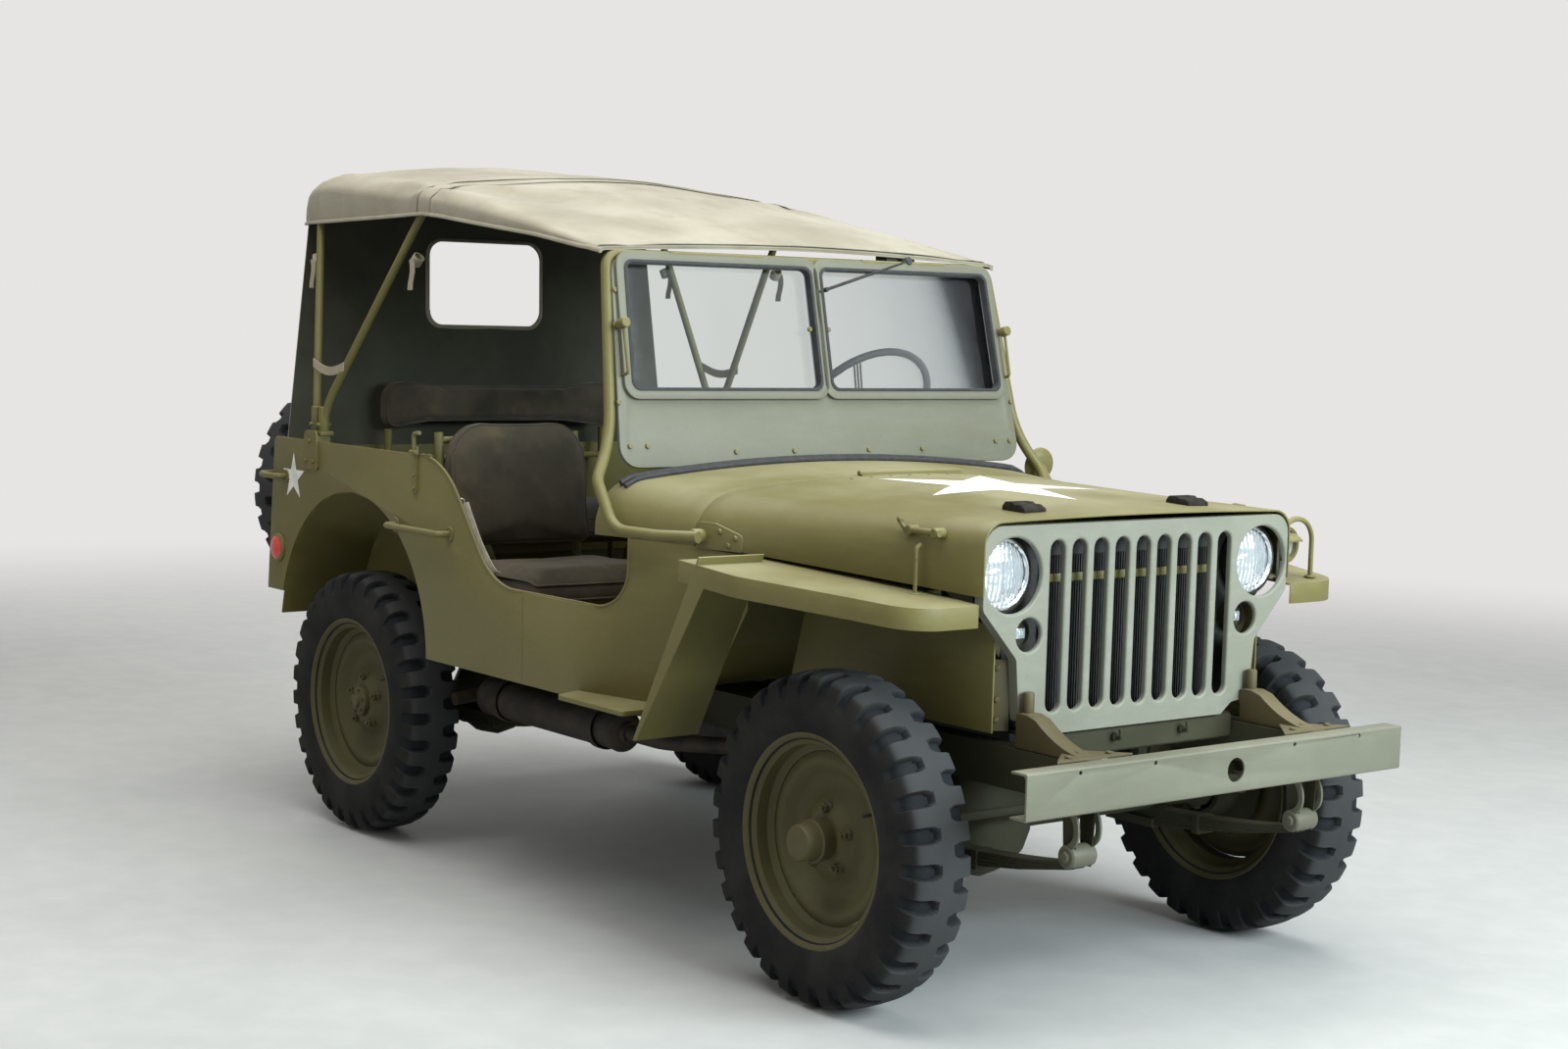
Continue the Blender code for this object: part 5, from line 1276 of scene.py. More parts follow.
def bumper_horn(side):
    # Curved gusset plates that tie each rail's end to the top and the back of the bumper, with
    # the small upright spacer that the grille's lower corner stands on
    top, back, heel = 0.572, 1.4985, 1.290
    brow = [(heel, 0.640), (heel + 0.030, 0.641)]
    brow += [(1.345 + 0.1535 * t, 0.634 - 0.057 * t * (2 - t)) for t in (0.0, 0.12, 0.25, 0.4, 0.55, 0.7, 0.85, 1.0)]
    cheek = [(heel, top)] + brow + [(back, top)]
    forms = [prism(cheek, "y", 0.364, 0.3685), prism(cheek, "y", 0.3245, 0.329)]
    forms.append(prism(thick_line(brow, 0.004), "y", 0.3245, 0.3685))
    wing = [((1.410, 0.320), 0), ((1.470, 0.262), 0.03), ((back, 0.235), 0), ((back, 0.450), 0),
            ((1.475, 0.425), 0.03), ((1.430, 0.372), 0.03)]
    forms.append(prism(filleted(wing, 5), "z", 0.5785, 0.583))
    foot = (1.302, 0.346, 0.641)
    post = [(0, 0), (0.0125, 0), (0.0125, 0.044), (0.0105, 0.048), (0, 0.048)]
    forms += [turned(post, foot, (0, 0, 1), 20), rod(foot, (1.302, 0.346, 0.646), 0.019, 6)]
    for x, y in ((1.478, 0.285), (1.478, 0.400), (1.452, 0.346)):
        forms.append(rod((x, y, 0.5825), (x, y, 0.5885), 0.0075, 6))
    return sided(joined(forms), side)


piece("bumper_channel", front_bumper(), FRONT_LIT_PAINT, bevel=SHEET_BEVEL, stands_for=("front_bumper",))
pair("bumper_horn", bumper_horn, HORN_PAINT, bevel=THIN_BEVEL)
print("bumper", COUNTS["bumper_channel"], "triangles")

# %% [markdown]
# ## Windscreen
# Two panes sit in flat inner frames that can swing out; black rubber seals them. A bent tube goes
# round the outside and curls down past the cowl to a pivot, so that the whole screen folds
# forward. Every shape is drawn in the leaning plane of the glass and then tipped into place.

# %% Windscreen frame
SCREEN_X, SCREEN_Z, SCREEN_LEAN = 0.205, 1.090, 0.2245
SCREEN_UP = Vector((-SCREEN_LEAN, 0, 1)).normalized()
SCREEN_OUT = Vector((1, 0, SCREEN_LEAN)).normalized()
SCREEN_HEIGHT, SCREEN_TOP_HALF, SCREEN_LOW_HALF = 0.522, 0.622, 0.655
GLASS_LOW, GLASS_HIGH, GLASS_INNER, GLASS_OUTER = 0.178, 0.492, 0.014, 0.580


def lean_point(out, across, up):
    return Vector((SCREEN_X, across, SCREEN_Z)) + SCREEN_OUT * out + SCREEN_UP * up


def leaned(form):
    # From a flat drawing (x = out, y = across, z = up) to the leaning plane
    for vert in form.verts:
        vert.co = lean_point(vert.co.x, vert.co.y, vert.co.z)
    return outward(form)


def pane_corners(side, grow, radius):
    inner, outer, low, high = GLASS_INNER - grow, GLASS_OUTER + grow, GLASS_LOW - grow, GLASS_HIGH + grow
    points = [(inner, low), (outer + 0.012, low), (outer, high), (inner, high)]
    return filleted([((side * y, z), radius) for y, z in points], 8)


def screen_panel():
    # The pressing ends inside the bent tube, so it is a little smaller than the screen's outline
    inset, radius = 0.014, 0.05
    low, high = SCREEN_LOW_HALF - inset, SCREEN_TOP_HALF - inset
    foot, top = inset - 0.02, SCREEN_HEIGHT - inset
    corners = [((-low, foot), radius), ((low, foot), radius), ((high, top), radius), ((-high, top), radius)]
    panel = prism(filleted(corners, 8), "x", -0.006, 0.006)
    cuts = [prism(pane_corners(side, 0.010, 0.030), "x", -0.02, 0.02) for side in SIDES.values()]
    return leaned(boolean([panel], cuts))


def outer_tube():
    half = [(0.545, 0.655, 0.9535), (0.430, 0.686, 0.948), (0.290, 0.712, 0.950), (0.218, 0.712, 1.060)]
    radii = [0, 0.10, 0.075, 0.05]
    corners = [(point, radius) for point, radius in zip(half, radii)]
    corners += [(tuple(lean_point(-0.012, 0.651, 0.07)), 0.3), (tuple(lean_point(-0.012, 0.610, 0.511)), 0.034)]
    return bent(corners + [((x, -y, z), r) for (x, y, z), r in reversed(corners)], 9, 0.0135, 18)


def pane_ring(outer, inner):
    # Each is (how far the outline grows, its corner radius, its back and its front)
    def make(side):
        rings = [prism(pane_corners(side, grow, radius), "x", back, face)
                 for grow, radius, back, face in (outer, inner)]
        return leaned(boolean(rings[:1], rings[1:]))

    return make


def screen_hardware():
    forms = []
    for side in SIDES.values():
        for y, up in ((0.560, 0.045), (0.610, 0.045), (0.300, 0.028), (0.120, 0.028), (0.030, 0.335), (0.618, 0.335),
                      (0.608, 0.42), (0.630, 0.15)):
            forms.append(rod(lean_point(0.004, side * y, up), lean_point(0.0115, side * y, up), 0.0065, 12))
        forms.append(tube([lean_point(0.012, side * y, GLASS_HIGH + 0.020) for y in (0.16, 0.44)], 0.0055, 12))
        arm = ((0.010, 0.215, 0), (0.034, 0.215, 0.008), (0.034, 0.330, 0))
        forms.append(bent([(tuple(lean_point(out, side * 0.612, up)), r) for out, up, r in arm], 4, 0.004, 10))
        knob = [lean_point(out, side * 0.612, 0.335) for out in (0.022, 0.048)]
        forms.append(rod(knob[0], knob[1], 0.013, 18))
    return joined(forms)


def pivot_bracket(side):
    # Plate on the hood side panel with a clamp round the end of the tube
    x, y, z = 0.520, side_half(0.57) + 0.0005, 0.9535
    plate = [((0.505, 0.925), 0.008), ((0.640, 0.925), 0.008), ((0.640, 0.962), 0.016), ((0.560, 0.986), 0.012),
             ((0.505, 0.986), 0.010)]
    form = prism(filleted(plate, 4), "y", 0, 0.005)
    for vert in form.verts:
        vert.co.y += side_half(vert.co.x) + 0.0005
    forms = [form, rod((x, y + 0.004, z), (x, y + 0.042, z), 0.017, 20),
             rod((x, y + 0.040, z), (x, y + 0.048, z), 0.010, 6)]
    for x, z in ((0.600, 0.938), (0.620, 0.956), (0.575, 0.968)):
        out = side_half(x) + 0.003
        forms.append(rod((x, out, z), (x, out + 0.007, z), 0.0065, 6))
    return sided(joined(forms), side)


piece("screen_panel", screen_panel(), FRONT_LIT_PAINT, bevel=0.0015, stands_for=("windscreen_frame",))
piece("screen_tube", outer_tube())
piece("screen_hardware", screen_hardware())
pair("pane_frame", pane_ring((0.022, 0.040, 0.005, 0.017), (-0.002, 0.022, 0, 0.030)), FRONT_LIT_PAINT, bevel=0.002)
pair("pane_seal", pane_ring((0.0015, 0.024, -0.004, 0.0195), (-0.006, 0.020, -0.010, 0.030)), GASKET, bevel=0.001)
pair("screen_pivot", pivot_bracket, bevel=THIN_BEVEL)
print("windscreen panel", COUNTS["screen_panel"], "triangles")

# %% Wiper, mirror, seals and snaps
def wiper():
    pivot, tip = Vector((0.086, 0.317, 1.596)), Vector((0.113, 0.026, 1.515))
    forms = [rod(pivot - SCREEN_OUT * 0.020, pivot + SCREEN_OUT * 0.026, 0.011, 18)]
    forms.append(tube([pivot + SCREEN_OUT * 0.020, tip + SCREEN_OUT * 0.020], 0.0032, 8))
    way = (tip - pivot).normalized()
    across = way.cross(SCREEN_OUT).normalized()
    low, high = tip + way * 0.02 + SCREEN_OUT * 0.012, tip - way * 0.20 + SCREEN_OUT * 0.012
    forms.append(tube([low, high], 0.0055, 8, 0.6))
    forms.append(rod(tip + SCREEN_OUT * 0.010, tip + SCREEN_OUT * 0.024, 0.006, 8))
    forms.append(box((0.030, 0.075), (0.270, 0.365), (1.570, 1.618)))
    forms.append(tube([high, high + across * 0.001 + way * 0.05], 0.006, 8, 0.6))
    return joined(forms)


MIRROR_PLACE, MIRROR_WAY = (0.190, 0.735, 1.068), (-0.97, 0.10, 0.12)


def mirror():
    shell = [(0, -0.012), (0.020, -0.0115), (0.036, -0.008), (0.046, -0.001), (0.0475, 0.003), (0.046, 0.005),
             (0, 0.004)]
    arm = [((0.235, 0.700, 0.985), 0), ((0.255, 0.730, 1.010), 0.015), ((0.205, 0.735, 1.066), 0)]
    return joined([turned(shell, MIRROR_PLACE, MIRROR_WAY, 40), bent(arm, 4, 0.0055, 10),
                   rod((0.232, 0.694, 0.983), (0.240, 0.706, 0.988), 0.014, 14)])


def header_snaps():
    snap = [(0, 0), (0.0085, 0), (0.0085, 0.003), (0.0045, 0.005), (0.005, 0.009), (0.003, 0.012), (0, 0.0125)]
    places = [lean_point(0.002, -0.560 + 0.1245 * k, SCREEN_HEIGHT - 0.016) for k in range(10)]
    return joined([turned(snap, place, SCREEN_OUT, 14) for place in places])


def cowl_seal():
    # Two soft ribs that close the gap between the screen's foot and the cowl
    forms = []
    for x, lift, radius in ((0.214, 0.007, 0.0075), (0.232, 0.005, 0.006)):
        path = []
        for k in range(41):
            hit, normal = on_sheet(COWL_TREE, x, -0.640 + 0.032 * k)
            path.append(hit + normal * lift)
        forms.append(tube(path, radius, 10))
    return joined(forms)


COWL_TREE = surface(bpy.data.objects["cowl_sheet"])
piece("wiper", wiper(), IRON)
piece("mirror", mirror())
mirror_disc = [(0, 0.0042), (0.044, 0.0042), (0.044, 0.0056), (0, 0.0056)]
piece("mirror_glass", turned(mirror_disc, MIRROR_PLACE, MIRROR_WAY, 40), BRIGHT)
piece("header_snaps", header_snaps(), BRIGHT)
piece("cowl_seal", cowl_seal(), GASKET)
for name in SIDES:
    refinish("glass_" + name, PANE)
print("windscreen fittings done")

# %% [markdown]
# ## Pressed wheels
# A wheel is two pressings: a rim with a dropped well and a bowl riveted inside it. The profile is
# drawn as a smooth curve and turned once; nuts and the hub cap are added round the axis.

# %% Wheels
RIM_STEPS = 72
# Radius and distance outboard of the tyre's middle
RIM_LIP = [(0.230, 0.064), (0.2345, 0.0685), (0.2335, 0.074), (0.227, 0.0765), (0.2205, 0.0735), (0.215, 0.064)]
RIM_WELL = [(0.204, 0.056), (0.201, 0.030), (0.187, 0.020), (0.186, -0.023), (0.201, -0.033),
            (0.204, -0.056)]
RIM_BACK = [(0.2255, -0.059), (0.2085, -0.050), (0.206, -0.029), (0.191, -0.019), (0.191, 0.016),
            (0.206, 0.026), (0.2085, 0.050), (0.2255, 0.059)]
RIM = RIM_LIP + RIM_WELL + [(r, -z) for r, z in reversed(RIM_LIP)] + RIM_BACK
DISC = [(0.1855, 0.019), (0.172, 0.024), (0.160, 0.0225), (0.148, 0.013), (0.133, 0.002), (0.115, -0.002),
        (0.096, 0.003), (0.076, 0.019), (0.059, 0.030), (0.050, 0.033), (0.042, 0.0335)]


def on_axle(profile, steps):
    return turned(profile, (0, 0, 0), (0, 1, 0), steps)


def pressings():
    face = [(r, z) for r, z, _ in smooth_curve([(r, z, 0) for r, z in DISC], 5)]
    back = [(r - 0.0006, z - 0.0045) for r, z in reversed(face)]
    return joined([on_axle(RIM, RIM_STEPS), on_axle(face + back, RIM_STEPS)])


def nuts(circle, place, count, size, height, turn=0.0):
    # Cone-seated nuts on the ends of their studs
    seat = [(0, 0), (1.35, 0), (1.15, 0.35), (1, 0.45), (1, 0.92), (0.85, 1), (0, 1)]
    profile = [(size * r, height * z) for r, z in seat]
    forms = []
    for k in range(count):
        angle = math.radians(360 * k / count + turn)
        x, z = circle * math.cos(angle), circle * math.sin(angle)
        forms.append(turned(profile, (x, place, z), (0, 1, 0), 6))
        forms.append(rod((x, place, z), (x, place + height * 1.45, z), size * 0.50, 10))
    return forms


def wheel_nuts():
    return nuts(0.0685, 0.0225, 5, 0.0105, 0.016, 18)


def hub(front):
    if front:
        profile = [(0, -0.02), (0.0425, -0.02), (0.0425, 0.052), (0.047, 0.054), (0.0475, 0.068), (0.043, 0.071),
                   (0.040, 0.086), (0.0395, 0.100), (0.036, 0.1055), (0.020, 0.1075), (0, 0.1075)]
        return joined([on_axle(profile, 40)] + nuts(0.0375, 0.070, 6, 0.0045, 0.007, 15))
    profile = [(0, -0.02), (0.0415, -0.02), (0.0415, 0.040), (0.040, 0.046), (0.035, 0.0495), (0.018, 0.052),
               (0.016, 0.0585), (0, 0.060)]
    return joined([on_axle(profile, 40)] + nuts(0.031, 0.0475, 6, 0.005, 0.006, 15))


def stand(form, place, side):
    # Drawn with its outer face towards +Y; moved to its place on either side
    for vert in form.verts:
        vert.co = Vector(place) + Vector((vert.co.x, vert.co.y * side, vert.co.z))
    return outward(form)


WHEELS = {}
for end, x in (("front", AXLE_X), ("rear", -AXLE_X)):
    for name, side in SIDES.items():
        WHEELS[end + "_" + name] = (Vector((x, side * TRACK_HALF, WHEEL_Z)), side, end == "front")

VALVE = [((0.170, 0.020, 0.085), 0), ((0.176, 0.046, 0.088), 0.01), ((0.168, 0.072, 0.084), 0)]
for name, (place, side, front) in WHEELS.items():
    body = "wheel_" + name
    piece("wheel_disc_" + name, stand(pressings(), place, side), WHEEL_SHADED_PAINT, body=body, sharp=40, stands_for=(body,))
    for stem, form, paint in (("wheel_hub_", hub(front), HUB_PAINT), ("wheel_nuts_", joined(wheel_nuts()), HUB_PAINT),
                              ("valve_", bent(VALVE, 4, 0.0042, 10), IRON)):
        piece(stem + name, stand(form, place, side), paint, body=body)
print("wheel", COUNTS["wheel_disc_front_left"], "triangles")

# %% [markdown]
# ## Military tread
# The tread is a height map rather than a pile of lugs: a fine grid is wrapped round the tyre and
# every point inside a groove sinks. Grooves are capsules that run in from each shoulder, those on
# one side half a pitch from those on the other, which leaves the zigzag rib in the middle.

# %% Tyre
TYRE_RADIUS, PITCHES = 0.3575, 30
GROOVE_HALF, GROOVE_DEPTH, RIB_HALF = 0.0162, 0.015, 0.0215
TYRE_LINE = [(0.066, 0.214), (0.0725, 0.224), (0.080, 0.240), (0.0835, 0.262), (0.0832, 0.285),
             (0.081, 0.306), (0.079, 0.321), (0.0765, 0.333), (0.0715, 0.3435), (0.0625, 0.3505),
             (0.048, 0.3545), (0.025, 0.3568), (0.0, 0.3575)]


def from_groove(y, along, pitch):
    # Distance to the nearest groove's middle line, all in metres on the tread's surface
    phase = (along / pitch + (0.5 if y < 0 else 0.0)) % 1.0
    return math.hypot(min(phase, 1 - phase) * pitch, max(0.0, RIB_HALF + GROOVE_HALF - abs(y)))


def ramp(value, start, length):
    return min(1.0, max(0.0, (value - start) / length))


def tyre_form(place, side):
    # Section points at even steps, the groove's edges set close together by the column steps
    half = [(y, r) for y, r, _ in smooth_curve([(y, r, 0) for y, r in TYRE_LINE], 3)]
    line = [(-y, r) for y, r in half] + [(y, r) for y, r in reversed(half[:-1])]
    pitch_angle = 2 * math.pi / PITCHES
    edge = GROOVE_HALF / TYRE_RADIUS
    shares = [-edge - 0.008, -edge - 0.001, -edge + 0.007, -edge * 0.45, 0.0, edge * 0.45, edge - 0.007, edge + 0.001,
              edge + 0.008]
    columns = [half_pitch / 2 * pitch_angle + share for half_pitch in range(2 * PITCHES) for share in shares]
    columns = sorted(angle % (2 * math.pi) for angle in columns)
    form = bmesh.new()
    tread = form.loops.layers.color.new("tread")
    groove = form.loops.layers.color.new("groove")
    grid, marks = [], []
    for angle in columns:
        ring, values = [], []
        for y, radius in line:
            gap = from_groove(y, angle * TYRE_RADIUS, pitch_angle * TYRE_RADIUS)
            sunk = ramp(GROOVE_HALF + 0.0012 - gap, 0, 0.0024) * ramp(radius, 0.300, 0.030)
            reach = radius - GROOVE_DEPTH * sunk
            ring.append(form.verts.new((reach * math.cos(angle), y * (1 - 0.06 * sunk), reach * math.sin(angle))))
            values.append((ramp(radius, 0.335, 0.012) * (1 - sunk), sunk))
        grid.append(ring)
        marks.append(values)
    count = len(columns)
    for i in range(count):
        j = (i + 1) % count
        for k in range(len(line) - 1):
            face = form.faces.new((grid[i][k], grid[j][k], grid[j][k + 1], grid[i][k + 1]))
            for loop, (a, b) in zip(face.loops, ((i, k), (j, k), (j, k + 1), (i, k + 1))):
                top, low = marks[a][b]
                loop[tread] = (top, top, top, 1)
                loop[groove] = (low, low, low, 1)
        # The inner side of the tyre, down to the rim's well
        form.faces.new((grid[i][-1], grid[j][-1], grid[j][0], grid[i][0]))
    return stand(form, place, side)


for name, (place, side, _) in WHEELS.items():
    piece("tyre_rubber_" + name, tyre_form(place, side), RUBBER, "tyre_rubber", body="wheel_" + name, sharp=32,
          stands_for=("tyre_" + name,))
print("tyre", COUNTS["tyre_rubber_front_left"], "triangles")

# %% Spare wheel
SPARE = Vector((-1.6612, -0.290, 0.895))


def on_tail(form):
    # A wheel drawn with its face towards +Y is hung on the tail with that face backwards
    for vert in form.verts:
        vert.co = SPARE + Vector((-vert.co.y, vert.co.x, vert.co.z))
    return outward(form)


SPARE_CAP = [(0, -0.02), (0.040, -0.02), (0.040, 0.032), (0.032, 0.036), (0, 0.036)]
piece("spare_disc", on_tail(pressings()), WHEEL_SHADED_PAINT, sharp=40, stands_for=("spare_wheel",))
piece("spare_nuts", on_tail(joined(wheel_nuts() + [on_axle(SPARE_CAP, 32)])))
piece("spare_rubber", on_tail(tyre_form(Vector((0, 0, 0)), 1)), RUBBER, "tyre_rubber", sharp=32,
      stands_for=("spare_tyre",))
print("spare hung at", [round(v, 3) for v in SPARE])

# %% [markdown]
# ## The canvas top
# One sheet of cloth is pulled from the windscreen's header over two bows and down behind as a
# curtain. The sheet is drawn as a smooth skin through the bows' outlines; then low folds are
# added where real cloth gathers: fans from the corners of the front bow, the header and the rear bow.

# %% Canvas
ROOF_FRONT, ROOF_REAR = 0.088, -1.500
ROOF = [(ROOF_FRONT, 0.634, 1.586, 1.604, 1.622), (-0.200, 0.634, 1.628, 1.668, 1.700),
        (-0.760, 0.632, 1.686, 1.772, 1.816),
        (-1.350, 0.612, 1.672, 1.820, 1.866), (-1.470, 0.604, 1.670, 1.806, 1.846), (ROOF_REAR, 0.598, 1.668, 1.772, 1.812)]
CLOTH, STATION_STEP = 0.0035, 0.018
FRONT_BOW_X = -0.776


def roof_at(x):
    # Half width, hem, corner and crown heights at any station
    for one, two in zip(ROOF, ROOF[1:]):
        if x >= two[0] or two is ROOF[-1]:
            t = min(1.0, max(0.0, (one[0] - x) / (one[0] - two[0])))
            return [a + (b - a) * t for a, b in zip(one[1:], two[1:])]
    return list(ROOF[-1][1:])


def roof_line(x):
    # A rounded section from the left hem over the top to the right hem
    half, hem, corner, top = roof_at(x)
    drop = corner - hem
    shoulder = min(0.095, max(0.020, drop * 0.9))
    start = (half - shoulder, corner - shoulder * 0.62)
    side = [(half, hem), (half + 0.001, (hem + start[1]) / 2)]
    bend = []
    for k in range(9):
        angle = math.radians(90 * k / 8)
        bend.append((start[0] + shoulder * math.cos(angle), start[1] + (corner - start[1]) * math.sin(angle)))
    roof = []
    for k in range(1, 15):
        share = 1 - k / 15
        roof.append((start[0] * share, top - (top - corner) * share ** 1.8))
    right = side + bend + roof
    return right + [(0.0, top)] + [(-y, z) for y, z in reversed(right)]


def fold(x, y):
    # Small rises and falls, largest near the corners that the pull starts from
    height = 0.0
    for side in (-1, 1):
        for bow_x, spread, strength in ((FRONT_BOW_X, 0.50, 0.0055), (ROOF_FRONT, 0.36, 0.003),
                                        (-1.420, 0.40, 0.004)):
            dx, dy = x - bow_x, side * y - 0.600
            away = math.hypot(dx, dy)
            angle = math.atan2(dy, dx)
            fade = math.exp(-(away / spread) ** 2) * min(1.0, away / 0.10)
            height += strength * fade * math.sin(angle * 7.0 + bow_x * 5)
    broad, fine = Vector((x * 2.2, y * 3.0, 0.4)), Vector((x * 9.0, y * 11.0, 2.0))
    return height + (0.003 * noise.noise(broad) + 0.0012 * noise.noise(fine))


def roof_stations():
    stations = []
    x = ROOF_FRONT
    while x > ROOF_REAR + 0.0001:
        stations.append(x)
        x -= STATION_STEP
    return stations + [ROOF_REAR]


def canvas_roof():
    outside, inside = [], []
    for x in roof_stations():
        line = roof_line(x)
        edge_fade = min(1.0, (ROOF_FRONT - x) / 0.05) * min(1.0, (x - ROOF_REAR) / 0.03 + 0.15)
        points = []
        for i, (y, z) in enumerate(line):
            before, after = Vector(line[max(i - 1, 0)]), Vector(line[min(i + 1, len(line) - 1)])
            way = (after - before).normalized()
            normal = Vector((way.y, -way.x))
            if normal.dot(Vector((y, z - 1.4))) < 0:
                normal = -normal
            rise = fold(x, y) * edge_fade - 0.0055
            points.append((x, y + normal.x * rise, z + normal.y * rise, normal))
        outside.append([(x, y, z) for x, y, z, _ in points])
        inside.append([(x, y - n.x * CLOTH, z - n.y * CLOTH) for x, y, z, n in points])
    return outside, inside


def skin(outside, inside):
    # The hems close the section, so every ring runs outside and then back inside
    form = bmesh.new()
    rows = points_in(form, [one + two[::-1] for one, two in zip(outside, inside)])
    bridge(form, rows)
    count = len(rows[0])
    half = count // 2
    for row in (rows[0], rows[-1]):
        for i in range(half - 1):
            form.faces.new((row[i], row[i + 1], row[count - 2 - i], row[count - 1 - i]))
    return outward(form)


CURTAIN_X, CURTAIN_LOW, CURTAIN_IN = -1.492, 1.000, 0.022
WINDOW_HALF, WINDOW_LOW, WINDOW_HIGH, WINDOW_CORNER = 0.195, 1.390, 1.640, 0.050


def curtain_wave(y, z):
    # The curtain hangs from the roof and gathers into upright folds towards its foot
    low = max(0.0, min(1.0, (1.670 - z) / 0.67))
    return CURTAIN_IN * low + (0.0045 * math.sin(y * 17 + 0.6) + 0.0025 * math.sin(y * 41 + 1.0)) * low


def window_outline(grow):
    half, low, high = WINDOW_HALF + grow, WINDOW_LOW - grow, WINDOW_HIGH + grow
    return filleted([((y, z), WINDOW_CORNER) for y, z in ((-half, low), (half, low), (half, high), (-half, high))], 8)


def canvas_curtain():
    # A flat cloth cut by the window, then waved; the edge follows the roof's last section
    half, hem_z, _, _ = roof_at(ROOF_REAR)
    line = [(y * 0.985, z - 0.006) for y, z in roof_line(ROOF_REAR)]
    sides = [((-half * 0.985, hem_z), 0), ((-0.665, CURTAIN_LOW), 0.02), ((0.665, CURTAIN_LOW), 0.02),
             ((half * 0.985, hem_z), 0)]
    body = prism(filleted(sides, 4) + line[1:-1], "x", 0, -CLOTH)
    cloth = boolean([body], [prism(window_outline(0), "x", 0.02, -0.02)])
    cuts = [((0, -0.70 + 1.40 * step / 64, 0), (0, 1, 0)) for step in range(1, 64)]
    cuts += [((0, 0, 0.98 + 0.90 * step / 24), (0, 0, 1)) for step in range(1, 24)]
    for place, way in cuts:
        everything = cloth.verts[:] + cloth.edges[:] + cloth.faces[:]
        bmesh.ops.bisect_plane(cloth, geom=everything, plane_co=place, plane_no=way)
    for vert in cloth.verts:
        vert.co.x += CURTAIN_X + curtain_wave(vert.co.y, vert.co.z)
    return outward(cloth)


OUTSIDE, INSIDE = canvas_roof()
CANVAS_MIDDLE = Vector((0, 0, 1.25))
roof = piece("canvas_roof", skin(OUTSIDE, INSIDE), CANVAS_OUT, "khaki_canvas", sharp=60, stands_for=("canvas_top",),
             extra=(CANVAS_INSIDE_SHADED,))
# Faces that look into the cab get the darker inside canvas, painted shade
for face in roof.data.polygons:
    inward = CANVAS_MIDDLE - Vector((0, face.center.y, face.center.z))
    if face.normal.dot(inward) > 0:
        face.material_index = 1
curtain = piece("canvas_curtain", canvas_curtain(), CANVAS_OUT, "khaki_canvas", sharp=50, extra=(CANVAS_INSIDE_SHADED,))
# The curtain's inner face gets the darker inside canvas, painted shade
for face in curtain.data.polygons:
    if face.normal.x > 0.3:
        face.material_index = 1


# %% [markdown]
# ## Hems, binding and straps
# A hem is cloth folded twice, so it reads as a thick, slightly uneven cord along the edge. The same
# path tool runs along the hems, the window's binding and the seams over the bows.

# %% Hems and seams
def hem(points, radius, flat=0.55):
    return tube(points, radius, 8, flat)


def roof_path(index, shift=0.0):
    return [tuple(Vector(line[index]) + Vector((0, 0, shift))) for line in OUTSIDE]


front_edge = [tuple(Vector(p) + Vector((-0.004, 0, 0.001))) for p in OUTSIDE[0]]
seams = [hem(roof_path(0, 0.006), 0.0075), hem(roof_path(-1, 0.006), 0.0075), hem(front_edge, 0.006)]
hems = piece("canvas_hems", joined(seams), CANVAS_OUT, "khaki_canvas", sharp=60)


def seam_over(x, shift=0.0008, half_width=0.013):
    # A flat double seam that crosses the roof
    nearest = min(range(len(OUTSIDE)), key=lambda k: abs(OUTSIDE[k][0][0] - x))
    rings = []
    for dx, lift in ((-half_width, 0.0), (-half_width, shift + 0.0012), (half_width, shift + 0.0012),
                     (half_width, 0.0)):
        rings.append([(OUTSIDE[nearest][i][0] + dx, y, z + lift) for i, (_, y, z) in enumerate(OUTSIDE[nearest])])
    count = len(rings[0])
    form = bmesh.new()
    loops = points_in(form, rings)
    for one, two in zip(loops, loops[1:] + loops[:1]):
        for i in range(count - 1):
            form.faces.new((one[i], one[i + 1], two[i + 1], two[i]))
    for i in (0, count - 1):
        form.faces.new([loop[i] for loop in loops])
    return outward(form)


def on_curtain(y, z, lift=0.0):
    return (CURTAIN_X - 0.002 + curtain_wave(y, z), y, z + lift)


crossing = [seam_over(x) for x in (0.050, -0.742, -0.812, -1.405)]
seam_lines = piece("canvas_seams", joined(crossing), CANVAS_OUT, "khaki_canvas", sharp=40)
ring = window_outline(0.006)
binding = [hem([on_curtain(y, z) for y, z in ring + ring[:1]], 0.011, 0.45),
           hem([on_curtain(-0.655 + 0.0262 * k, CURTAIN_LOW, 0.008) for k in range(51)], 0.0085, 0.5)]
bound = piece("window_binding", joined(binding), CANVAS_OUT, "khaki_canvas", sharp=60)

# %% [markdown]
# ## Bows
# Bent steel tubes carry the cloth. Both pairs share one bracket on the tub's side; the front bow
# leans forward, the rear one back. Brackets, pins and the canvas straps are on their feet.

# %% Bows and straps
BOW_RADIUS, BOW_Y = 0.011, 0.685
FRONT_FOOT, REAR_FOOT = -1.198, -1.242


def bow(foot_x, top_x, low_z, high_z, half_top):
    left = [((foot_x, BOW_Y, 1.0803), 0), ((foot_x, BOW_Y, 1.150), 0.2), ((top_x, half_top + 0.008, low_z), 0.080)]
    right = [((x, -y, z), r) for (x, y, z), r in reversed(left)]
    return bent(left + [((top_x - 0.001, 0.0, high_z), 2.0)] + right, 10, BOW_RADIUS, 16)


for kind, form in (("front", bow(FRONT_FOOT, -0.775, 1.746, 1.797, 0.585)),
                   ("rear", bow(REAR_FOOT, -1.440, 1.772, 1.832, 0.568))):
    piece(kind + "_bow_tube", form, sharp=60, stands_for=(kind + "_bow",))


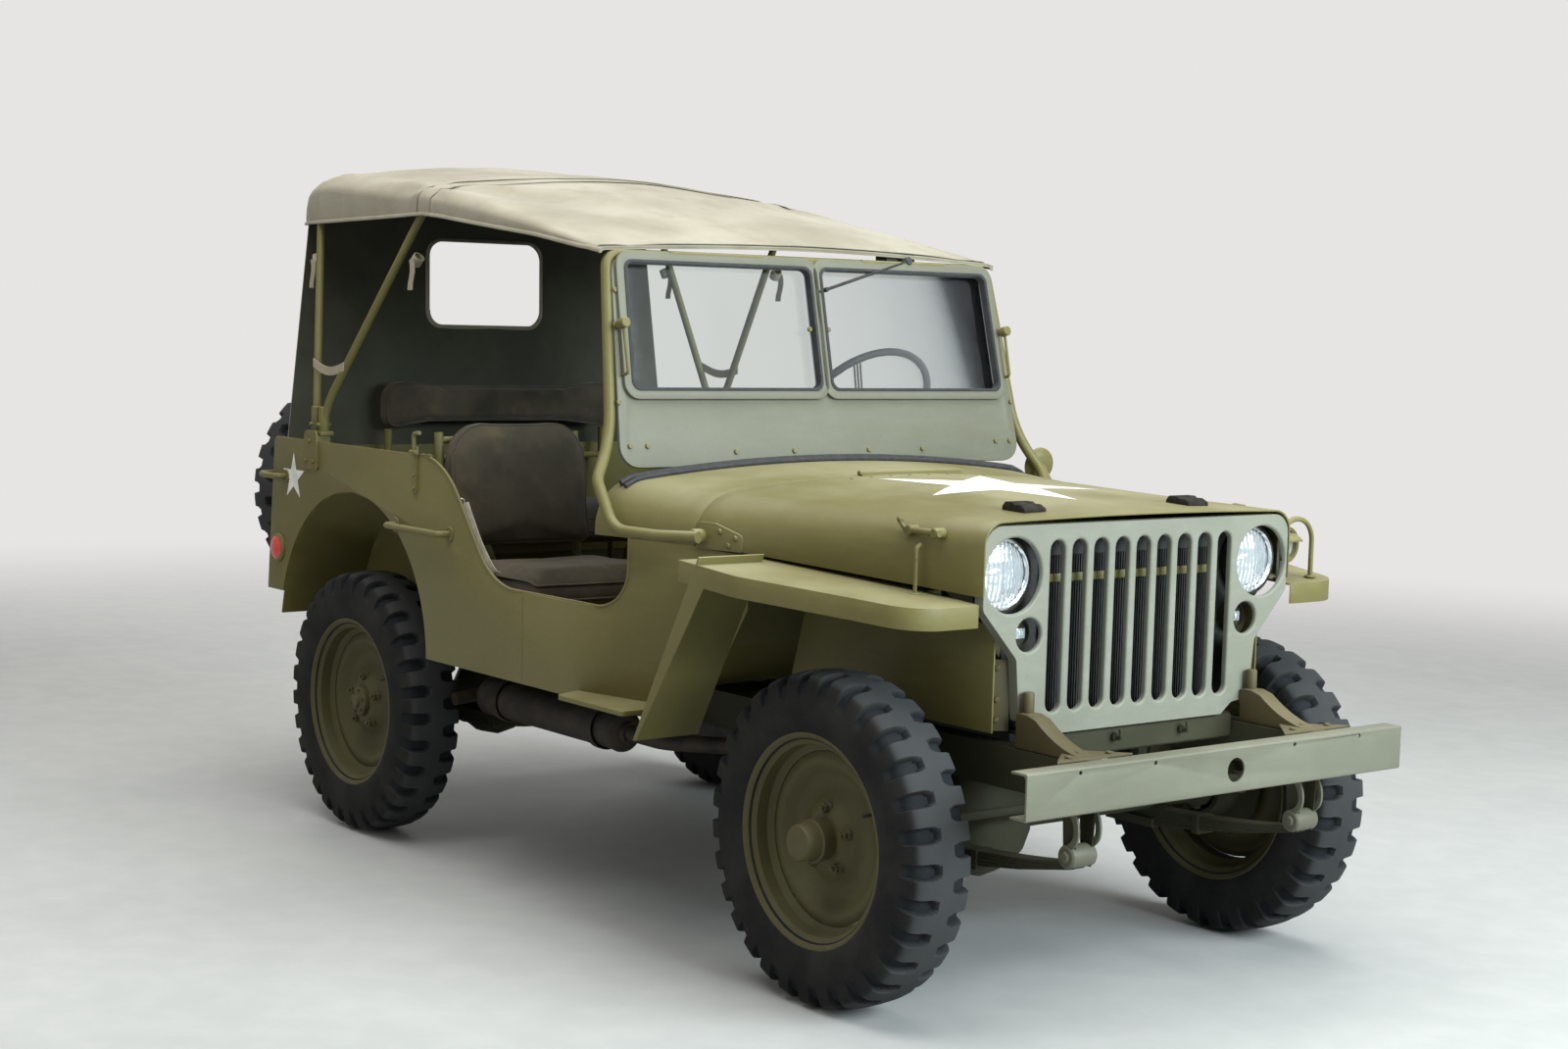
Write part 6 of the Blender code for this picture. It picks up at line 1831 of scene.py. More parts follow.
def bow_foot(side):
    forms = []
    for x in (FRONT_FOOT, REAR_FOOT):
        forms.append(rod((x, BOW_Y, 1.0805), (x, BOW_Y, 1.160), 0.015, 18))
        forms.append(rod((x, 0.665, 1.110), (x, 0.7065, 1.110), 0.006, 10))
    forms.append(box((-1.262, -1.178), (0.665, 0.705), (1.0803, 1.092)))
    return sided(joined(forms), side)


def band(path, width_way, width, thickness):
    # Webbing: a flat strip along a path, wide along one direction
    form = bmesh.new()
    wide = Vector(width_way).normalized() * width / 2
    rows = []
    for i, point in enumerate(path):
        before, after = Vector(path[max(i - 1, 0)]), Vector(path[min(i + 1, len(path) - 1)])
        normal = (after - before).normalized().cross(wide.normalized()) * thickness / 2
        base = Vector(point)
        corners = (wide + normal, normal - wide, -wide - normal, wide - normal)
        rows.append([form.verts.new(base + corner) for corner in corners])
    bridge(form, rows)
    form.faces.new(rows[0])
    form.faces.new(rows[-1])
    return outward(form)


def roof_straps(side):
    # A slack strap between the bows, and on each bow a loop with a loose end
    one = Vector((FRONT_FOOT, 0.700, 1.160)).lerp(Vector((-0.790, 0.606, 1.640)), 0.24)
    two = Vector((REAR_FOOT, 0.700, 1.160)).lerp(Vector((-1.420, 0.596, 1.660)), 0.24)
    sag = [tuple(one.lerp(two, k / 10) - Vector((0, 0, 0.018 * math.sin(math.pi * k / 10)))) for k in range(11)]
    forms = [band(sag, (0, 0, 1), 0.024, 0.003)]
    for foot, x in ((FRONT_FOOT, -0.802), (REAR_FOOT, -1.412)):
        way = Vector((x - foot, -0.09, 0.440)).normalized()
        centre = Vector((foot, BOW_Y, 1.160)) + Vector((x - foot, -0.085, 0.440)) * 0.93
        out = way.orthogonal().normalized() * 0.0145
        loop = [tuple(centre + Matrix.Rotation(math.radians(18 * k), 4, way) @ out) for k in range(21)]
        forms.append(band(loop, tuple(way), 0.026, 0.003))
        hang = [tuple(centre + Vector((0, 0.0145, 0)) + Vector((0.006 * math.sin(k), 0.002, -0.016 * k)))
                for k in range(6)]
        forms.append(band(hang, (1, 0, 0), 0.024, 0.0025))
    return sided(joined(forms), side)


pair("bow_foot", bow_foot, bevel=0.001)
pair("bow_straps", roof_straps, WEBBING, "khaki_canvas", sharp=40)
print("canvas", COUNTS["canvas_roof"] + COUNTS["canvas_curtain"], "triangles")

# %% [markdown]
# The roof is one stretched sheet over the bows, the curtain hangs from its rear edge.


# %% [markdown]
# ## Stuffed seats
# Each cushion is a canvas cover packed with hair. A slightly small block is cut into even cells
# and blown up like a bag by a short cloth simulation with a little slack in the cloth, which
# gives the bulge and the puckers of a used cover. A limit on the movement keeps it on its frame.

# %% Cushions
PAD_CELL, PAD_CAP, PAD_INSET = 0.0105, 0.017, 0.007
SEAT_Y, SEAT_WIDTH, SEAT_REAR, SEAT_FRONT, SEAT_TOP, SEAT_LEAN = 0.425, 0.470, -0.555, -0.130, 0.800, 0.10


def stuffed(form, cell=PAD_CELL):
    cover = object_of(form, "cover")
    soft = cover.modifiers.new("edge", "BEVEL")
    soft.width, soft.segments, soft.limit_method = 0.016, 3, "ANGLE"
    grid = cover.modifiers.new("grid", "REMESH")
    grid.mode, grid.voxel_size = "VOXEL", cell
    cover = plain_copy(cover)
    start = [vert.co.copy() for vert in cover.data.vertices]
    stuffing = cover.modifiers.new("stuffing", "CLOTH")
    cloth = stuffing.settings
    cloth.use_pressure = True
    cloth.uniform_pressure_force = 4.0
    cloth.effector_weights.gravity = 0.0
    cloth.shrink_min = -0.030
    cloth.bending_stiffness = 0.25
    for step in range(1, 21):
        bpy.context.scene.frame_set(step)
    cover = plain_copy(cover)
    bpy.context.scene.frame_set(1)
    for vert, before in zip(cover.data.vertices, start):
        move = vert.co - before
        if move.length > PAD_CAP:
            vert.co = before + move * (PAD_CAP / move.length)
    finer = cover.modifiers.new("finer", "SUBSURF")
    finer.levels = finer.render_levels = 1
    cover = plain_copy(cover)
    result = bmesh.new()
    result.from_mesh(cover.data)
    bpy.data.objects.remove(cover)
    return result


def welt(form, path, radius=0.003):
    # A corded seam pulled onto the cover's nearest point
    tree = BVHTree.FromBMesh(form)
    points = []
    for point in path:
        place, normal, _, _ = tree.find_nearest(Vector(point))
        points.append(tuple(place + normal * radius * 0.35))
    return tube(points, radius, 8)


def dense(corners, steps=8):
    # A closed rounded outline with points close enough to follow a bulge
    outline = [Vector(p) for p in filleted(corners, steps)]
    result = []
    for one, two in zip(outline, outline[1:] + outline[:1]):
        count = max(1, round((two - one).length / 0.014))
        result += [tuple(one.lerp(two, k / count)) for k in range(count)]
    return result + result[:1]


def leaning(form):
    for vert in form.verts:
        vert.co.x -= SEAT_LEAN * (vert.co.z - SEAT_TOP)
    return form


def seat_cushion():
    i = PAD_INSET
    profile = [((SEAT_REAR + i, 0.700 + i), 0.015), ((SEAT_FRONT - i, 0.700 + i), 0.020),
               ((SEAT_FRONT - i, SEAT_TOP - i), 0.045), ((SEAT_REAR + i, SEAT_TOP - 0.015 - i), 0.020)]
    half = SEAT_WIDTH / 2 - i
    form = stuffed(prism(filleted(profile, 5), "y", SEAT_Y - half, SEAT_Y + half))
    rim = [((x, SEAT_Y + s * (half + 0.004)), 0.035) for x, s in ((SEAT_REAR, -1), (SEAT_FRONT + 0.004, -1),
                                                                  (SEAT_FRONT + 0.004, 1), (SEAT_REAR, 1))]
    seams = [welt(form, [(x, y, z) for x, y in dense(rim)]) for z in (0.722, 0.778)]
    return form, seams


def seat_back():
    i = PAD_INSET
    outline = [((SEAT_Y + y, z), r) for y, z, r in ((-0.235 + i, 0.804 + i, 0.03), (0.235 - i, 0.804 + i, 0.03),
                                                    (0.228 - i, 1.165 - i, 0.11), (-0.228 + i, 1.165 - i, 0.11))]
    block = prism(filleted(outline, 6), "x", SEAT_REAR + 0.005 - 0.055 + i, SEAT_REAR + 0.005 - i * 0.5)
    form = leaning(stuffed(block))
    seams = []
    for x in (SEAT_REAR - 0.046, SEAT_REAR + 0.001):
        seams.append(welt(form, [(x - SEAT_LEAN * (z - SEAT_TOP), y, z) for y, z in dense(outline)]))
    return form, seams


def rear_cushion():
    i = PAD_INSET
    profile = [((-1.360 + i, 0.780 + i), 0.015), ((-0.960 - i, 0.780 + i), 0.020), ((-0.960 - i, 0.875 - i), 0.04),
               ((-1.360 + i, 0.865 - i), 0.020)]
    form = stuffed(prism(filleted(profile, 5), "y", -0.395 + i, 0.395 - i), 0.0125)
    rim = [((x, s * 0.392), 0.03) for x, s in ((-1.362, -1), (-0.957, -1), (-0.957, 1), (-1.362, 1))]
    return form, [welt(form, [(x, y, z) for x, y in dense(rim)]) for z in (0.800, 0.855)]


def rear_back():
    i = PAD_INSET
    outline = [((y, z), r) for y, z, r in ((-0.395 + i, 1.085 + i, 0.03), (0.395 - i, 1.085 + i, 0.03),
                                           (0.395 - i, 1.235 - i, 0.055), (-0.395 + i, 1.235 - i, 0.055))]
    form = stuffed(prism(filleted(outline, 5), "x", -1.425 + i, -1.365 - i), 0.0115)
    return form, [welt(form, [(x, y, z) for y, z in dense(outline)]) for x in (-1.415, -1.375)]


def flipped(form):
    # The left seat is the right one's mirror image
    return sided(form.copy(), -1)


for name, make in (("seat_cushion", seat_cushion), ("seat_back", seat_back)):
    form, seams = make()
    seams = joined(seams)
    for side_name, side in (("left", 1), ("right", -1)):
        whole = form.copy() if side > 0 else flipped(form)
        cord = seams.copy() if side > 0 else flipped(seams)
        cloth = CUSHION_CLOTH if name == "seat_cushion" else SEAT_CLOTH
        pad = piece(f"{name}_cover_{side_name}", whole, cloth, "seat_canvas", sharp=80,
                    stands_for=(f"{name}_{side_name}",))
        piece(f"{name}_welt_{side_name}", cord, cloth, "seat_canvas", sharp=80)
for name, make in (("rear_seat_cushion", rear_cushion), ("rear_seat_back", rear_back)):
    form, seams = make()
    pad = piece(name + "_cover", form, SEAT_CLOTH, "seat_canvas", sharp=80, stands_for=(name,))
    piece(name + "_welt", joined(seams), SEAT_CLOTH, "seat_canvas", sharp=80)
print("cushions", COUNTS["seat_cushion_cover_left"], COUNTS["seat_back_cover_left"],
      COUNTS["rear_seat_cushion_cover"])

# %% [markdown]
# ## Seat frames
# Bent steel tube carries the cushions, with cross rails welded between the sides. The path of a
# tube is a list of corners, each with its own bend, and one function runs a circle along it.

# %% Seat frames
def front_seat_frame(side):
    rail, rail_z, behind, floor = 0.012, 0.6877, SEAT_REAR + 0.005 - 0.055 - 0.0126, 0.5603
    forms = []
    for y in (SEAT_Y - 0.210, SEAT_Y + 0.210):
        path = [((SEAT_FRONT - 0.03, y, floor), 0), ((SEAT_FRONT - 0.03, y, rail_z), 0.03),
                ((SEAT_REAR - 0.004, y, rail_z), 0.03), ((behind, y, SEAT_TOP - 0.028), 0.04),
                ((behind - 0.032, y, 1.120), 0.0)]
        forms.append(tube(filleted(path, 6, False), rail, 14))
        forms.append(rod((SEAT_REAR + 0.08, y, floor), (SEAT_REAR + 0.08, y, rail_z), 0.010, 14))
        for x in (SEAT_FRONT - 0.03, SEAT_REAR + 0.08):
            forms.append(turned([(0, 0), (0.028, 0), (0.028, 0.003), (0, 0.003)], (x, y, floor), (0, 0, 1), 18))
    for x, z in ((SEAT_FRONT - 0.10, rail_z), (SEAT_REAR + 0.02, rail_z), (behind - 0.030, 1.100)):
        forms.append(rod((x, SEAT_Y - 0.21, z), (x, SEAT_Y + 0.21, z), 0.009, 14))
    return sided(joined(forms), side)


def rear_seat_frame():
    forms = []
    rail_z, post_x, floor = 0.7677, -1.395, 0.6303
    for y in (-0.375, 0.375):
        path = [((-1.000, y, floor), 0), ((-1.000, y, rail_z), 0.03), ((post_x, y, rail_z), 0.04),
                ((post_x, y, 1.0847), 0)]
        forms.append(tube(filleted(path, 6, False), 0.012, 14))
        forms.append(rod((-1.330, y, floor), (-1.330, y, rail_z), 0.010, 14))
        forms.append(turned([(0, 0), (0.028, 0), (0.028, 0.003), (0, 0.003)], (-1.000, y, floor), (0, 0, 1), 18))
    for x, z in ((-1.100, rail_z), (post_x, 1.000)):
        forms.append(rod((x, -0.375, z), (x, 0.375, z), 0.009, 14))
    return joined(forms)


for name, side in SIDES.items():
    piece("seat_tubes_" + name, front_seat_frame(side), sharp=50, stands_for=("seat_frame_" + name,))
piece("rear_seat_tubes", rear_seat_frame(), sharp=50, stands_for=("rear_seat_frame",))
print("seat frames", COUNTS["seat_tubes_left"], "triangles each")

# %% [markdown]
# ## Frame, axles and floor
# The solids underneath already have their true shapes. A copy of each is welded into one skin,
# flat faces are merged, and round ones are shaded smooth, so the light runs over tubes and drums
# instead of over triangles.

# %% Chassis castings and pressings
def dressed(name, material, slot, body="chassis", sharp=32):
    form = bmesh.new()
    form.from_mesh(NODES[name].data)
    bmesh.ops.remove_doubles(form, verts=form.verts, dist=0.00001)
    bmesh.ops.dissolve_limit(form, angle_limit=math.radians(0.3), verts=form.verts, edges=form.edges)
    bmesh.ops.translate(form, vec=(-MIDDLE_X, 0, 0), verts=form.verts)
    return piece(name + "_skin", form, material, slot, body=body, sharp=sharp, stands_for=(name,))


DARK_PARTS = ["frame_rail_left", "frame_rail_right", "transmission_crossmember", "middle_crossmember",
              "rear_crossmember", "front_axle", "rear_axle", "front_propshaft", "rear_propshaft"]
for name in DARK_PARTS:
    dressed(name, DARK_PAINT, SLOTS[name])
for name in ("knuckle_left", "knuckle_right", "tie_rod"):
    dressed(name, DARK_PAINT, SLOTS[name], name)
for name in ("floor_pan", "rear_panel", "wheel_house_left", "wheel_house_right", "steering_column"):
    dressed(name, BODY_PAINT, SLOTS[name])
dressed("engine_and_gearbox", IRON, SLOTS["engine_and_gearbox"])
print("castings and pressings", len(DARK_PARTS) + 9)

# %% [markdown]
# ## Silencer
# It hangs along the right rail where its brown, burnt steel shows below the door. The can is a
# turned shell with rolled seams, and the pipe bends forward to the engine and out behind.

# %% Exhaust
def silencer():
    y, z = -0.490, 0.420
    can = [(0, 0), (0.030, 0), (0.044, 0.004), (0.0515, 0.010), (0.0525, 0.018), (0.050, 0.024), (0.050, 0.616),
           (0.0525, 0.622), (0.0515, 0.630), (0.044, 0.636), (0.030, 0.640), (0, 0.640)]
    forms = [turned(can, (-0.600, y, z), (1, 0, 0), 40)]
    pipe = [((0.02, y, z), 0), ((0.20, y, z), 0.10), ((0.44, -0.270, 0.42), 0.10), ((0.62, -0.230, 0.50), 0)]
    tail = [((-0.57, y, z), 0), ((-0.640, y, z), 0.035), ((-0.640, y - 0.090, z - 0.01), 0)]
    forms += [tube(filleted(pipe, 8, False), 0.020, 20), tube(filleted(tail, 8, False), 0.017, 20)]
    for x in (-0.595, 0.040):
        forms.append(turned([(0.0175, 0), (0.0265, 0), (0.0265, 0.022), (0.0175, 0.022)],
                            (x - (0.022 if x < 0 else 0), y, z), (1, 0, 0), 24))
    for x in (-0.50, -0.05):
        band = [(y + 0.0535 * math.cos(math.radians(a)), z + 0.0535 * math.sin(math.radians(a)))
                for a in range(0, 361, 12)]
        forms.append(prism(thick_line(band, -0.003), "x", x - 0.012, x + 0.012))
        hang = [(y, z + 0.052), (y + 0.004, z + 0.110), (-0.368, z + 0.118)]
        forms.append(prism(thick_line(hang, 0.004), "x", x - 0.012, x + 0.012))
    return joined(forms)


piece("silencer", silencer(), SOOT, "exhaust_steel", sharp=45, stands_for=("exhaust",))
print("silencer", COUNTS["silencer"], "triangles")

# %% [markdown]
# ## Steering wheel
# Three thin spokes run from a small boss to a moulded rim with finger grips on its inner side.
# The wheel is drawn flat about its own axis and then tipped onto the column.

# %% Steering wheel
WHEEL_RING = 0.210


def on_column(form):
    bmesh.ops.transform(form, matrix=Matrix.Translation(WHEEL_HUB) @ aim(-COLUMN_WAY), verts=form.verts)
    return outward(form)


def rim():
    rows = []
    for k in range(120):
        angle = 2 * math.pi * k / 120
        row = []
        for j in range(12):
            turn = 2 * math.pi * j / 12
            grip = 0.0016 * max(0.0, -math.cos(turn)) * (0.5 - 0.5 * math.cos(angle * 40))
            radius = 0.0105 - grip
            reach = WHEEL_RING + radius * math.cos(turn)
            row.append((reach * math.cos(angle), reach * math.sin(angle), radius * math.sin(turn)))
        rows.append(row)
    form = bmesh.new()
    loops = points_in(form, rows)
    bridge(form, loops + loops[:1])
    return outward(form)


def spokes():
    boss = [(0, -0.029), (0.022, -0.029), (0.026, -0.010), (0.030, 0.0), (0.026, 0.008), (0.018, 0.0125), (0, 0.014)]
    forms = [turned(boss, (0, 0, 0), (0, 0, 1), 32)]
    for k in range(3):
        angle = 2 * math.pi * k / 3 + math.pi / 2
        for shift in (-0.009, 0.0, 0.009):
            across = Vector((-math.sin(angle), math.cos(angle), 0)) * shift
            out = Vector((math.cos(angle), math.sin(angle), 0))
            forms.append(rod(out * 0.020 + across, out * (WHEEL_RING - 0.006) + across, 0.0026, 10))
    return joined(forms)


piece("steering_rim", on_column(rim()), IRON, SLOTS["steering_wheel"], body="steering_wheel", sharp=70,
      stands_for=("steering_wheel",))
piece("steering_spokes", on_column(spokes()), IRON, SLOTS["steering_wheel"], body="steering_wheel", sharp=40)
print("steering wheel", COUNTS["steering_rim"], "triangles")

# %% [markdown]
# ## Inside the cab
# The instrument panel holds one large dial between small ones. A webbing strap, clipped across
# the door opening when the car moves, hangs at the opening's rear edge.

# %% Instruments
GAUGES = [(0.000, 1.034, 0.046), (0.092, 1.051, 0.026), (0.092, 0.995, 0.026), (-0.092, 1.051, 0.026),
          (-0.092, 0.995, 0.026)]


def gauge(y, z, radius, face_x):
    ring = [(radius - 0.005, 0), (radius, 0), (radius, 0.008), (radius - 0.003, 0.010), (radius - 0.005, 0.008)]
    hand = box((face_x - 0.0052, face_x - 0.004), (y - 0.0011, y + 0.0011), (z - 0.004, z + radius * 0.72))
    bmesh.ops.rotate(hand, cent=(face_x, y, z), matrix=Matrix.Rotation(math.radians(-50), 3, "X"), verts=hand.verts)
    ticks = []
    for k in range(9):
        angle = math.radians(225 - 33.75 * k)
        out = Vector((0, math.cos(angle), math.sin(angle)))
        centre = Vector((face_x - 0.0036, y, z))
        ticks.append(rod(centre + out * (radius * 0.66), centre + out * (radius * 0.82), 0.0008, 6))
    disc = [(0, 0.0), (radius - 0.004, 0.0), (radius - 0.004, 0.003), (0, 0.003)]
    dial = turned(disc, (face_x, y, z), (-1, 0, 0), 28)
    rim_form = turned(ring, (face_x, y, z), (-1, 0, 0), 28)
    return rim_form, dial, [hand] + ticks


rims, dials, marks = [], [], []
for y, z, radius in GAUGES:
    rim_form, dial, lines = gauge(y, z, radius, PANEL_X)
    rims.append(rim_form)
    dials.append(dial)
    marks += lines
for y in (-0.200, -0.155, 0.155, 0.200, 0.245):
    rims.append(rod((PANEL_X + 0.001, y, 1.020), (PANEL_X - 0.016, y, 1.020), 0.0075, 14))
    rims.append(rod((PANEL_X - 0.012, y, 1.020), (PANEL_X - 0.020, y, 1.020), 0.0105, 14))
piece("gauge_rims", joined(rims), IRON)
piece("gauge_dials", joined(dials), GASKET)
piece("gauge_marks", joined(marks), WHITE)
hang = smooth_curve([(-0.418, -0.694, 0.952), (-0.400, -0.690, 0.915), (-0.355, -0.684, 0.845),
                     (-0.312, -0.676, 0.792), (-0.296, -0.668, 0.783)], 6)
strap = band(hang, (0.75, 0.25, 0.30), 0.036, 0.0028)
hook = bent([((-0.424, -0.702, 0.960), 0), ((-0.420, -0.692, 0.975), 0.006), ((-0.416, -0.690, 0.940), 0)], 4, 0.0028,
            8)
piece("door_strap", strap, STRAP, "khaki_canvas", sharp=40)
piece("door_strap_hook", hook, STEEL, sharp=40)
print("gauges", len(GAUGES))

# %% [markdown]
# ## At the tail
# Two small lamps sit low on the rear panel, each a turned can with a red glass set behind a lip.

# %% Tail lamps
TAIL_X, TAIL_Y, TAIL_Z = -1.4715, 0.615, 0.722


def tail_lamp(side):
    can = [(0, -0.004), (0.020, -0.004), (0.030, 0.004), (0.0415, 0.016), (0.043, 0.040), (0.045, 0.042),
           (0.045, 0.048), (0.038, 0.050), (0.0365, 0.044), (0, 0.044)]
    lens = [(0, 0.043), (0.036, 0.043), (0.034, 0.048), (0.020, 0.051), (0, 0.052)]
    place = (TAIL_X, side * TAIL_Y, TAIL_Z)
    return turned(can, place, (-1, 0, 0), 36), turned(lens, place, (-1, 0, 0), 36)


for name, side in SIDES.items():
    can, glass = tail_lamp(side)
    piece("tail_lamp_" + name, can)
    piece("tail_glass_" + name, glass, RED_LENS, "lamp_glass", sharp=50)
print("tail lamps done")

# %% [markdown]
# ## Springs, shackles and the front crossmember
# A leaf spring is a stack of strips, each shorter than the one above it. Its front eye hangs in a
# curved shackle with a round bush. The crossmember under the grille is a shallow channel.

# %% Leaf springs
SPRING_Y, SPRING_WIDTH, EYE_Z, SEAT_Z = 0.3448, 0.044, 0.375, 0.3215
SPRINGS = {"front": (AXLE_X, 0.445), "rear": (-AXLE_X + 0.060, 0.480)}


def leaves(centre_x, half, side):
    forms = []
    for k in range(6):
        reach = half * (1 - k / 6.5)
        xs = [centre_x - reach + 2 * reach * j / 16 for j in range(17)]
        heights = [SEAT_Z + (EYE_Z - 0.020 - SEAT_Z) * ((x - centre_x) / half) ** 2 + 0.0065 - 0.0068 * k for x in xs]
        strip = list(zip(xs, heights)) + [(x, z - 0.006) for x, z in reversed(list(zip(xs, heights)))]
        forms.append(prism(strip, "y", SPRING_Y - SPRING_WIDTH / 2 - 0.0005, SPRING_Y + SPRING_WIDTH / 2 + 0.0005))
    clip_half = SPRING_WIDTH / 2 + 0.004
    for x in (centre_x - 0.16, centre_x + 0.16):
        forms.append(box((x - 0.010, x + 0.010), (SPRING_Y - clip_half, SPRING_Y + clip_half),
                         (SEAT_Z - 0.030, SEAT_Z + 0.012)))
    return sided(joined(forms), side)


def shackle(side):
    # A bush between two curved arms, seen below the bumper
    x = SPRINGS["front"][0] + SPRINGS["front"][1]
    forms = []
    for reach, radius, steps in ((0.036, 0.0245, 28), (0.041, 0.0125, 6)):
        forms.append(rod((x, SPRING_Y - reach, EYE_Z), (x, SPRING_Y + reach, EYE_Z), radius, steps))
    bow = [(x + 0.004, EYE_Z + 0.010), (x + 0.030, EYE_Z + 0.035), (x + 0.030, EYE_Z + 0.075),
           (x + 0.006, EYE_Z + 0.108)]
    curve = smooth_curve([(a, b, 0) for a, b in bow], 6)
    for y in (SPRING_Y - 0.0345, SPRING_Y + 0.0285):
        forms.append(prism(thick_line([(a, b) for a, b, _ in curve], 0.014), "y", y, y + 0.006))
    return sided(joined(forms), side)


def nose_channel():
    # Shallow pressed channel below the grille, with two small hooks on its face
    top, foot = 0.5905, 0.531
    section = [(1.262, top), (1.272, top - 0.006), (1.272, foot + 0.006), (1.262, foot), (1.180, foot),
               (1.180, foot + 0.004), (1.258, foot + 0.004), (1.267, foot + 0.010), (1.267, top - 0.010),
               (1.258, top - 0.004), (1.180, top - 0.004), (1.180, top)]
    forms = [prism(section, "y", -0.3175, 0.3175)]
    for y in (-0.060, 0.150):
        forms.append(rod((1.270, y, 0.566), (1.282, y, 0.566), 0.009, 12))
        hook = [((1.278, y, 0.566), 0), ((1.294, y, 0.562), 0.006), ((1.294, y, 0.586), 0)]
        forms.append(bent(hook, 4, 0.0045, 10))
    return joined(forms)


def apron_flange(side):
    # Bent strip with bolts that closes the corner between the grille's edge and the apron
    plan = thick_line([(1.2586, 0.360), (1.230, 0.403)], 0.003)
    forms = [prism(plan, "z", 0.601, 0.752)]
    for z in (0.625, 0.668, 0.735):
        forms.append(rod((1.244, 0.383, z), (1.249, 0.3862, z), 0.0065, 6))
    slope = [(0.369, 0.752), (0.4035, 0.792), (0.4035, 0.828), (0.365, 0.790)]
    forms.append(prism(slope, "x", 1.230, 1.233))
    return sided(joined(forms), side)


for end, (centre_x, half) in SPRINGS.items():
    pair("leaves_" + end, lambda side: leaves(centre_x, half, side), DARK_PAINT, bevel=0.0006)
pair("shackle_front", shackle, SHACKLE_PAINT, bevel=THIN_BEVEL)
pair("apron_flange", apron_flange, HORN_PAINT, bevel=THIN_BEVEL)
piece("nose_channel", nose_channel(), DARK_PAINT, bevel=0.001, stands_for=("front_crossmember",))
print("springs and crossmember done")

# %% [markdown]
# ## Levers, pedals and rear fittings
# The gear lever and two shorter ones lean back from the tunnel; two pedals stand on the toe
# board. Behind, each rail ends in a short curved guard and the tow hook sits between them.

# %% Levers and pedals
LEVERS = [
    # Foot of the rod, where it bends (x, z), its tip (x, z), radius
    ((0.330, 0.000, 0.650), (0.200, 0.800), (0.085, 0.925), 0.0065),
    ((0.290, -0.070, 0.650), (0.200, 0.740), (0.120, 0.850), 0.0055),
    ((0.290, -0.098, 0.650), (0.210, 0.720), (0.150, 0.815), 0.0055),
]


LEVER_KNOB = [(0, -0.018), (0.010, -0.016), (0.016, -0.006), (0.017, 0.004), (0.013, 0.013), (0.006, 0.0175),
              (0, 0.0185)]
LEVER_BOOT = [(0, 0), (0.034, 0), (0.031, 0.010), (0.020, 0.026), (0.010, 0.034), (0, 0.036)]


def levers():
    forms = []
    for (x0, y0, z0), (x1, z1), (x2, z2), radius in LEVERS:
        forms.append(bent([((x0, y0, z0), 0), ((x1, y0, z1), 0.08), ((x2, y0, z2), 0)], 8, radius, 14))
        knob = [(r * radius / 0.0065, h) for r, h in LEVER_KNOB]
        forms.append(turned(knob, (x2, y0, z2 + 0.012), (-0.6, 0, 0.8), 24))
        forms.append(turned(LEVER_BOOT, (x0, y0, z0), (-0.3, 0, 1), 24))
    return joined(forms)


def pedals():
    forms = []
    for y in (0.445, 0.290):
        x, z = 0.372, 0.640
        forms.append(tube([(x, y, z), (x - 0.070, y, z + 0.070)], 0.0075, 14))
        face = [(x - 0.085, z + 0.050), (x - 0.077, z + 0.046), (x - 0.050, z + 0.100), (x - 0.058, z + 0.104)]
        forms.append(prism(face, "y", y - 0.032, y + 0.032))
    return joined(forms)


def rail_guard(side):
    # Short curved plate that guards the rail's rear end
    end = -1.478
    plan = filleted([((end - 0.055, 0.258), 0), ((end - 0.055, 0.452), 0.03), ((end - 0.030, 0.487), 0)], 6, False)
    forms = [prism(thick_line(plan, 0.005), "z", 0.518, 0.596)]
    for y in (0.334, 0.362):
        forms.append(box((end - 0.052, end + 0.004), (y - 0.003, y + 0.003), (0.524, 0.590)))
    return sided(joined(forms), side)


def tow_hook():
    z, back = 0.555, -1.480
    hook = filleted([((back - 0.006, z + 0.012), 0), ((back - 0.060, z + 0.014), 0.01),
                     ((back - 0.098, z + 0.022), 0.01), ((back - 0.104, z - 0.016), 0.022),
                     ((back - 0.060, z - 0.038), 0.02), ((back - 0.006, z - 0.020), 0)], 8)
    throat = rod((back - 0.070, -0.03, z + 0.004), (back - 0.070, 0.03, z + 0.004), 0.019, 32)
    jaw = filleted([((back - 0.044, z + 0.016), 0), ((back - 0.094, z + 0.024), 0.004),
                    ((back - 0.092, z + 0.038), 0.006), ((back - 0.044, z + 0.036), 0)], 4)
    forms = [boolean([prism(hook, "y", -0.013, 0.013)], [throat]), prism(jaw, "y", -0.010, 0.010),
             box((back - 0.010, back + 0.002), (-0.062, 0.062), (z - 0.034, z + 0.040))]
    for y in (-0.048, 0.048):
        for step in (-0.022, 0.028):
            forms.append(rod((back - 0.010, y, z + step), (back - 0.018, y, z + step), 0.0085, 6))
    return joined(forms)


piece("levers", levers(), IRON, sharp=40)
piece("pedals", pedals(), IRON, bevel=0.001)
pair("rail_guard", rail_guard, bevel=0.001)
piece("tow_hook", tow_hook(), DARK_PAINT, bevel=0.0015)
print("pieces", len(COUNTS), "triangles", sum(COUNTS.values()))

# %% [markdown]
# ## Floor and light
# A pale level floor and one broad soft light from the front and above, as in a hall. The walls
# are only colours: the camera and reflections see a warm white, the object gets an even glow.

# %% Floor, background and lamps
FLOOR_FADE, FLOOR_HALF, FLOOR_Z = (3.6, 9.0), 30, -0.0005


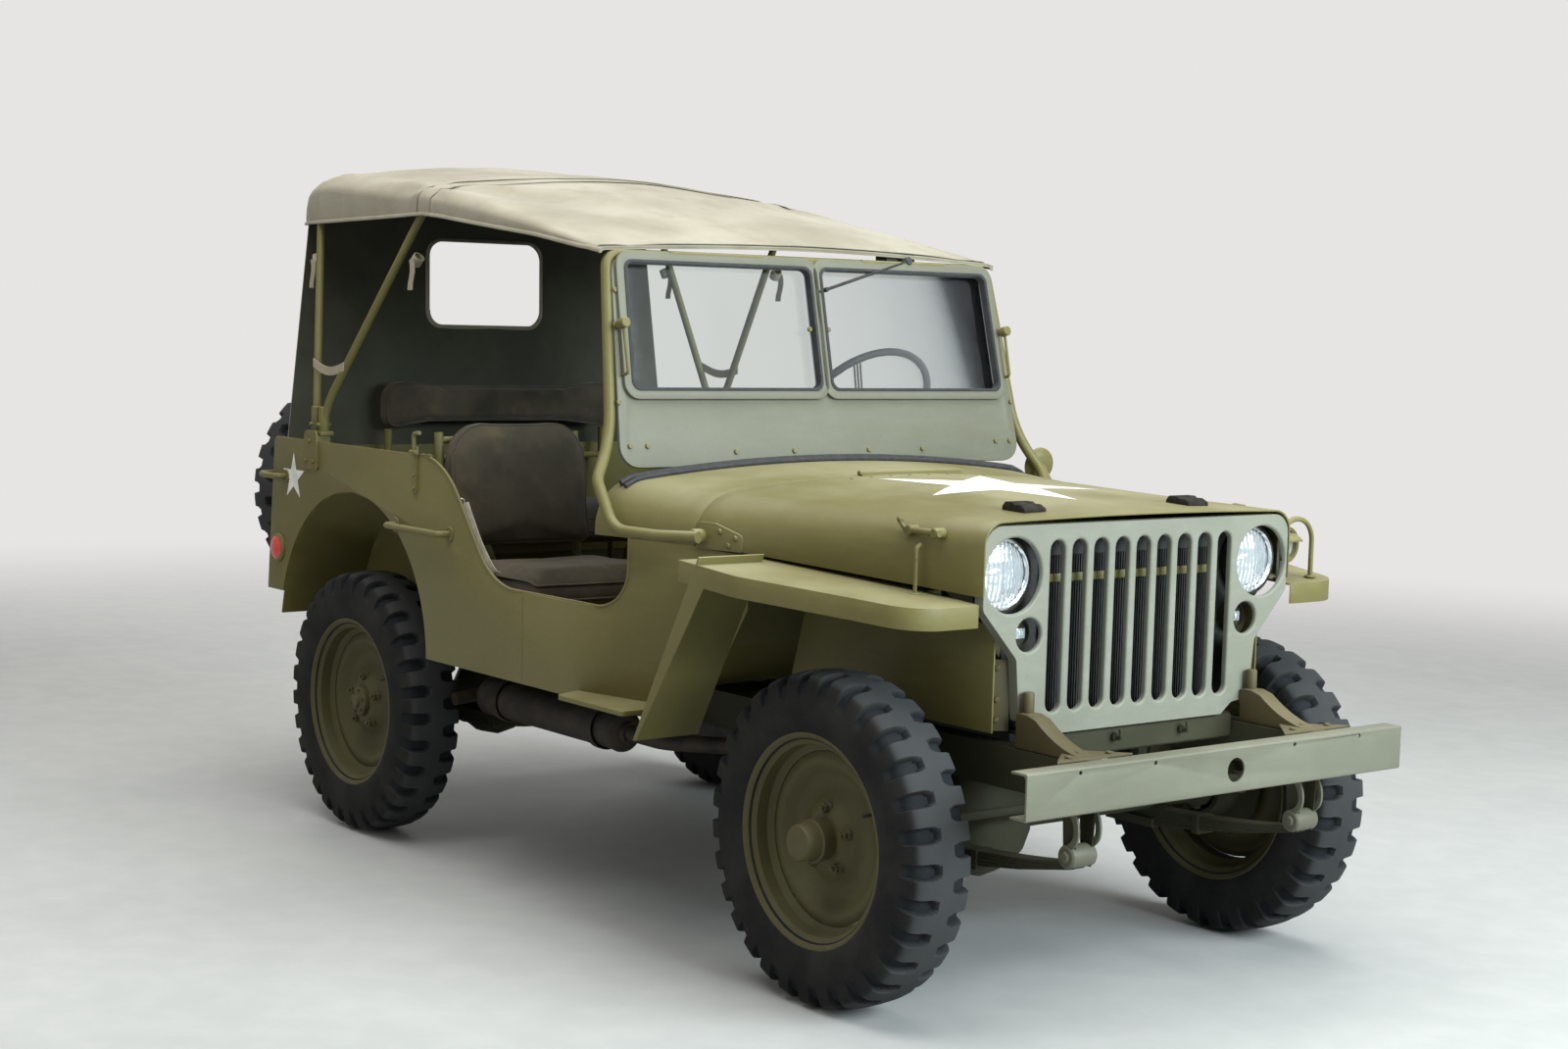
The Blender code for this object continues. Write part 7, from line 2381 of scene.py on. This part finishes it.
def floor():
    form = bmesh.new()
    for x, y in ((-1, -1), (1, -1), (1, 1), (-1, 1)):
        form.verts.new((FLOOR_HALF * x, FLOOR_HALF * y, FLOOR_Z))
    form.faces.new(form.verts)
    made = object_of(form, "floor")
    ground = Finish("floor_concrete", 0.78)
    cloud = ground.noise(0.9, 6.0)
    grain = ground.noise(9.0, 6.0)
    shade = cloud.between(0.3, 0.7) * 0.6 + grain.between(0.35, 0.7) * 0.4
    ground.set(Base_Color=mixed(shade, (0.362, 0.368, 0.356), (0.422, 0.426, 0.410)))
    ground.bump(grain, 0.04, 0.001)
    # Far from the object the floor fades into the background, so no dark horizon shows
    tree = ground.tree
    fade = node(tree, "VectorMath", {"operation": "LENGTH"}, ground.place, output=1).between(*FLOOR_FADE)
    clear = node(tree, "BsdfTransparent", {}, (1, 1, 1, 1))
    both = tree.nodes.new("ShaderNodeMixShader")
    put(tree, both.inputs[0], fade)
    tree.links.new(ground.shader.outputs[0], both.inputs[1])
    put(tree, both.inputs[2], clear)
    tree.links.new(both.outputs[0], tree.nodes["Material Output"].inputs[0])
    made.data.materials.append(ground.material)


def background():
    world = bpy.data.worlds.new("hall")
    bpy.context.scene.world = world
    world.use_nodes = True
    tree = world.node_tree
    tree.nodes.clear()
    path = tree.nodes.new("ShaderNodeLightPath")
    camera, passed = (Wire(tree, path.outputs[name]) for name in ("Is Camera Ray", "Is Transmission Ray"))
    seen = node(tree, "Math", {"operation": "MAXIMUM"}, camera, passed)
    shown = node(tree, "Background", {}, (0.800, 0.785, 0.770, 1.0), 1.0)
    glow = node(tree, "Background", {}, (0.960, 0.985, 1.000, 1.0), 0.22)
    mirrored = node(tree, "Background", {}, (0.950, 0.975, 1.000, 1.0), 0.45)
    light = tree.nodes.new("ShaderNodeMixShader")
    put(tree, light.inputs[0], Wire(tree, path.outputs["Is Glossy Ray"]))
    put(tree, light.inputs[1], glow)
    put(tree, light.inputs[2], mirrored)
    both = tree.nodes.new("ShaderNodeMixShader")
    put(tree, both.inputs[0], seen)
    put(tree, both.inputs[1], Wire(tree, light.outputs[0]))
    put(tree, both.inputs[2], shown)
    out = tree.nodes.new("ShaderNodeOutputWorld")
    tree.links.new(both.outputs[0], out.inputs[0])


def soft_light(name, place, aim_at, size, power, colour):
    light = bpy.data.lights.new(name, "AREA")
    light.shape = "RECTANGLE"
    light.size, light.size_y = size
    light.energy = power
    light.color = colour
    made = bpy.data.objects.new(name, light)
    made.location = place
    way = Vector(aim_at) - Vector(place)
    made.rotation_euler = way.to_track_quat("-Z", "Y").to_euler()
    bpy.context.scene.collection.objects.link(made)
    made.visible_camera = False


floor()
background()
soft_light("roof_windows", (0.6, -0.4, 6.0), (0, 0, 0.6), (7.0, 6.0), 575.0, (1.0, 0.99, 0.97))
soft_light("front_windows", (6.6, 1.2, 3.2), (0.8, 0, 0.8), (5.0, 3.2), 760.0, (0.82, 0.94, 1.0))
soft_light("right_windows", (0.6, -6.2, 3.2), (0.2, 0, 0.8), (5.0, 3.0), 46.0, (1.0, 0.96, 0.90))
soft_light("rear_windows", (-6.0, 3.4, 3.2), (-0.6, 0, 0.8), (5.0, 3.0), 120.0, (1.0, 0.98, 0.95))
print("stage set")
